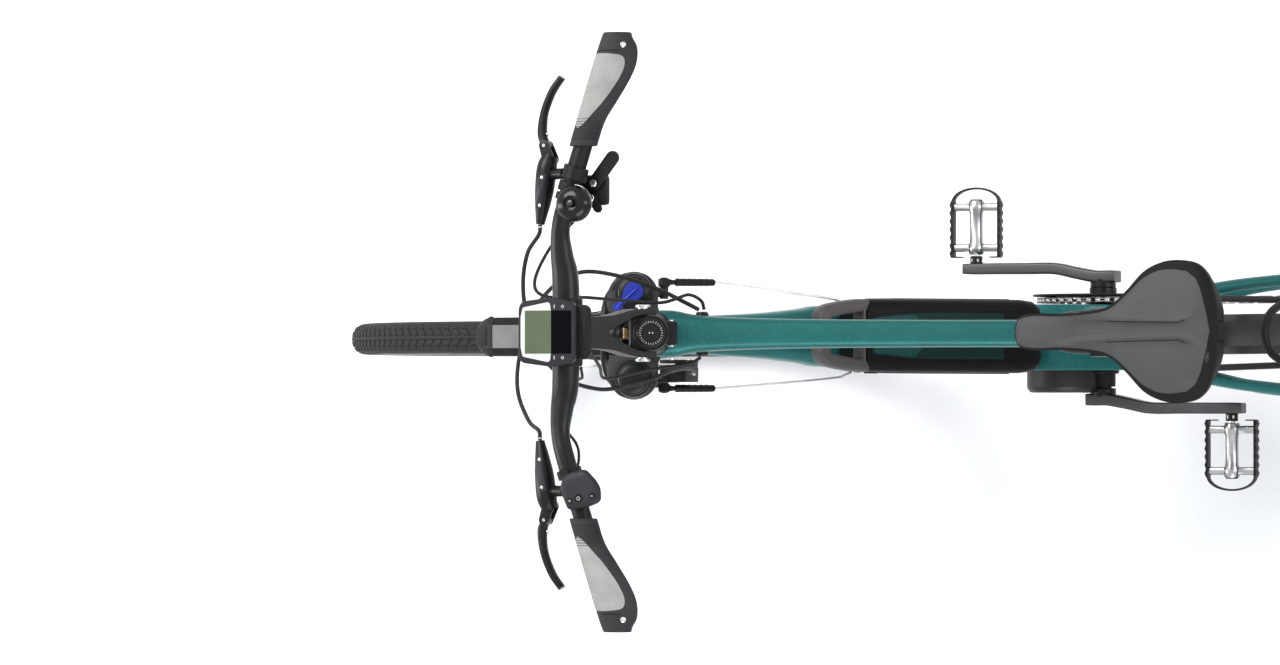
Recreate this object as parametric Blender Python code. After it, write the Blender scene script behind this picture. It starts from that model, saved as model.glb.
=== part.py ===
"""Electric trekking bike, modelled as an assembly of separate solids.

Metres, +X towards the front of the bike, +Y to the rider's left, +Z up.
The origin lies on the floor, midway between the ends of the bike.
"""

import math

import bmesh
import bpy
from mathutils import Matrix, Vector

for leftover in list(bpy.data.objects):
    bpy.data.objects.remove(leftover, do_unlink=True)

X = Vector((1.0, 0.0, 0.0))
Y = Vector((0.0, 1.0, 0.0))
Z = Vector((0.0, 0.0, 1.0))

# Fits
GAP = 0.0003
RUN = 0.0006

# Wheels
TYRE_R = 0.351
TYRE_H = 0.0385
TYRE_W = 0.0405
TREAD_FLAT = 0.024
RIM_R = TYRE_R - TYRE_H
RIM_DEPTH = 0.020
RIM_W = 0.025
WHEEL_SIDES = 32
SPOKES = 28
SPOKE_R = 0.0011
FRONT_ROTOR_R = 0.090
REAR_ROTOR_R = 0.080
ROTOR_T = 0.002

# Frame layout
BB_REACH = 0.470265
REAR_CENTRE = 0.470
BB_Z = TYRE_R - 0.0685
HEAD_ANGLE = math.radians(69.6)
SEAT_ANGLE = math.radians(73.0)
DOWN_ANGLE = math.radians(51.5)
FORK_OFFSET = 0.046
AXLE_TO_CROWN = TYRE_R + 0.1216
HEAD_TUBE = 0.165
HEAD_R = 0.026
HEADSET_H = 0.010
STEM_LOW = AXLE_TO_CROWN + 0.1999
DOWN_JOIN = AXLE_TO_CROWN + 0.0334
SEAT_TUBE = 0.541
SEAT_TUBE_R = 0.0175
TOP_W = 0.033
DOWN_W = 0.078
DOWN_H = 0.050
BRACKET_W = 0.083
DROPOUT_IN = 0.0675
DROPOUT_T = 0.007
STAY_Y = 0.0735

# Guards
GUARD_R = TYRE_R + 0.0115
GUARD_T = 0.003
GUARD_W = 0.0485

# A longer fork sets the front wheel further ahead.
FRONT_CENTRE = BB_REACH + AXLE_TO_CROWN * math.cos(HEAD_ANGLE)
WHEELBASE = FRONT_CENTRE + REAR_CENTRE
REAR_REACH = GUARD_R + GUARD_T
FRONT_X = (WHEELBASE + REAR_REACH - TYRE_R) / 2
REAR_X = FRONT_X - WHEELBASE
BB_X = FRONT_X - FRONT_CENTRE
FRONT_AXLE = Vector((FRONT_X, 0.0, TYRE_R))
REAR_AXLE = Vector((REAR_X, 0.0, TYRE_R))
BB = Vector((BB_X, 0.0, BB_Z))

# Fork
LEG_AHEAD = 0.0235
LEG_Y = 0.0535
STANCHION_R = 0.016
LOWER_R = 0.0215
SOCKET_R = 0.026
STEERER_R = 0.0143
CROWN_LOW = AXLE_TO_CROWN - 0.0406
LOWER_TOP = AXLE_TO_CROWN - 0.1106
FORK_IN = 0.050

# Drive
CRANK = 0.170
SPINDLE_R = 0.011
ARM_IN = 0.0835
ARM_OUT = 0.0960
ROOT_IN = 0.0640
ROOT_OUT = 0.0800
PITCH = 0.0127
RING_TEETH = 40
SPROCKET_TEETH = 20
CHAINLINE = 0.0478
CHAIN_W = 0.0066
CHAIN_H = 0.0082
TOOTH_T = 0.0021
GUARD_RING_R = 0.090
PEDAL_W = 0.088
PEDAL_L = 0.069

# Motor and battery
MOTOR_W = 0.078
MOTOR_COVER_R = 0.048
MOTOR_COVER_OUT = 0.070
MOTOR_COVER_AHEAD = 0.050
BATTERY_L = 0.328
BATTERY_W = 0.092
BATTERY_H = 0.070
BATTERY_AT = 0.178
RAIL_H = 0.010

# Cockpit
BAR_AHEAD = 0.059
BAR_UP = 0.100
BAR_R = 0.0159
BAR_END_R = 0.0111
BAR_STUB = 0.346
PIVOT_AT = STEM_LOW + 0.0325
PIVOT_AHEAD = 0.010
LEAD_R = 0.0020
BAND_SIDES = 10
GRIP_SIDES = 12

# Saddle
POST_R = 0.0136

SIN, COS = math.sin, math.cos

STEER_UP = Vector((-COS(HEAD_ANGLE), 0.0, SIN(HEAD_ANGLE)))
STEER_FWD = Vector((SIN(HEAD_ANGLE), 0.0, COS(HEAD_ANGLE)))
DOWN_DIR = Vector((-COS(DOWN_ANGLE), 0.0, -SIN(DOWN_ANGLE)))
DOWN_UP = Vector((-SIN(DOWN_ANGLE), 0.0, COS(DOWN_ANGLE)))
SEAT_DIR = Vector((-COS(SEAT_ANGLE), 0.0, SIN(SEAT_ANGLE)))
SEAT_FWD = Vector((SIN(SEAT_ANGLE), 0.0, COS(SEAT_ANGLE)))


def steer(along, ahead=0.0, side=0.0):
    """A point in the fork's own directions, along the steering axis from beside the axle."""
    return FRONT_AXLE - FORK_OFFSET * STEER_FWD + along * STEER_UP + ahead * STEER_FWD + side * Y


def down(along, above=0.0, side=0.0):
    """A point in the down tube's own directions, from where it meets the steering axis."""
    return steer(DOWN_JOIN) + along * DOWN_DIR + above * DOWN_UP + side * Y


def seat(along, ahead=0.0, side=0.0):
    """A point in the seat tube's own directions, from the bottom bracket."""
    return BB + along * SEAT_DIR + ahead * SEAT_FWD + side * Y


def round_wheel(axle, radius, degrees, side=0.0):
    """A point on a circle round an axle, from straight ahead, over the top, to the rear."""
    turn = math.radians(degrees)
    return axle + Vector((radius * COS(turn), side, radius * SIN(turn)))


# Where the foot of the head tube lies in the measures of spot; all such points move with it.
CROWN_BEHIND = 0.20785
CROWN_Z = 0.777925


def spot(behind, side, z):
    """A point so far behind the front axle, at its height over the floor."""
    return steer(AXLE_TO_CROWN) + Vector((CROWN_BEHIND - behind, side, z - CROWN_Z))


def level(z):
    """A height over the floor, in the measures of spot."""
    return spot(0.0, 0.0, z).z


# Materials


def finish(name, colour, roughness, metallic=0.0):
    material = bpy.data.materials.new(name)
    material.use_nodes = True
    shader = material.node_tree.nodes["Principled BSDF"]
    shader.inputs["Base Color"].default_value = (*colour, 1.0)
    shader.inputs["Roughness"].default_value = roughness
    shader.inputs["Metallic"].default_value = metallic
    material.diffuse_color = (*colour, 1.0)
    return material


PAINT = finish("teal_paint", (0.02, 0.17, 0.15), 0.3, 0.5)
TYRE = finish("tyre_rubber", (0.035, 0.035, 0.035), 0.85)
RUBBER = finish("soft_rubber", (0.04, 0.04, 0.042), 0.8)
BLACK = finish("black_plastic", (0.02, 0.02, 0.022), 0.5)
GREY = finish("grey_plastic", (0.07, 0.07, 0.08), 0.55)
ANODISED = finish("black_anodised", (0.03, 0.03, 0.032), 0.35, 0.8)
STEEL = finish("bright_steel", (0.5, 0.5, 0.5), 0.25, 1.0)
CHAIN_STEEL = finish("chain_steel", (0.25, 0.24, 0.23), 0.35, 1.0)
BLUE = finish("blue_plastic", (0.02, 0.06, 0.5), 0.4)
LENS = finish("red_lens", (0.4, 0.01, 0.01), 0.2)
COVER = finish("saddle_cover", (0.08, 0.08, 0.085), 0.7)


# Shape helpers


def make(name, points, faces, material, sharp=38.0):
    """A named object from points and faces, with its faces outwards."""
    mesh = bpy.data.meshes.new(name)
    work = bmesh.new()
    corners = [work.verts.new(point) for point in points]
    for face in faces:
        work.faces.new([corners[i] for i in face])
    bmesh.ops.recalc_face_normals(work, faces=work.faces)
    work.to_mesh(mesh)
    work.free()
    mesh.shade_smooth()
    mesh.set_sharp_from_angle(angle=math.radians(sharp))
    mesh.materials.append(material)
    thing = bpy.data.objects.new(name, mesh)
    bpy.context.scene.collection.objects.link(thing)
    return thing


def skin(name, rings, material, ring_closed=False):
    """A skin over rings of equal length; the ends are capped, or joined where ring_closed."""
    count = len(rings[0])
    points = [point for ring in rings for point in ring]
    faces = []
    last = len(rings) if ring_closed else len(rings) - 1
    for i in range(last):
        here = i * count
        there = ((i + 1) % len(rings)) * count
        for j in range(count):
            k = (j + 1) % count
            faces.append((here + j, here + k, there + k, there + j))
    if not ring_closed:
        faces.append(tuple(range(count)))
        faces.append(tuple(range((len(rings) - 1) * count, len(rings) * count)))
    return make(name, points, faces, material)


def turned(name, profile, centre, axis, material, sides=24, start=0.0):
    """A profile of (radius, height) turned round an axis. A radius of 0 is a pole."""
    axis = axis.normalized()
    across = axis.orthogonal().normalized()
    if abs(axis.dot(Y)) > 0.99:
        across = X
    third = axis.cross(across)
    points = []
    rows = []
    for radius, height in profile:
        if radius == 0.0:
            rows.append([len(points)])
            points.append(centre + axis * height)
            continue
        row = []
        for i in range(sides):
            turn = start + 2 * math.pi * i / sides
            row.append(len(points))
            points.append(centre + axis * height + radius * (COS(turn) * across + SIN(turn) * third))
        rows.append(row)
    faces = []
    last = len(rows) if min(radius for radius, _ in profile) > 0.0 else len(rows) - 1
    for i in range(last):
        a, b = rows[i], rows[(i + 1) % len(rows)]
        for j in range(sides):
            k = (j + 1) % sides
            corner = [a[j % len(a)], a[k % len(a)], b[k % len(b)], b[j % len(b)]]
            face = [v for n, v in enumerate(corner) if v not in corner[:n]]
            if len(face) > 2:
                faces.append(tuple(face))
    return make(name, points, faces, material)


def rod(name, start, end, radius, material, sides=10, end_radius=None):
    """A straight round bar."""
    axis = end - start
    far = radius if end_radius is None else end_radius
    profile = [(0.0, 0.0), (radius, 0.0), (far, axis.length), (0.0, axis.length)]
    return turned(name, profile, start, axis, material, sides)


def ring_of(name, start, end, outer, inner, material, sides=24):
    """A straight bush."""
    axis = end - start
    profile = [(inner, 0.0), (outer, 0.0), (outer, axis.length), (inner, axis.length)]
    return turned(name, profile, start, axis, material, sides)


def smooth(points, steps):
    """Points along a smooth curve through the given points."""
    ends = [2 * points[0] - points[1]] + list(points) + [2 * points[-1] - points[-2]]
    out = []
    for i in range(1, len(ends) - 2):
        a, b, c, d = ends[i - 1 : i + 3]
        for step in range(steps):
            t = step / steps
            out.append(
                0.5
                * (
                    2 * b
                    + (c - a) * t
                    + (2 * a - 5 * b + 4 * c - d) * t * t
                    + (3 * b - a - 3 * c + d) * t * t * t
                )
            )
    out.append(points[-1].copy())
    return out


def sweep(name, path, sections, side, material, closed=False):
    """Sections of (across, over) points carried along a path; side is the across direction."""
    rings = []
    for i, here in enumerate(path):
        before = path[i - 1] if closed else path[max(i - 1, 0)]
        after = path[(i + 1) % len(path)] if closed else path[min(i + 1, len(path) - 1)]
        along = (after - before).normalized()
        across = (side - along * side.dot(along)).normalized()
        over = along.cross(across)
        section = sections[i] if isinstance(sections[0], list) else sections
        rings.append([here + a * across + b * over for a, b in section])
    return skin(name, rings, material, closed)


def lobe(big, tip, small, sides=8):
    """A drop-shaped outline: a round of radius big, drawn out to a round of radius small at tip."""
    lean = math.atan2(tip[1], tip[0])
    out = []
    for i in range(sides + 1):
        angle = lean + math.pi / 2 + math.pi * i / sides
        out.append((big * COS(angle), big * SIN(angle)))
    for i in range(5):
        angle = lean - math.pi / 2 + math.pi * i / 4
        out.append((tip[0] + small * COS(angle), tip[1] + small * SIN(angle)))
    return out


def oval(half_wide, half_high, sides=8, square=1.0, turn=0.5):
    """An oval section; a square value under 1 fills its corners."""
    out = []
    for i in range(sides):
        angle = 2 * math.pi * (i + turn) / sides
        a, b = COS(angle), SIN(angle)
        out.append(
            (
                half_wide * math.copysign(abs(a) ** square, a),
                half_high * math.copysign(abs(b) ** square, b),
            )
        )
    return out


def tube(name, path, radius, material, sides=8, side=Y):
    """A round tube along a path, of one radius or a radius for each point."""
    if isinstance(radius, (int, float)):
        sections = oval(radius, radius, sides)
    else:
        sections = [oval(r, r, sides) for r in radius]
    return sweep(name, path, sections, side, material)


def plate(name, outline, start, across, up, depth, material, bevel=0.0):
    """A flat outline of (across, up) points, given a depth along across x up."""
    through = across.cross(up).normalized() * depth
    near = [start + a * across + b * up for a, b in outline]
    far = [point + through for point in near]
    count = len(outline)
    faces = [tuple(range(count)), tuple(range(count, 2 * count))]
    faces += [(j, (j + 1) % count, count + (j + 1) % count, count + j) for j in range(count)]
    thing = make(name, near + far, faces, material)
    if bevel:
        add_bevel(thing, bevel)
    return thing


def flat_plate(name, outline, start, height, material, bevel=0.0):
    """A level outline of (ahead, left) points, given a height."""
    return plate(name, outline, start, X, Y, height, material, bevel)


def block(name, centre, size, material, bevel=0.0, along=X, up=Z):
    """A box of (along, side, up) size, centred, with its edges broken where bevel is given."""
    side = up.cross(along)
    a, s, u = (value / 2 for value in size)
    outline = [(-a, -u), (a, -u), (a, u), (-a, u)]
    return plate(name, outline, centre + side * s, along, up, 2 * s, material, bevel)


def add_bevel(thing, width, segments=1):
    work = bmesh.new()
    work.from_mesh(thing.data)
    edges = [edge for edge in work.edges if edge.calc_face_angle(0.0) > math.radians(50)]
    bmesh.ops.bevel(work, geom=edges, offset=width, segments=segments, affect="EDGES", clamp_overlap=True)
    work.to_mesh(thing.data)
    work.free()


def settle(thing):
    """Replaces the mesh by its evaluated form and drops the modifiers."""
    graph = bpy.context.evaluated_depsgraph_get()
    mesh = bpy.data.meshes.new_from_object(thing.evaluated_get(graph))
    thing.modifiers.clear()
    thing.data = mesh
    mesh.shade_smooth()
    mesh.set_sharp_from_angle(angle=math.radians(38))


def boolean(thing, others, operation, solver="EXACT"):
    for other in others:
        modifier = thing.modifiers.new(operation.lower(), "BOOLEAN")
        modifier.operation = operation
        modifier.solver = solver
        modifier.object = other
    settle(thing)
    for other in others:
        bpy.data.objects.remove(other, do_unlink=True)
    return thing


def fuse(name, pieces, solver="EXACT"):
    """One solid from overlapping pieces, with the first piece's material."""
    thing = boolean(pieces[0], pieces[1:], "UNION", solver)
    thing.name = name
    return thing


def cut(thing, *cutters, solver="EXACT"):
    return boolean(thing, list(cutters), "DIFFERENCE", solver)


def slab(name, low, high, material, bevel=0.0):
    """A box between two corners."""
    centre = (low + high) / 2
    size = high - low
    return block(name, centre, (size.x, size.y, size.z), material, bevel)


def circle(radius, sides, start=0.0):
    return [
        (radius * COS(start + 2 * math.pi * i / sides), radius * SIN(start + 2 * math.pi * i / sides))
        for i in range(sides)
    ]


# Wheels


def tyre(name, axle):
    """A tyre with a flattened tread, as it stands under load."""
    half = TYRE_W / 2
    seat_r = RIM_R + GAP
    profile = [
        (seat_r, -RIM_W / 2 + 0.003),
        (seat_r + 0.014, -half),
        (TYRE_R - 0.008, -half + 0.002),
        (TYRE_R, -TREAD_FLAT / 2),
        (TYRE_R, TREAD_FLAT / 2),
        (TYRE_R - 0.008, half - 0.002),
        (seat_r + 0.014, half),
        (seat_r, RIM_W / 2 - 0.003),
    ]
    # A facet, not a corner, lies on the floor; the seat on the rim has the rim's own corners.
    grow = 1.0 / COS(math.pi / WHEEL_SIDES)
    grown = [(radius * grow if radius > seat_r else radius, side) for radius, side in profile]
    return turned(name, grown, axle, Y, TYRE, WHEEL_SIDES, math.pi / WHEEL_SIDES)


def spoked_wheel(name, axle, shell, flanges, bore):
    """Rim, laced spokes and hub as one built wheel. Flanges are (side, radius) pairs."""
    rim_profile = [
        (RIM_R, -RIM_W / 2),
        (RIM_R, RIM_W / 2),
        (RIM_R - RIM_DEPTH * 0.55, RIM_W / 2 - 0.001),
        (RIM_R - RIM_DEPTH, 0.005),
        (RIM_R - RIM_DEPTH, -0.005),
        (RIM_R - RIM_DEPTH * 0.55, -RIM_W / 2 + 0.001),
    ]
    rim = turned(name, rim_profile, axle, Y, ANODISED, WHEEL_SIDES, math.pi / WHEEL_SIDES)
    hub = turned("shell", shell, axle, Y, ANODISED, 10)
    pieces = [rim, hub]
    for i in range(SPOKES):
        flange_side, flange_r = flanges[i % 2]
        turn = 2 * math.pi * (i + 0.5) / SPOKES
        lead = math.radians(62) * (1 if (i // 2) % 2 else -1)
        lift = 0.0016 if (i // 2) % 2 else -0.0016
        inner = axle + flange_r * Vector((COS(turn + lead), 0, SIN(turn + lead))) + (flange_side + lift) * Y
        outer_r = RIM_R - RIM_DEPTH * 0.7
        outer = axle + outer_r * Vector((COS(turn), 0, SIN(turn)))
        pieces.append(rod("spoke", inner, outer, SPOKE_R, STEEL, 3))
    wheel = fuse(name, pieces)
    return cut(wheel, rod("bore", axle - 0.1 * Y, axle + 0.1 * Y, bore, ANODISED, AXLE_SIDES))


def hub_shell(right, right_flange, left_flange, left):
    """The turned outline of a hub from its right end to its left, with two spoke flanges."""
    half = FLANGE_T / 2
    return [
        (0.0, right),
        (HUB_SEAT_R, right),
        (HUB_SEAT_R, right_flange - half),
        (FLANGE_R, right_flange - half),
        (FLANGE_R, right_flange + half),
        (BARREL_R, right_flange + 3 * half),
        (BARREL_R, left_flange - 3 * half),
        (FLANGE_R, left_flange - half),
        (FLANGE_R, left_flange + half),
        (HUB_SEAT_R, left_flange + half),
        (HUB_SEAT_R, left),
        (0.0, left),
    ]


def rotor(name, axle, side, radius, hub_r):
    """A slotted brake disc with a spider of swept arms."""
    band = 0.014
    disc = plate(
        name,
        circle(radius, 26),
        axle + (side + ROTOR_T / 2) * Y,
        X,
        Z,
        ROTOR_T,
        STEEL,
    )
    windows = []
    arms = 6
    for i in range(arms):
        start = 2 * math.pi * i / arms
        outline = []
        for step in range(3):
            turn = start + 0.45 + 0.72 * step / 2
            outline.append(((radius - band) * COS(turn), (radius - band) * SIN(turn)))
        for step in range(3):
            turn = start + 0.72 - 0.5 * step / 2
            outline.append(((hub_r + 0.010) * COS(turn), (hub_r + 0.010) * SIN(turn)))
        windows.append(
            plate("window", outline, axle + (side + 0.01) * Y, X, Z, 0.02, STEEL)
        )
    bore = rod("bore", axle + (side - 0.01) * Y, axle + (side + 0.01) * Y, hub_r, STEEL, 10)
    return cut(disc, bore, *windows)


FRONT_HALF = FORK_IN - 0.002
REAR_HALF = DROPOUT_IN - 0.002
FRONT_ROTOR_Y = FORK_IN - 0.0155
REAR_ROTOR_Y = DROPOUT_IN - 0.0150
AXLE_R = 0.0060
AXLE_SIDES = 10
HUB_BORE = (AXLE_R + GAP) / COS(math.pi / AXLE_SIDES)
FLANGE_R = 0.027
FLANGE_T = 0.003
BARREL_R = 0.013
HUB_SEAT_R = BARREL_R + 0.004

CASSETTE_IN = -0.0300

tyre("front_tyre", FRONT_AXLE)
spoked_wheel(
    "front_wheel",
    FRONT_AXLE,
    hub_shell(-FRONT_HALF, -FRONT_HALF + 0.0125, FRONT_ROTOR_Y - 0.0085, FRONT_HALF),
    [(-FRONT_HALF + 0.0125, FLANGE_R - 0.003), (FRONT_ROTOR_Y - 0.0085, FLANGE_R - 0.003)],
    HUB_BORE,
)
tyre("rear_tyre", REAR_AXLE)
spoked_wheel(
    "rear_wheel",
    REAR_AXLE,
    hub_shell(CASSETTE_IN + GAP, CASSETTE_IN + 0.0075, REAR_ROTOR_Y - 0.0085, REAR_HALF),
    [(CASSETTE_IN + 0.0075, FLANGE_R - 0.003), (REAR_ROTOR_Y - 0.0085, FLANGE_R - 0.003)],
    HUB_BORE,
)
rotor("front_rotor", FRONT_AXLE, FRONT_ROTOR_Y, FRONT_ROTOR_R, HUB_SEAT_R + GAP)
rotor("rear_rotor", REAR_AXLE, REAR_ROTOR_Y, REAR_ROTOR_R, HUB_SEAT_R + GAP)

# Frame

HEAD_LOW = AXLE_TO_CROWN + HEADSET_H
HEAD_HIGH = HEAD_LOW + HEAD_TUBE
DOWN_L = 0.535
TOP_START = steer(HEAD_HIGH - 0.018)
TOP_END = seat(SEAT_TUBE - 0.030)


def head_tube():
    profile = [
        (0.0, HEAD_LOW),
        (HEAD_R + 0.001, HEAD_LOW),
        (HEAD_R - 0.002, HEAD_LOW + 0.020),
        (HEAD_R - 0.002, HEAD_HIGH - 0.020),
        (HEAD_R + 0.0015, HEAD_HIGH - 0.002),
        (HEAD_R + 0.0015, HEAD_HIGH),
        (0.0, HEAD_HIGH),
    ]
    return turned("head", profile, steer(0.0), STEER_UP, PAINT, 16)


def top_tube():
    half_wide = [0.029, 0.0215, 0.0180, TOP_W / 2, TOP_W / 2]
    half_high = [0.024, 0.021, 0.019, 0.0175, 0.017]
    share = [0.0, 0.12, 0.30, 0.60, 1.0]
    path = [TOP_START.lerp(TOP_END, t) for t in share]
    sections = [oval(w, h, 10, 0.55) for w, h in zip(half_wide, half_high)]
    return sweep("top", path, sections, Y, PAINT)


def down_tube():
    half_wide = [0.023, 0.0265, DOWN_W / 2, DOWN_W / 2, DOWN_W / 2 - 0.002]
    half_high = [0.017, 0.017, DOWN_H / 2, DOWN_H / 2, DOWN_H / 2]
    path = [steer(DOWN_JOIN + 0.032), down(0.070, 0.004)]
    path += [down(reach) for reach in (BATTERY_AT - 0.01, DOWN_L - 0.05, DOWN_L)]
    sections = [oval(w, h, 10, 0.5) for w, h in zip(half_wide, half_high)]
    return sweep("down", path, sections, Y, PAINT)


# The motor's side view, from the bottom bracket, as (ahead, up).
MOTOR_OUTLINE = [
    (-0.0505, -0.018),
    (-0.0520, 0.002),
    (-0.0436, 0.0326),
    (-0.0177, 0.0570),
    (0.0281, 0.0720),
    (0.0816, 0.0700),
    (0.1162, 0.0452),
    (0.120, 0.004),
    (0.106, -0.036),
    (0.070, -0.054),
    (0.020, -0.054),
    (-0.026, -0.044),
]
BRACKET_OUTLINE = [
    (-0.062, -0.020),
    (-0.068, 0.020),
    (-0.054, 0.068),
    (-0.022, 0.100),
    (0.028, 0.128),
    (0.085, 0.128),
    (0.128, 0.082),
    (0.130, 0.044),
    (0.1165, 0.046),
    (0.082, 0.0705),
    (0.028, 0.0725),
    (-0.018, 0.0575),
    (-0.044, 0.033),
    (-0.0525, 0.002),
    (-0.051, -0.018),
]


def motor_bracket():
    shell = plate(
        "bracket", BRACKET_OUTLINE, BB + BRACKET_W / 2 * Y, X, Z, BRACKET_W, PAINT, 0.004
    )
    return shell


def chain_stay(hand):
    points = [
        BB + Vector((-0.058, 0.026 * hand, 0.020)),
        BB + Vector((-0.095, 0.0320 * hand, 0.021)),
        BB + Vector((-0.160, 0.0520 * hand, 0.027)),
        BB + Vector((-0.240, 0.0665 * hand, 0.036)),
        REAR_AXLE + Vector((0.110, STAY_Y * hand, -0.016)),
        REAR_AXLE + Vector((0.022, STAY_Y * hand, -0.004)),
    ]
    sections = [oval(0.0075, h, 8, 0.75) for h in (0.0135, 0.0135, 0.013, 0.012, 0.011, 0.009)]
    return sweep("chain_stay", points, sections, Y, PAINT)


SEAT_STAY_TOP = 0.515
SEAT_STAY_R = 0.0075


def seat_stay_at(share, hand):
    top = seat(SEAT_STAY_TOP)
    low = REAR_AXLE + Vector((0.020, 0.0, 0.040))
    shares = [0.0, 0.15, 0.31, 0.52, 0.75, 1.0]
    sides = [0.012, 0.031, 0.053, 0.0655, 0.0715, STAY_Y]
    for i in range(len(shares) - 1):
        if share <= shares[i + 1]:
            part = (share - shares[i]) / (shares[i + 1] - shares[i])
            side = sides[i] + part * (sides[i + 1] - sides[i])
            break
    return top.lerp(low, share) + side * hand * Y


def bridge_share():
    """The lowest place on the seat stays where a bridge clears the rear guard."""
    for i in range(100, 0, -1):
        if (seat_stay_at(i / 100, 0.0) - REAR_AXLE).length > GUARD_R + BRIDGE_OVER:
            return i / 100


def seat_stay(hand):
    path = [seat_stay_at(t, hand) for t in (0.0, 0.15, 0.31, 0.52, 0.75, 1.0)]
    return tube("seat_stay", path, SEAT_STAY_R, PAINT, 8)


HANGER = Vector((-0.010, 0.0, -0.032))
RAIL_FROM = 0.165
PORT = (0.3180, 0.9000)
PORT_OUT = 0.0262
RAIL_L = 0.355
BRIDGE_OVER = 0.017


def dropout(hand):
    outline = [
        (-0.016, -0.014),
        (0.000, -0.020),
        (0.040, -0.018),
        (0.062, -0.006),
        (0.050, 0.022),
        (0.034, 0.050),
        (0.006, 0.054),
        (-0.009, 0.046),
        (-0.012, 0.026),
    ]
    if hand < 0:
        outline = [(-0.020, -0.040), (0.000, -0.044), (0.004, -0.022)] + outline[2:]
    start = REAR_AXLE + (DROPOUT_IN + DROPOUT_T) * Y if hand > 0 else REAR_AXLE - DROPOUT_IN * Y
    return plate("dropout", outline, start, X, Z, DROPOUT_T, PAINT)


KICK_AT = REAR_AXLE + Vector((0.100, STAY_Y + 0.002, -0.040))
KICK_FOOT = Vector((KICK_AT.x - 0.020, 0.205, 0.0))
KICK_FOLDED = Vector((-1.0, 0.12, -0.04))
KICK_AXIS = (KICK_FOOT - KICK_AT).cross(KICK_FOLDED).normalized()
KICK_HUB_R = 0.0095
KICK_HUB_HALF = 0.0085


def axle_pieces(axle, half, material):
    """A through axle with its two heads on the dropouts."""
    return [
        rod("axle", axle - (half + 0.004) * Y, axle + (half + 0.004) * Y, AXLE_R, material, AXLE_SIDES),
        rod("head", axle + (half - 0.001) * Y, axle + (half + 0.006) * Y, 0.0105, material, 10),
        rod("nut", axle - (half - 0.001) * Y, axle - (half + 0.007) * Y, 0.0095, material, 6),
    ]


def kick_hub(name, half, radius, material):
    return rod(name, KICK_AT - half * KICK_AXIS, KICK_AT + half * KICK_AXIS, radius, material, 12)


def main_frame():
    scallop = rod("scallop", steer(HEAD_HIGH - 0.0005), steer(HEAD_HIGH + 0.06), HEAD_R + 0.006, PAINT, 16)
    pieces = [head_tube(), cut(top_tube(), scallop), down_tube(), motor_bracket()]
    pieces.append(rod("seat_tube", seat(0.085), seat(SEAT_TUBE), SEAT_TUBE_R, PAINT, 14))
    for hand in (1, -1):
        pieces += [chain_stay(hand), seat_stay(hand), dropout(hand)]
    left, right = seat_stay_at(bridge_share(), 1), seat_stay_at(bridge_share(), -1)
    pieces.append(rod("bridge", left, right, 0.006, PAINT, 8))
    low_bridge = BB + Vector((-0.088, 0.0, 0.021))
    pieces.append(rod("low_bridge", low_bridge - 0.03 * Y, low_bridge + 0.03 * Y, 0.006, PAINT, 8))
    pieces.append(
        block("kick_plate", KICK_AT + Vector((0.0, 0.0, 0.01675)), (0.036, 0.013, 0.0185), PAINT)
    )
    rail = down(RAIL_FROM + RAIL_L / 2, DOWN_H / 2 - 0.003 + (RAIL_H + 0.003 - GAP) / 2)
    for hand in (1, -1):
        port = spot(PORT[0], 0.0, PORT[1])
        start, end = port + 0.015 * hand * Y, port + PORT_OUT * hand * Y
        pieces.append(rod("port", start, end, 0.0085, PAINT, 10, 0.007))
    pieces.append(block("rail", rail, (RAIL_L, 0.050, RAIL_H + 0.003 - GAP), PAINT, 0.0, DOWN_DIR, DOWN_UP))
    pieces.append(
        rod("cup", steer(HEAD_HIGH - 0.003), steer(STEM_LOW - GAP), HEAD_R, PAINT, 16, HEAD_R - 0.0035)
    )
    pieces.append(rod("clamp", seat(0.5290), seat(SEAT_TUBE + 0.002), 0.0215, PAINT, 14))
    pieces.append(
        block("ears", seat(0.5365, -0.0245), (0.012, 0.018, 0.011), PAINT, 0.0, SEAT_FWD, SEAT_DIR)
    )
    pieces += axle_pieces(REAR_AXLE, DROPOUT_IN + DROPOUT_T, PAINT)
    frame = fuse("main_frame", pieces, "MANIFOLD")
    cutters = [
        rod("steerer_bore", steer(HEAD_LOW - 0.05), steer(HEAD_HIGH + 0.05), STEERER_R + 0.003, PAINT, 12),
        rod("post_bore", seat(0.20), seat(SEAT_TUBE + 0.05), POST_R + GAP / COS(math.pi / 14), PAINT, 14),
        kick_hub("hub_seat", 0.012, (KICK_HUB_R + GAP) / COS(math.pi / 12), PAINT),
    ]
    return cut(frame, *cutters, solver="MANIFOLD")


main_frame()

# Brakes


def caliper(name, axle, degrees, radius, sides, disc, size):
    """A caliper over a disc of (side, radius); sides are (inner, outer), size (along, across)."""
    turn = math.radians(degrees)
    away = Vector((COS(turn), 0.0, SIN(turn)))
    round_way = Vector((-SIN(turn), 0.0, COS(turn)))
    along, across = size
    inner, outer = sides
    rotor_y, rotor_r = disc
    centre = axle + radius * away
    outline = [
        (-along / 2, -across * 0.30),
        (-along * 0.30, -across / 2),
        (along * 0.30, -across / 2),
        (along / 2, -across * 0.30),
        (along / 2, across * 0.25),
        (along * 0.32, across / 2),
        (-along * 0.32, across / 2),
        (-along / 2, across * 0.25),
    ]
    body = plate(name, outline, centre + outer * Y, round_way, away, inner - outer, ANODISED, 0.002)
    slot = block(
        "slot",
        axle + (rotor_r + 0.0015 - across / 2) * away + rotor_y * Y,
        (along + 0.02, across, ROTOR_T + 0.003),
        ANODISED,
        0.0,
        round_way,
        Y,
    )
    slot_over = cut(body, slot)
    hose_end = centre + (outer * 0.55 + inner * 0.45) * Y + (across / 2) * away
    banjo = rod("banjo", hose_end - 0.004 * away, hose_end + 0.004 * away, 0.005, ANODISED, 8)
    return fuse(name, [slot_over, banjo])


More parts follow.
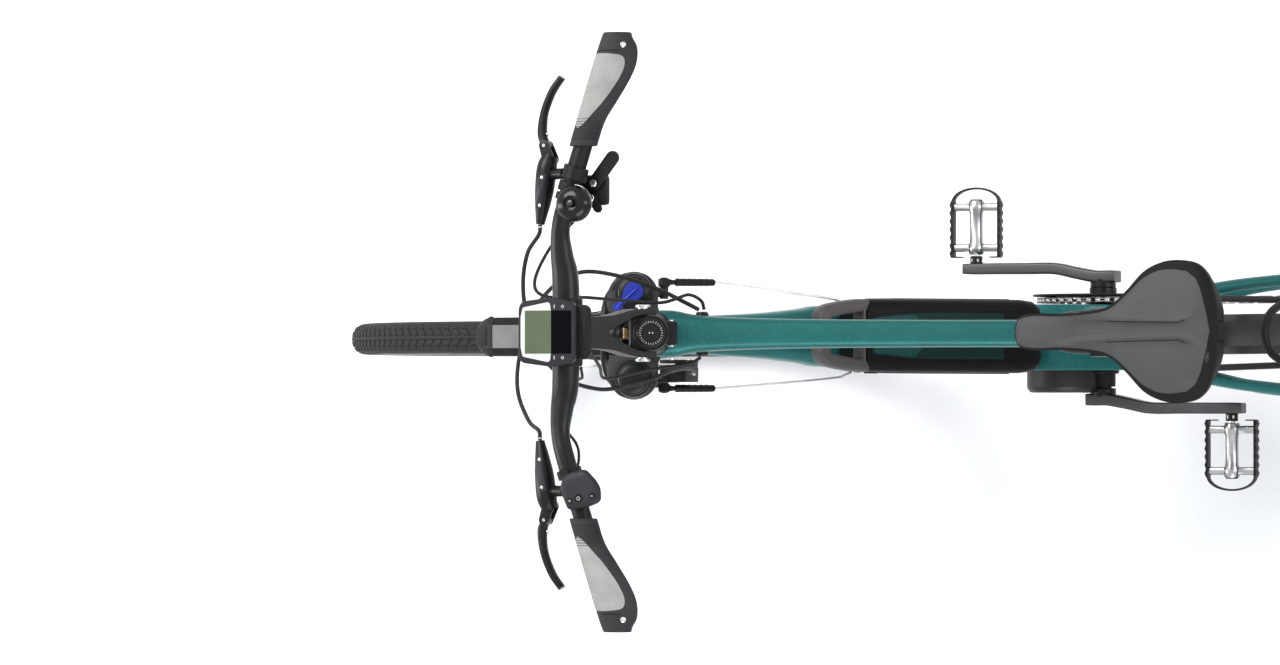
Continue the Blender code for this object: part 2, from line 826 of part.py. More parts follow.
caliper(
    "rear_caliper",
    REAR_AXLE,
    24.0,
    0.069,
    (0.0450, DROPOUT_IN - GAP),
    (REAR_ROTOR_Y, REAR_ROTOR_R),
    (0.056, 0.036),
)

# Fork

CROWN_HIGH = AXLE_TO_CROWN + 0.010
CAP_TOP = CROWN_HIGH + 0.005


def leg_path(points, hand):
    return [steer(s, a, y * hand) for s, a, y in points]


def fork_crown():
    stations = [
        (0.0136, LEG_AHEAD, LEG_Y, 0.024, 0.023),
        (0.0156, 0.016, 0.034, 0.021, 0.021),
        (0.0181, 0.002, 0.015, 0.025, 0.0175),
        (0.0181, 0.000, 0.0, 0.026, 0.0175),
    ]
    stations += [(s, a, -y, w, h) for s, a, y, w, h in reversed(stations[:-1])]
    path = [steer(AXLE_TO_CROWN - s, a, y) for s, a, y, _, _ in stations]
    sections = [oval(w, h, 8, 0.6) for _, _, _, w, h in stations]
    pieces = [sweep("fork_crown", path, sections, STEER_FWD, ANODISED)]
    inside = steer(AXLE_TO_CROWN - 0.0176)
    pieces.append(rod("race", inside, steer(HEAD_LOW - GAP), HEAD_R - 0.001, ANODISED, 12))
    pieces.append(rod("steerer", inside, steer(STEERER_TOP), STEERER_R, ANODISED, 12))
    for hand in (1, -1):
        side = LEG_Y * hand
        pieces.append(
            rod(
                "socket",
                steer(CROWN_LOW, LEG_AHEAD, side),
                steer(CROWN_HIGH, LEG_AHEAD, side),
                SOCKET_R,
                ANODISED,
                12,
                SOCKET_R - 0.003,
            )
        )
        pieces.append(
            rod(
                "stanchion",
                steer(LOWER_TOP - 0.112, LEG_AHEAD, side),
                steer(CROWN_LOW + 0.01, LEG_AHEAD, side),
                STANCHION_R,
                ANODISED,
                12,
            )
        )
        pieces.append(
            rod(
                "cap",
                steer(CROWN_HIGH - 0.01, LEG_AHEAD, side),
                steer(CAP_TOP, LEG_AHEAD, side),
                0.0195,
                ANODISED,
                10,
                0.0175,
            )
        )
    return fuse("fork_crown", pieces)


STEERER_TOP = STEM_LOW + 0.0455
fork_crown()

lever_outline = lobe(0.0125, (0.0228, 0.0213), 0.0045, 8)
lever_top = CAP_TOP + GAP
lockout = plate(
    "lockout_lever",
    lever_outline,
    steer(lever_top, LEG_AHEAD, -LEG_Y),
    STEER_FWD,
    Y,
    0.007,
    BLUE,
    0.0012,
)


ARCH_OVER = 0.0145
ARCH_AHEAD = 0.0605
ARCH_H = 0.0065


def arch():
    """The brace over the wheel that ties the lower legs together."""
    stations = [
        (-0.027, 0.040, 0.0535, 0.0065, 0.010),
        (-0.006, 0.0535, 0.0500, 0.0060, 0.009),
        (0.010, 0.0600, 0.0300, 0.0060, 0.0068),
        (ARCH_OVER, ARCH_AHEAD, 0.0, 0.0060, ARCH_H),
    ]
    stations += [(s, a, -y, w, h) for s, a, y, w, h in reversed(stations[:-1])]
    path = [steer(LOWER_TOP + s, a, y) for s, a, y, _, _ in stations]
    sections = [oval(w, h, 8, 0.7) for _, _, _, w, h in stations]
    return sweep("arch", path, sections, STEER_FWD, BLACK)


CLIP_AT = (-0.060, -0.001)
CALIPER_OUT = 0.0560


def fork_lowers():
    pieces = []
    for hand in (1, -1):
        points = [
            (LOWER_TOP, LEG_AHEAD, LEG_Y),
            (0.200, LEG_AHEAD, LEG_Y),
            (0.105, LEG_AHEAD, 0.0560),
            (0.020, LEG_AHEAD, 0.0562),
        ]
        radii = [LOWER_R, 0.0200, 0.0155, 0.0145]
        pieces.append(tube("leg", leg_path(points, hand), radii, BLACK, 10))
        outline = [
            (-0.036, 0.060),
            (-0.034, 0.012),
            (-0.014, -0.010),
            (0.000, -0.015),
            (0.012, -0.010),
            (0.014, 0.003),
            (0.008, 0.018),
            (-0.010, 0.034),
            (-0.014, 0.060),
        ]
        start = FRONT_AXLE + (FORK_IN + 0.008 if hand > 0 else -FORK_IN) * Y
        pieces.append(plate("dropout", outline, start, STEER_FWD, STEER_UP, 0.008, BLACK))
        clip = FRONT_AXLE + Vector((CLIP_AT[0], 0.0, CLIP_AT[1]))
        pieces.append(
            rod("eyelet", clip + 0.0525 * hand * Y, clip + 0.0655 * hand * Y, 0.0065, BLACK, 8)
        )
        reach = FRONT_AXLE + Vector((-0.018, 0.0, 0.010))
        pieces.append(
            tube("eye_arm", [reach + 0.058 * hand * Y, clip + 0.0590 * hand * Y], 0.005, BLACK, 8)
        )
    post = FRONT_AXLE + Vector((-0.050, CALIPER_OUT + GAP + 0.004, 0.030))
    pieces.append(block("caliper_post", post, (0.076, 0.008, 0.030), BLACK))
    pieces.append(arch())
    pieces += axle_pieces(FRONT_AXLE, FORK_IN + 0.008, BLACK)
    lowers = fuse("fork_lowers", pieces)
    bores = [
        rod(
            "bore",
            steer(LOWER_TOP - 0.192, LEG_AHEAD, LEG_Y * hand),
            steer(LOWER_TOP + 0.01, LEG_AHEAD, LEG_Y * hand),
            STANCHION_R + GAP / COS(math.pi / 12),
            BLACK,
            12,
        )
        for hand in (1, -1)
    ]
    return cut(lowers, *bores)


fork_lowers()
caliper(
    "front_caliper",
    FRONT_AXLE,
    172.0,
    0.0865,
    (0.0270, CALIPER_OUT),
    (FRONT_ROTOR_Y, FRONT_ROTOR_R),
    (0.060, 0.038),
)

# Mudguards


def guard_section(radius):
    """The guard's cross section as (side, radius) points, outside first."""
    half = GUARD_W / 2
    low = radius - 0.010
    outside = [
        (-half, low),
        (-half * 0.62, radius + GUARD_T),
        (half * 0.62, radius + GUARD_T),
        (half, low),
    ]
    inside = [
        (half - GUARD_T, low),
        (half * 0.55, radius),
        (-half * 0.55, radius),
        (-half + GUARD_T, low),
    ]
    return outside + inside


def guard(name, axle, first, last, steps):
    rings = []
    for i in range(steps + 1):
        degrees = first + (last - first) * i / steps
        section = guard_section(GUARD_R)
        rings.append([round_wheel(axle, radius, degrees, side) for side, radius in section])
    return skin(name, rings, BLACK)


WIRE_R = 0.0019


def front_mudguard():
    pieces = [guard("front_mudguard", FRONT_AXLE, 81.0, 222.0, 16)]
    brace = steer(LOWER_TOP + ARCH_OVER, ARCH_AHEAD) - FRONT_AXLE
    away = brace.normalized()
    top = FRONT_AXLE + away * (brace.length - 1.2 * ARCH_H)
    pieces.append(rod("boss", FRONT_AXLE + away * (GUARD_R + 0.001), top, 0.006, BLACK, 8))
    for hand in (1, -1):
        eye = FRONT_AXLE + Vector((CLIP_AT[0], 0.0, CLIP_AT[1]))
        pieces.append(
            rod("knuckle", eye + (0.0655 + GAP) * hand * Y, eye + 0.0785 * hand * Y, 0.0065, BLACK, 8)
        )
        clip_end = eye + Vector((-0.070, 0.0720 * hand, -0.052))
        pieces.append(tube("clip", [eye + 0.0725 * hand * Y, clip_end], [0.0045, 0.0040], BLACK, 6))
        low = round_wheel(FRONT_AXLE, GUARD_R - 0.004, 213.0, (GUARD_W / 2 - 0.002) * hand)
        bend = clip_end.lerp(low, 0.72) + 0.016 * hand * Y
        start = clip_end.lerp(eye + 0.0725 * hand * Y, 0.2)
        pieces.append(tube("wire", [start, bend, low], WIRE_R, STEEL, 5))
    return fuse("front_mudguard", pieces)


front_mudguard()


def rear_mudguard():
    pieces = [guard("rear_mudguard", REAR_AXLE, 4.0, 212.0, 26)]
    bridge = seat_stay_at(bridge_share(), 0.0) - REAR_AXLE
    away = Vector((bridge.x, 0.0, bridge.z)).normalized()
    reach = Vector((bridge.x, 0.0, bridge.z)).length - 0.006 - GAP
    pieces.append(
        rod("boss", REAR_AXLE + away * (GUARD_R + 0.001), REAR_AXLE + away * reach, 0.006, BLACK, 8)
    )
    for hand in (1, -1):
        eye = REAR_AXLE + Vector((-0.004, (DROPOUT_IN + DROPOUT_T + GAP) * hand, 0.020))
        pieces.append(rod("eye", eye, eye + 0.004 * hand * Y, 0.006, BLACK, 8))
        high = round_wheel(REAR_AXLE, GUARD_R - 0.004, 158.0, (GUARD_W / 2 - 0.002) * hand)
        bend = eye.lerp(high, 0.80) + 0.014 * hand * Y
        pieces.append(tube("wire", [eye + 0.0032 * hand * Y, bend, high], WIRE_R, STEEL, 5))
    return fuse("rear_mudguard", pieces)


rear_mudguard()

# Motor and battery


ROOT_R = 0.018


def motor_housing():
    """The cast housing with the round cover of its left side."""
    body = plate(
        "motor_housing", MOTOR_OUTLINE, BB + MOTOR_W / 2 * Y, X, Z, MOTOR_W, GREY, 0.003
    )
    centre = BB + MOTOR_COVER_AHEAD * X + 0.006 * Z
    profile = [
        (0.0, MOTOR_W / 2 - 0.002),
        (MOTOR_COVER_R, MOTOR_W / 2 - 0.002),
        (MOTOR_COVER_R, MOTOR_COVER_OUT - 0.006),
        (MOTOR_COVER_R - 0.008, MOTOR_COVER_OUT),
        (0.0, MOTOR_COVER_OUT),
    ]
    whole = fuse("motor_housing", [body, turned("cover", profile, centre, Y, GREY, 20)])
    bore = rod("bore", BB - 0.1 * Y, BB + 0.1 * Y, (SPINDLE_R + GAP) / COS(math.pi / 10), GREY, 10)
    boss = rod("boss", BB + (ROOT_IN - RUN) * Y, BB + 0.1 * Y, ROOT_R / COS(math.pi / 12) + 0.0015, GREY, 12)
    return cut(whole, bore, boss)


motor_housing()

BATTERY_LOW = DOWN_H / 2 + RAIL_H
BATTERY_HIGH = BATTERY_LOW + BATTERY_H
HANDLE_L = 0.068
INLAY_DEPTH = 0.004
INLAY_L = 0.200


def battery_outline(first, last, front_half, back_half):
    return [
        (first, -front_half * 0.80),
        (first + 0.008, -front_half),
        (last - 0.016, -back_half),
        (last, -back_half + 0.016),
        (last, back_half - 0.016),
        (last - 0.016, back_half),
        (first + 0.008, front_half),
        (first, front_half * 0.80),
    ]


def battery():
    half = BATTERY_W / 2
    top = down(0.0, BATTERY_HIGH)
    case = plate(
        "battery_case",
        battery_outline(BATTERY_AT + HANDLE_L, BATTERY_AT + BATTERY_L, half * 0.97, half),
        top,
        DOWN_DIR,
        Y,
        BATTERY_H,
        BLACK,
        0.005,
    )
    first = BATTERY_AT + HANDLE_L
    inlay = [
        (first - 0.01, -0.0215),
        (first + 0.070, -0.0290),
        (first + INLAY_L, -0.0290),
        (first + INLAY_L, 0.0290),
        (first + 0.070, 0.0290),
        (first - 0.01, 0.0215),
    ]
    pocket = plate("pocket", inlay, down(0.0, BATTERY_HIGH + 0.01), DOWN_DIR, Y, 0.01 + INLAY_DEPTH, BLACK)
    cut(case, pocket)
    inset = GAP
    inlay = [
        (first + 0.0055, -0.0230 + inset),
        (first + 0.070, -0.0290 + inset),
        (first + INLAY_L - inset, -0.0290 + inset),
        (first + INLAY_L - inset, 0.0290 - inset),
        (first + 0.070, 0.0290 - inset),
        (first + 0.0055, 0.0230 - inset),
    ]
    plate(
        "battery_panel",
        inlay,
        down(0.0, BATTERY_HIGH + 0.0012),
        DOWN_DIR,
        Y,
        INLAY_DEPTH + 0.0012 - GAP,
        PAINT,
    )
    handle = plate(
        "battery_handle",
        [
            (BATTERY_AT, -0.0300),
            (BATTERY_AT + 0.008, -0.0375),
            (first - GAP, -half * 0.97),
            (first - GAP, half * 0.97),
            (BATTERY_AT + 0.008, 0.0375),
            (BATTERY_AT, 0.0300),
        ],
        down(0.0, BATTERY_HIGH - 0.004),
        DOWN_DIR,
        Y,
        0.026,
        GREY,
        0.004,
    )
    hole = [
        (BATTERY_AT + 0.020, -0.0190),
        (first - 0.004, -0.0240),
        (first - 0.004, 0.0240),
        (BATTERY_AT + 0.020, 0.0190),
    ]
    cut(handle, plate("hole", hole, down(0.0, BATTERY_HIGH + 0.01), DOWN_DIR, Y, 0.05, GREY))


battery()

# Cranks, ring and pedals


def crank(name, hand, ahead):
    """A crank arm; hand is its side (left 1, right -1), ahead the way it points."""
    stations = [
        (0.000, 0.0715, 0.0800, 0.0160),
        (0.035, 0.0715, 0.0815, 0.0145),
        (0.100, 0.0770, 0.0890, 0.0125),
        (0.150, ARM_IN, ARM_OUT, 0.0125),
        (0.170, ARM_IN, ARM_OUT, 0.0125),
    ]
    path = [BB + x * ahead * X + (inner + outer) / 2 * hand * Y for x, inner, outer, _ in stations]
    sections = [oval(high, (outer - inner) / 2, 8, 0.6) for _, inner, outer, high in stations]
    eye = BB + CRANK * ahead * X
    pieces = [
        sweep(name, path, sections, Z, GREY),
        rod("root", BB + ROOT_IN * hand * Y, BB + ROOT_OUT * hand * Y, ROOT_R, GREY, 12),
        rod("eye", eye + ARM_IN * hand * Y, eye + ARM_OUT * hand * Y, 0.0140, GREY, 10),
        rod("pin", eye + 0.09 * hand * Y, eye + PIN_END * hand * Y, PIN_R, STEEL, 8),
        rod("end", eye + (PIN_END - 0.002) * hand * Y, eye + (PIN_END + 0.003) * hand * Y, 0.0068, STEEL, 8),
    ]
    if hand < 0:
        pieces.append(rod("spindle", BB - 0.072 * Y, BB + (ROOT_OUT - 0.001) * Y, SPINDLE_R, STEEL, 10))
    arm = fuse(name, pieces)
    if hand > 0:
        cut(arm, rod("bore", BB, BB + 0.2 * Y, SPINDLE_R / COS(math.pi / 10) + GAP, GREY, 10))
    return arm


PIN_R = 0.0045
PEDAL_GAP = 0.003
PIN_END = ARM_OUT + PEDAL_GAP + PEDAL_W + GAP + 0.002
crank("crank_right", -1, 1)
crank("crank_left", 1, -1)


def pedal(name, hand, ahead):
    centre = BB + CRANK * ahead * X + (ARM_OUT + PEDAL_GAP + PEDAL_W / 2) * hand * Y
    half_l, half_w = PEDAL_L / 2, PEDAL_W / 2
    teeth = 8
    outline = []
    for end in (1, -1):
        for i in range(teeth * 2 + 1):
            across = (-half_w + 0.008) + (2 * half_w - 0.016) * i / (teeth * 2)
            depth = half_l if i % 2 else half_l - 0.004
            outline.append((depth * end, across * end))
        outline.append(((half_l - 0.012) * end, half_w * end))
        outline.append((-(half_l - 0.012) * end, half_w * end))
    cage = plate(name, outline, centre + 0.008 * Z, X, Y, -0.016, BLACK)
    for end in (1, -1):
        window = slab(
            "window",
            centre + Vector((0.013 if end > 0 else -half_l + 0.009, -half_w + 0.008, -0.02)),
            centre + Vector((half_l - 0.009 if end > 0 else -0.013, half_w - 0.008, 0.02)),
            BLACK,
        )
        cut(cage, window)
    barrel = rod("barrel", centre - (half_w - 0.002) * Y, centre + (half_w - 0.002) * Y, 0.0105, BLACK, 8)
    body = fuse(name, [cage, barrel])
    return cut(body, rod("bore", centre - 0.1 * Y, centre + 0.1 * Y, (PIN_R + GAP) / COS(math.pi / 8), BLACK, 8))


pedal("pedal_right", -1, 1)
pedal("pedal_left", 1, -1)

# Chain line


def pitch_radius(teeth):
    return PITCH / (2 * SIN(math.pi / teeth))


SPROCKETS = [32, 28, 24, SPROCKET_TEETH, 17, 14, 12]
SPROCKET_STEP = 0.0048
SPROCKET_T = 0.0019
PULLEY_TEETH = 11
RING_R = pitch_radius(RING_TEETH)
SPROCKET_R = pitch_radius(SPROCKET_TEETH)
PULLEY_R = pitch_radius(PULLEY_TEETH)
GUIDE = REAR_AXLE + Vector((0.004, -CHAINLINE, -0.088))
TENSION = GUIDE + Vector((0.030, 0.0, -0.052))
CAGE_PIVOT = GUIDE + Vector((-0.002, 0.0, 0.004))


def flat(point):
    return Vector((point.x, point.z))


def round_point(centre, radius, angle):
    return centre + radius * Vector((COS(angle), SIN(angle)))


def chain_joints():
    """Pins of the chain, at the true pitch on every toothed wheel, and their first angles."""
    circles = [
        (flat(BB), RING_R, 1),
        (flat(REAR_AXLE), SPROCKET_R, 1),
        (flat(GUIDE), PULLEY_R, -1),
        (flat(TENSION), PULLEY_R, 1),
    ]
    leaves, meets = [], []
    for i, (centre, radius, sense) in enumerate(circles):
        other, other_r, other_sense = circles[(i + 1) % len(circles)]
        run = other - centre
        lean = math.atan2(run.y, run.x) - math.asin((other_sense * other_r - sense * radius) / run.length)
        across = Vector((-SIN(lean), COS(lean)))
        leaves.append(centre - sense * radius * across)
        meets.append(other - other_sense * other_r * across)
    groups, starts = [], []
    for i, (centre, radius, sense) in enumerate(circles):
        arrive = meets[i - 1] - centre
        depart = leaves[i] - centre
        first = math.atan2(arrive.y, arrive.x)
        span = (sense * (math.atan2(depart.y, depart.x) - first)) % (2 * math.pi)
        step = 2 * math.asin(PITCH / 2 / radius)
        count = int(span / step)
        start = first + sense * (span - count * step) / 2
        starts.append(start)
        groups.append([round_point(centre, radius, start + sense * step * k) for k in range(count + 1)])
    joints = []
    for i, group in enumerate(groups):
        joints += group
        run = groups[(i + 1) % len(groups)][0] - group[-1]
        count = max(1, round(run.length / PITCH))
        joints += [group[-1] + run * k / count for k in range(1, count)]
    return joints, starts


JOINTS, STARTS = chain_joints()
ROLLER_HALF = 0.0026
PLATE_IN = 0.0021


def chain():
    """Every link as a pair of side strips with a roller block across at each pin."""
    points, faces = [], []
    total = len(JOINTS)
    high = CHAIN_H / 2
    for i, here in enumerate(JOINTS):
        along = (JOINTS[(i + 1) % total] - JOINTS[i - 1]).normalized()
        over = Vector((-along.y, along.x))
        for side in (-1, 1):
            for level in (-1, 1):
                outer = here + over * high * level
                points.append(Vector((outer.x, side * CHAIN_W / 2 - CHAINLINE, outer.y)))
                for reach in (-ROLLER_HALF, ROLLER_HALF):
                    inner = outer + along * reach
                    points.append(Vector((inner.x, side * PLATE_IN - CHAINLINE, inner.y)))
    for i in range(total):
        a, b = i * 12, ((i + 1) % total) * 12
        for side in (0, 6):
            low, top = side, side + 3
            faces.append((a + low, a + top, b + top, b + low))
            faces.append((a + low + 2, a + top + 2, b + top + 1, b + low + 1))
            for level in (low, top):
                faces.append((a + level, b + level, b + level + 1, a + level + 2))
                faces.append((a + level, a + level + 2, a + level + 1))
        faces.append((a + 1, a + 4, a + 10, a + 7))
        faces.append((a + 2, a + 5, a + 11, a + 8))
        faces.append((a + 1, a + 2, a + 8, a + 7))
        faces.append((a + 4, a + 5, a + 11, a + 10))
    return make("chain", points, faces, CHAIN_STEEL)


chain()


def toothed(name, axle, side, teeth, start, thick, material):
    """A toothed disc whose gaps fall on the chain's pins, counted from the angle start."""
    radius = pitch_radius(teeth)
    root = radius - CHAIN_H / 2 - 0.0006
    tip = radius + 0.0020
    outline = []
    for i in range(teeth):
        middle = start + 2 * math.pi * (i + 0.5) / teeth
        for distance, half in ((root, -0.0027), (tip, 0.0), (root, 0.0027)):
            angle = middle + half / radius
            outline.append((distance * COS(angle), distance * SIN(angle)))
    return plate(name, outline, axle + (side + thick / 2) * Y, X, Z, thick, material)


def chainring():
    ring = toothed("chainring", BB, -CHAINLINE, RING_TEETH, STARTS[0], TOOTH_T, ANODISED)
    arms = 4
    for i in range(arms):
        middle = 2 * math.pi * (i + 0.5) / arms
        outline = []
        for radius, half in ((0.064, 0.52), (0.064, 0.0), (0.064, -0.52), (0.028, -0.34), (0.028, 0.34)):
            outline.append((radius * COS(middle + half), radius * SIN(middle + half)))
        cut(ring, plate("window", outline, BB + (0.02 - CHAINLINE) * Y, X, Z, 0.04, ANODISED))
    guard_in = -CHAINLINE - CHAIN_W / 2 - 0.0016
    shield = ring_of(
        "shield", BB + guard_in * Y, BB + (guard_in - 0.003) * Y, GUARD_RING_R, 0.060, ANODISED, 20
    )
    pieces = [ring, shield]
    for i in range(arms):
        turn = 2 * math.pi * i / arms
        post = BB + 0.0665 * Vector((COS(turn), 0.0, SIN(turn)))
        pieces.append(
            rod("post", post - CHAINLINE * Y, post + (guard_in - 0.0015) * Y, 0.005, ANODISED, 6)
        )
    pieces.append(rod("boss", BB - (ROOT_IN - RUN) * Y, BB - 0.0445 * Y, 0.0175, ANODISED, 12))
    whole = fuse("chainring", pieces)
    return cut(whole, rod("bore", BB - 0.1 * Y, BB, SPINDLE_R / COS(math.pi / 10) + GAP, ANODISED, 10))


chainring()


def cassette():
    pieces = []
    first = -CHAINLINE + 3 * SPROCKET_STEP
    for i, teeth in enumerate(SPROCKETS):
        side = first - i * SPROCKET_STEP
        if teeth == SPROCKET_TEETH:
            disc = toothed("disc", REAR_AXLE, side, teeth, STARTS[1], SPROCKET_T, CHAIN_STEEL)
        else:
            edge = circle(pitch_radius(teeth) + 0.0012, 12)
            disc = plate("disc", edge, REAR_AXLE + (side + SPROCKET_T / 2) * Y, X, Z, SPROCKET_T, CHAIN_STEEL)
        pieces.append(disc)
    start = REAR_AXLE + (CASSETTE_IN - GAP) * Y
    carrier = rod("cassette", start, REAR_AXLE - 0.0645 * Y, 0.0175, CHAIN_STEEL, 8)
    whole = fuse("cassette", [carrier] + pieces)
    return cut(whole, rod("bore", REAR_AXLE - 0.1 * Y, REAR_AXLE, HUB_BORE, CHAIN_STEEL, AXLE_SIDES))


cassette()

# Derailleur

CAGE_OUT = -CHAINLINE - 0.0065
CAGE_IN = -CHAINLINE + 0.0065
CAGE_T = 0.002
BOLT_R = 0.0025
KNUCKLE_IN = CAGE_OUT - CAGE_T - GAP


def derailleur_body():
    hang = REAR_AXLE + HANGER
    outside = -(DROPOUT_IN + DROPOUT_T + GAP)
    low = Vector((CAGE_PIVOT.x, 0.0, CAGE_PIVOT.z))
    hang = Vector((hang.x, 0.0, hang.z))
    pieces = [
        rod("derailleur_body", hang + outside * Y, hang + (outside - 0.013) * Y, 0.0115, BLACK, 10),
        rod("knuckle", low + KNUCKLE_IN * Y, low + (KNUCKLE_IN - 0.016) * Y, 0.0135, BLACK, 10),
    ]
    path = [hang + (outside - 0.008) * Y, hang.lerp(low, 0.5) - 0.080 * Y, low + (KNUCKLE_IN - 0.009) * Y]
    pieces.append(sweep("link", path, oval(0.0065, 0.010, 8, 0.7), Y, BLACK))
    return fuse("derailleur_body", pieces)


derailleur_body()


def derailleur_cage():
    guide = Vector((GUIDE.x, 0.0, GUIDE.z))
    tension = Vector((TENSION.x, 0.0, TENSION.z))
    offset = tension - guide
    outline = lobe(0.0120, (offset.x, offset.z), 0.0100, 6)
    outer = plate("derailleur_cage", outline, guide + CAGE_OUT * Y, X, Z, CAGE_T, ANODISED)
    inner = plate("inner", outline, guide + (CAGE_IN + CAGE_T) * Y, X, Z, CAGE_T, ANODISED)
    pieces = [outer, inner]
    for centre in (guide, tension):
        ends = (centre + (CAGE_OUT - 0.0010) * Y, centre + (CAGE_IN + 0.0012) * Y)
        pieces.append(rod("bolt", ends[0], ends[1], BOLT_R, STEEL, 6))
    return fuse("derailleur_cage", pieces)


derailleur_cage()


def pulley(name, centre, start):
    wheel = toothed(name, centre + CHAINLINE * Y, -CHAINLINE, PULLEY_TEETH, start, TOOTH_T, BLACK)
    hub = rod("hub", centre - 0.0045 * Y, centre + 0.0045 * Y, 0.0065, BLACK, 8)
    whole = fuse(name, [wheel, hub])
    return cut(whole, rod("bore", centre - 0.02 * Y, centre + 0.02 * Y, BOLT_R / COS(math.pi / 6) + RUN, BLACK, 6))


pulley("pulley_guide", GUIDE, STARTS[2])
pulley("pulley_tension", TENSION, STARTS[3])

# Rack, rear light and kickstand

RACK_Z = 0.800
RACK_TUBE_R = 0.005


def rack_point(behind, side, z=RACK_Z):
    return spot(behind, side, z)


def rear_rack():
    half_loop = [
        (0.9890, 0.0),
        (0.9930, 0.0180),
        (1.0060, 0.0310),
        (1.0300, 0.0380),
        (1.1000, 0.0560),
        (1.1800, 0.0620),
        (1.3000, 0.0620),
        (1.3250, 0.0520),
        (1.3300, 0.0300),
    ]
    loop = [rack_point(x, y) for x, y in half_loop]
    loop += [rack_point(x, -y) for x, y in reversed(half_loop[1:])]
    pieces = [sweep("rear_rack", loop, oval(RACK_TUBE_R, RACK_TUBE_R, 6), Z, BLACK, True)]
    for behind, half in ((1.0300, 0.038), (1.1800, 0.062), (1.2600, 0.062)):
        pieces.append(rod("bar", rack_point(behind, half), rack_point(behind, -half), 0.0038, BLACK, 6))
    for hand in (1, -1):
        eye = REAR_AXLE + Vector((-0.001, (DROPOUT_IN + DROPOUT_T + GAP) * hand, 0.040))
        pieces.append(rod("eye", eye, eye + 0.006 * hand * Y, 0.0062, BLACK, 8))
        foot = eye + 0.0048 * hand * Y
        for behind, half in ((1.1000, 0.056), (1.2200, 0.062)):
            high = rack_point(behind, half * hand)
            pieces.append(rod("strut", foot, high, 0.0042, BLACK, 6))
        stay = seat_stay_at(0.15, hand) + (SEAT_STAY_R + 0.0022) * hand * Y
        pieces.append(rod("pad", stay, stay + 0.006 * hand * Y, 0.006, BLACK, 8))
        arm_end = rack_point(1.0300, 0.038 * hand)
        pieces.append(rod("front_arm", stay + 0.003 * hand * Y, arm_end, 0.004, BLACK, 6))
    low, high = rack_point(1.3360, -0.042, 0.742), rack_point(1.3320, 0.042, 0.803)
    pieces.append(slab("plate", low, high, BLACK))
    return fuse("rear_rack", pieces, "MANIFOLD")


rear_rack()

lamp_back = rack_point(1.3360 + GAP, 0.0, 0.765)
rear_lamp = [
    (-0.040, -0.018),
    (0.040, -0.018),
    (0.040, 0.010),
    (0.032, 0.018),
    (-0.032, 0.018),
    (-0.040, 0.010),
]
plate("rear_light", rear_lamp, lamp_back, Y, Z, -0.020, LENS, 0.003)


def kickstand():
    """Leg and hub, made as it stands; it folds up to the rear about the hub."""
    sole = KICK_FOOT + 0.011 * Z
    foot_low, foot_high = KICK_FOOT + Vector((-0.017, -0.013, 0.0)), KICK_FOOT + Vector((0.017, 0.013, 0.014))
    bolt = KICK_AT + KICK_HUB_HALF * KICK_AXIS
    pieces = [
        rod("kickstand_leg", KICK_AT, sole, 0.0080, BLACK, 10, 0.0070),
        kick_hub("hub", KICK_HUB_HALF, KICK_HUB_R, BLACK),
        rod("bolt", bolt - 0.001 * KICK_AXIS, bolt + 0.003 * KICK_AXIS, 0.0055, STEEL, 6),
        slab("foot", foot_low, foot_high, BLACK, 0.003),
    ]
    return fuse("kickstand_leg", pieces)


kickstand()

# Seatpost and saddle

RAIL_R = 0.0035
RAIL_Y = 0.022
RAIL_Z = 0.9045
POST_LOW = 0.320
CLAMP_AT = 0.652


RAIL_HALF = [
    (0.748, 0.010, RAIL_Z),
    (0.770, 0.018, RAIL_Z),
    (0.795, RAIL_Y, RAIL_Z),
    (0.865, RAIL_Y, RAIL_Z),
    (0.905, 0.028, RAIL_Z + 0.003),
    (0.940, 0.038, RAIL_Z + 0.010),
]


def saddle_rails():
    path = [spot(x, y, z) for x, y, z in reversed(RAIL_HALF)]
    path += [spot(0.743, 0.0, RAIL_Z)]
    path += [spot(x, -y, z) for x, y, z in RAIL_HALF]
    return sweep("rails", path, oval(RAIL_R, RAIL_R, 6), Z, STEEL)


def seatpost():
    centre = seat(CLAMP_AT)
    pieces = [
        rod("seatpost", seat(POST_LOW), seat(CLAMP_AT - 0.012), POST_R, ANODISED, 14),
        slab(
            "cradle",
            Vector((centre.x - 0.019, -0.029, centre.z - 0.022)),
            Vector((centre.x + 0.019, 0.029, centre.z + 0.0030)),
            ANODISED,
            0.004,
        ),
    ]
    post = fuse("seatpost", pieces)
    grooves = [
        rod(
            "groove",
            Vector((centre.x - 0.05, RAIL_Y * hand, level(RAIL_Z))),
            Vector((centre.x + 0.05, RAIL_Y * hand, level(RAIL_Z))),
            RAIL_R + GAP,
            ANODISED,
            10,
        )
        for hand in (1, -1)
    ]
    return cut(post, *grooves)


seatpost()

# Half widths and heights along the saddle, from the nose: (behind the axle, half width, top, crown).
SADDLE_LINES = [
    (0.7265, 0.0080, 0.9360, 0.003),
    (0.7320, 0.0165, 0.9430, 0.004),
    (0.7480, 0.0215, 0.9470, 0.005),
    (0.7850, 0.0210, 0.9480, 0.006),
    (0.8220, 0.0245, 0.9480, 0.007),
    (0.8420, 0.0310, 0.9485, 0.008),
    (0.8600, 0.0470, 0.9495, 0.010),
    (0.8820, 0.0700, 0.9510, 0.012),
    (0.9060, 0.0810, 0.9535, 0.013),
    (0.9300, 0.0825, 0.9560, 0.013),
    (0.9520, 0.0780, 0.9570, 0.012),
    (0.9680, 0.0600, 0.9560, 0.010),
    (0.9790, 0.0260, 0.9500, 0.007),
]
PAD_H = 0.032
SHELL_T = 0.006


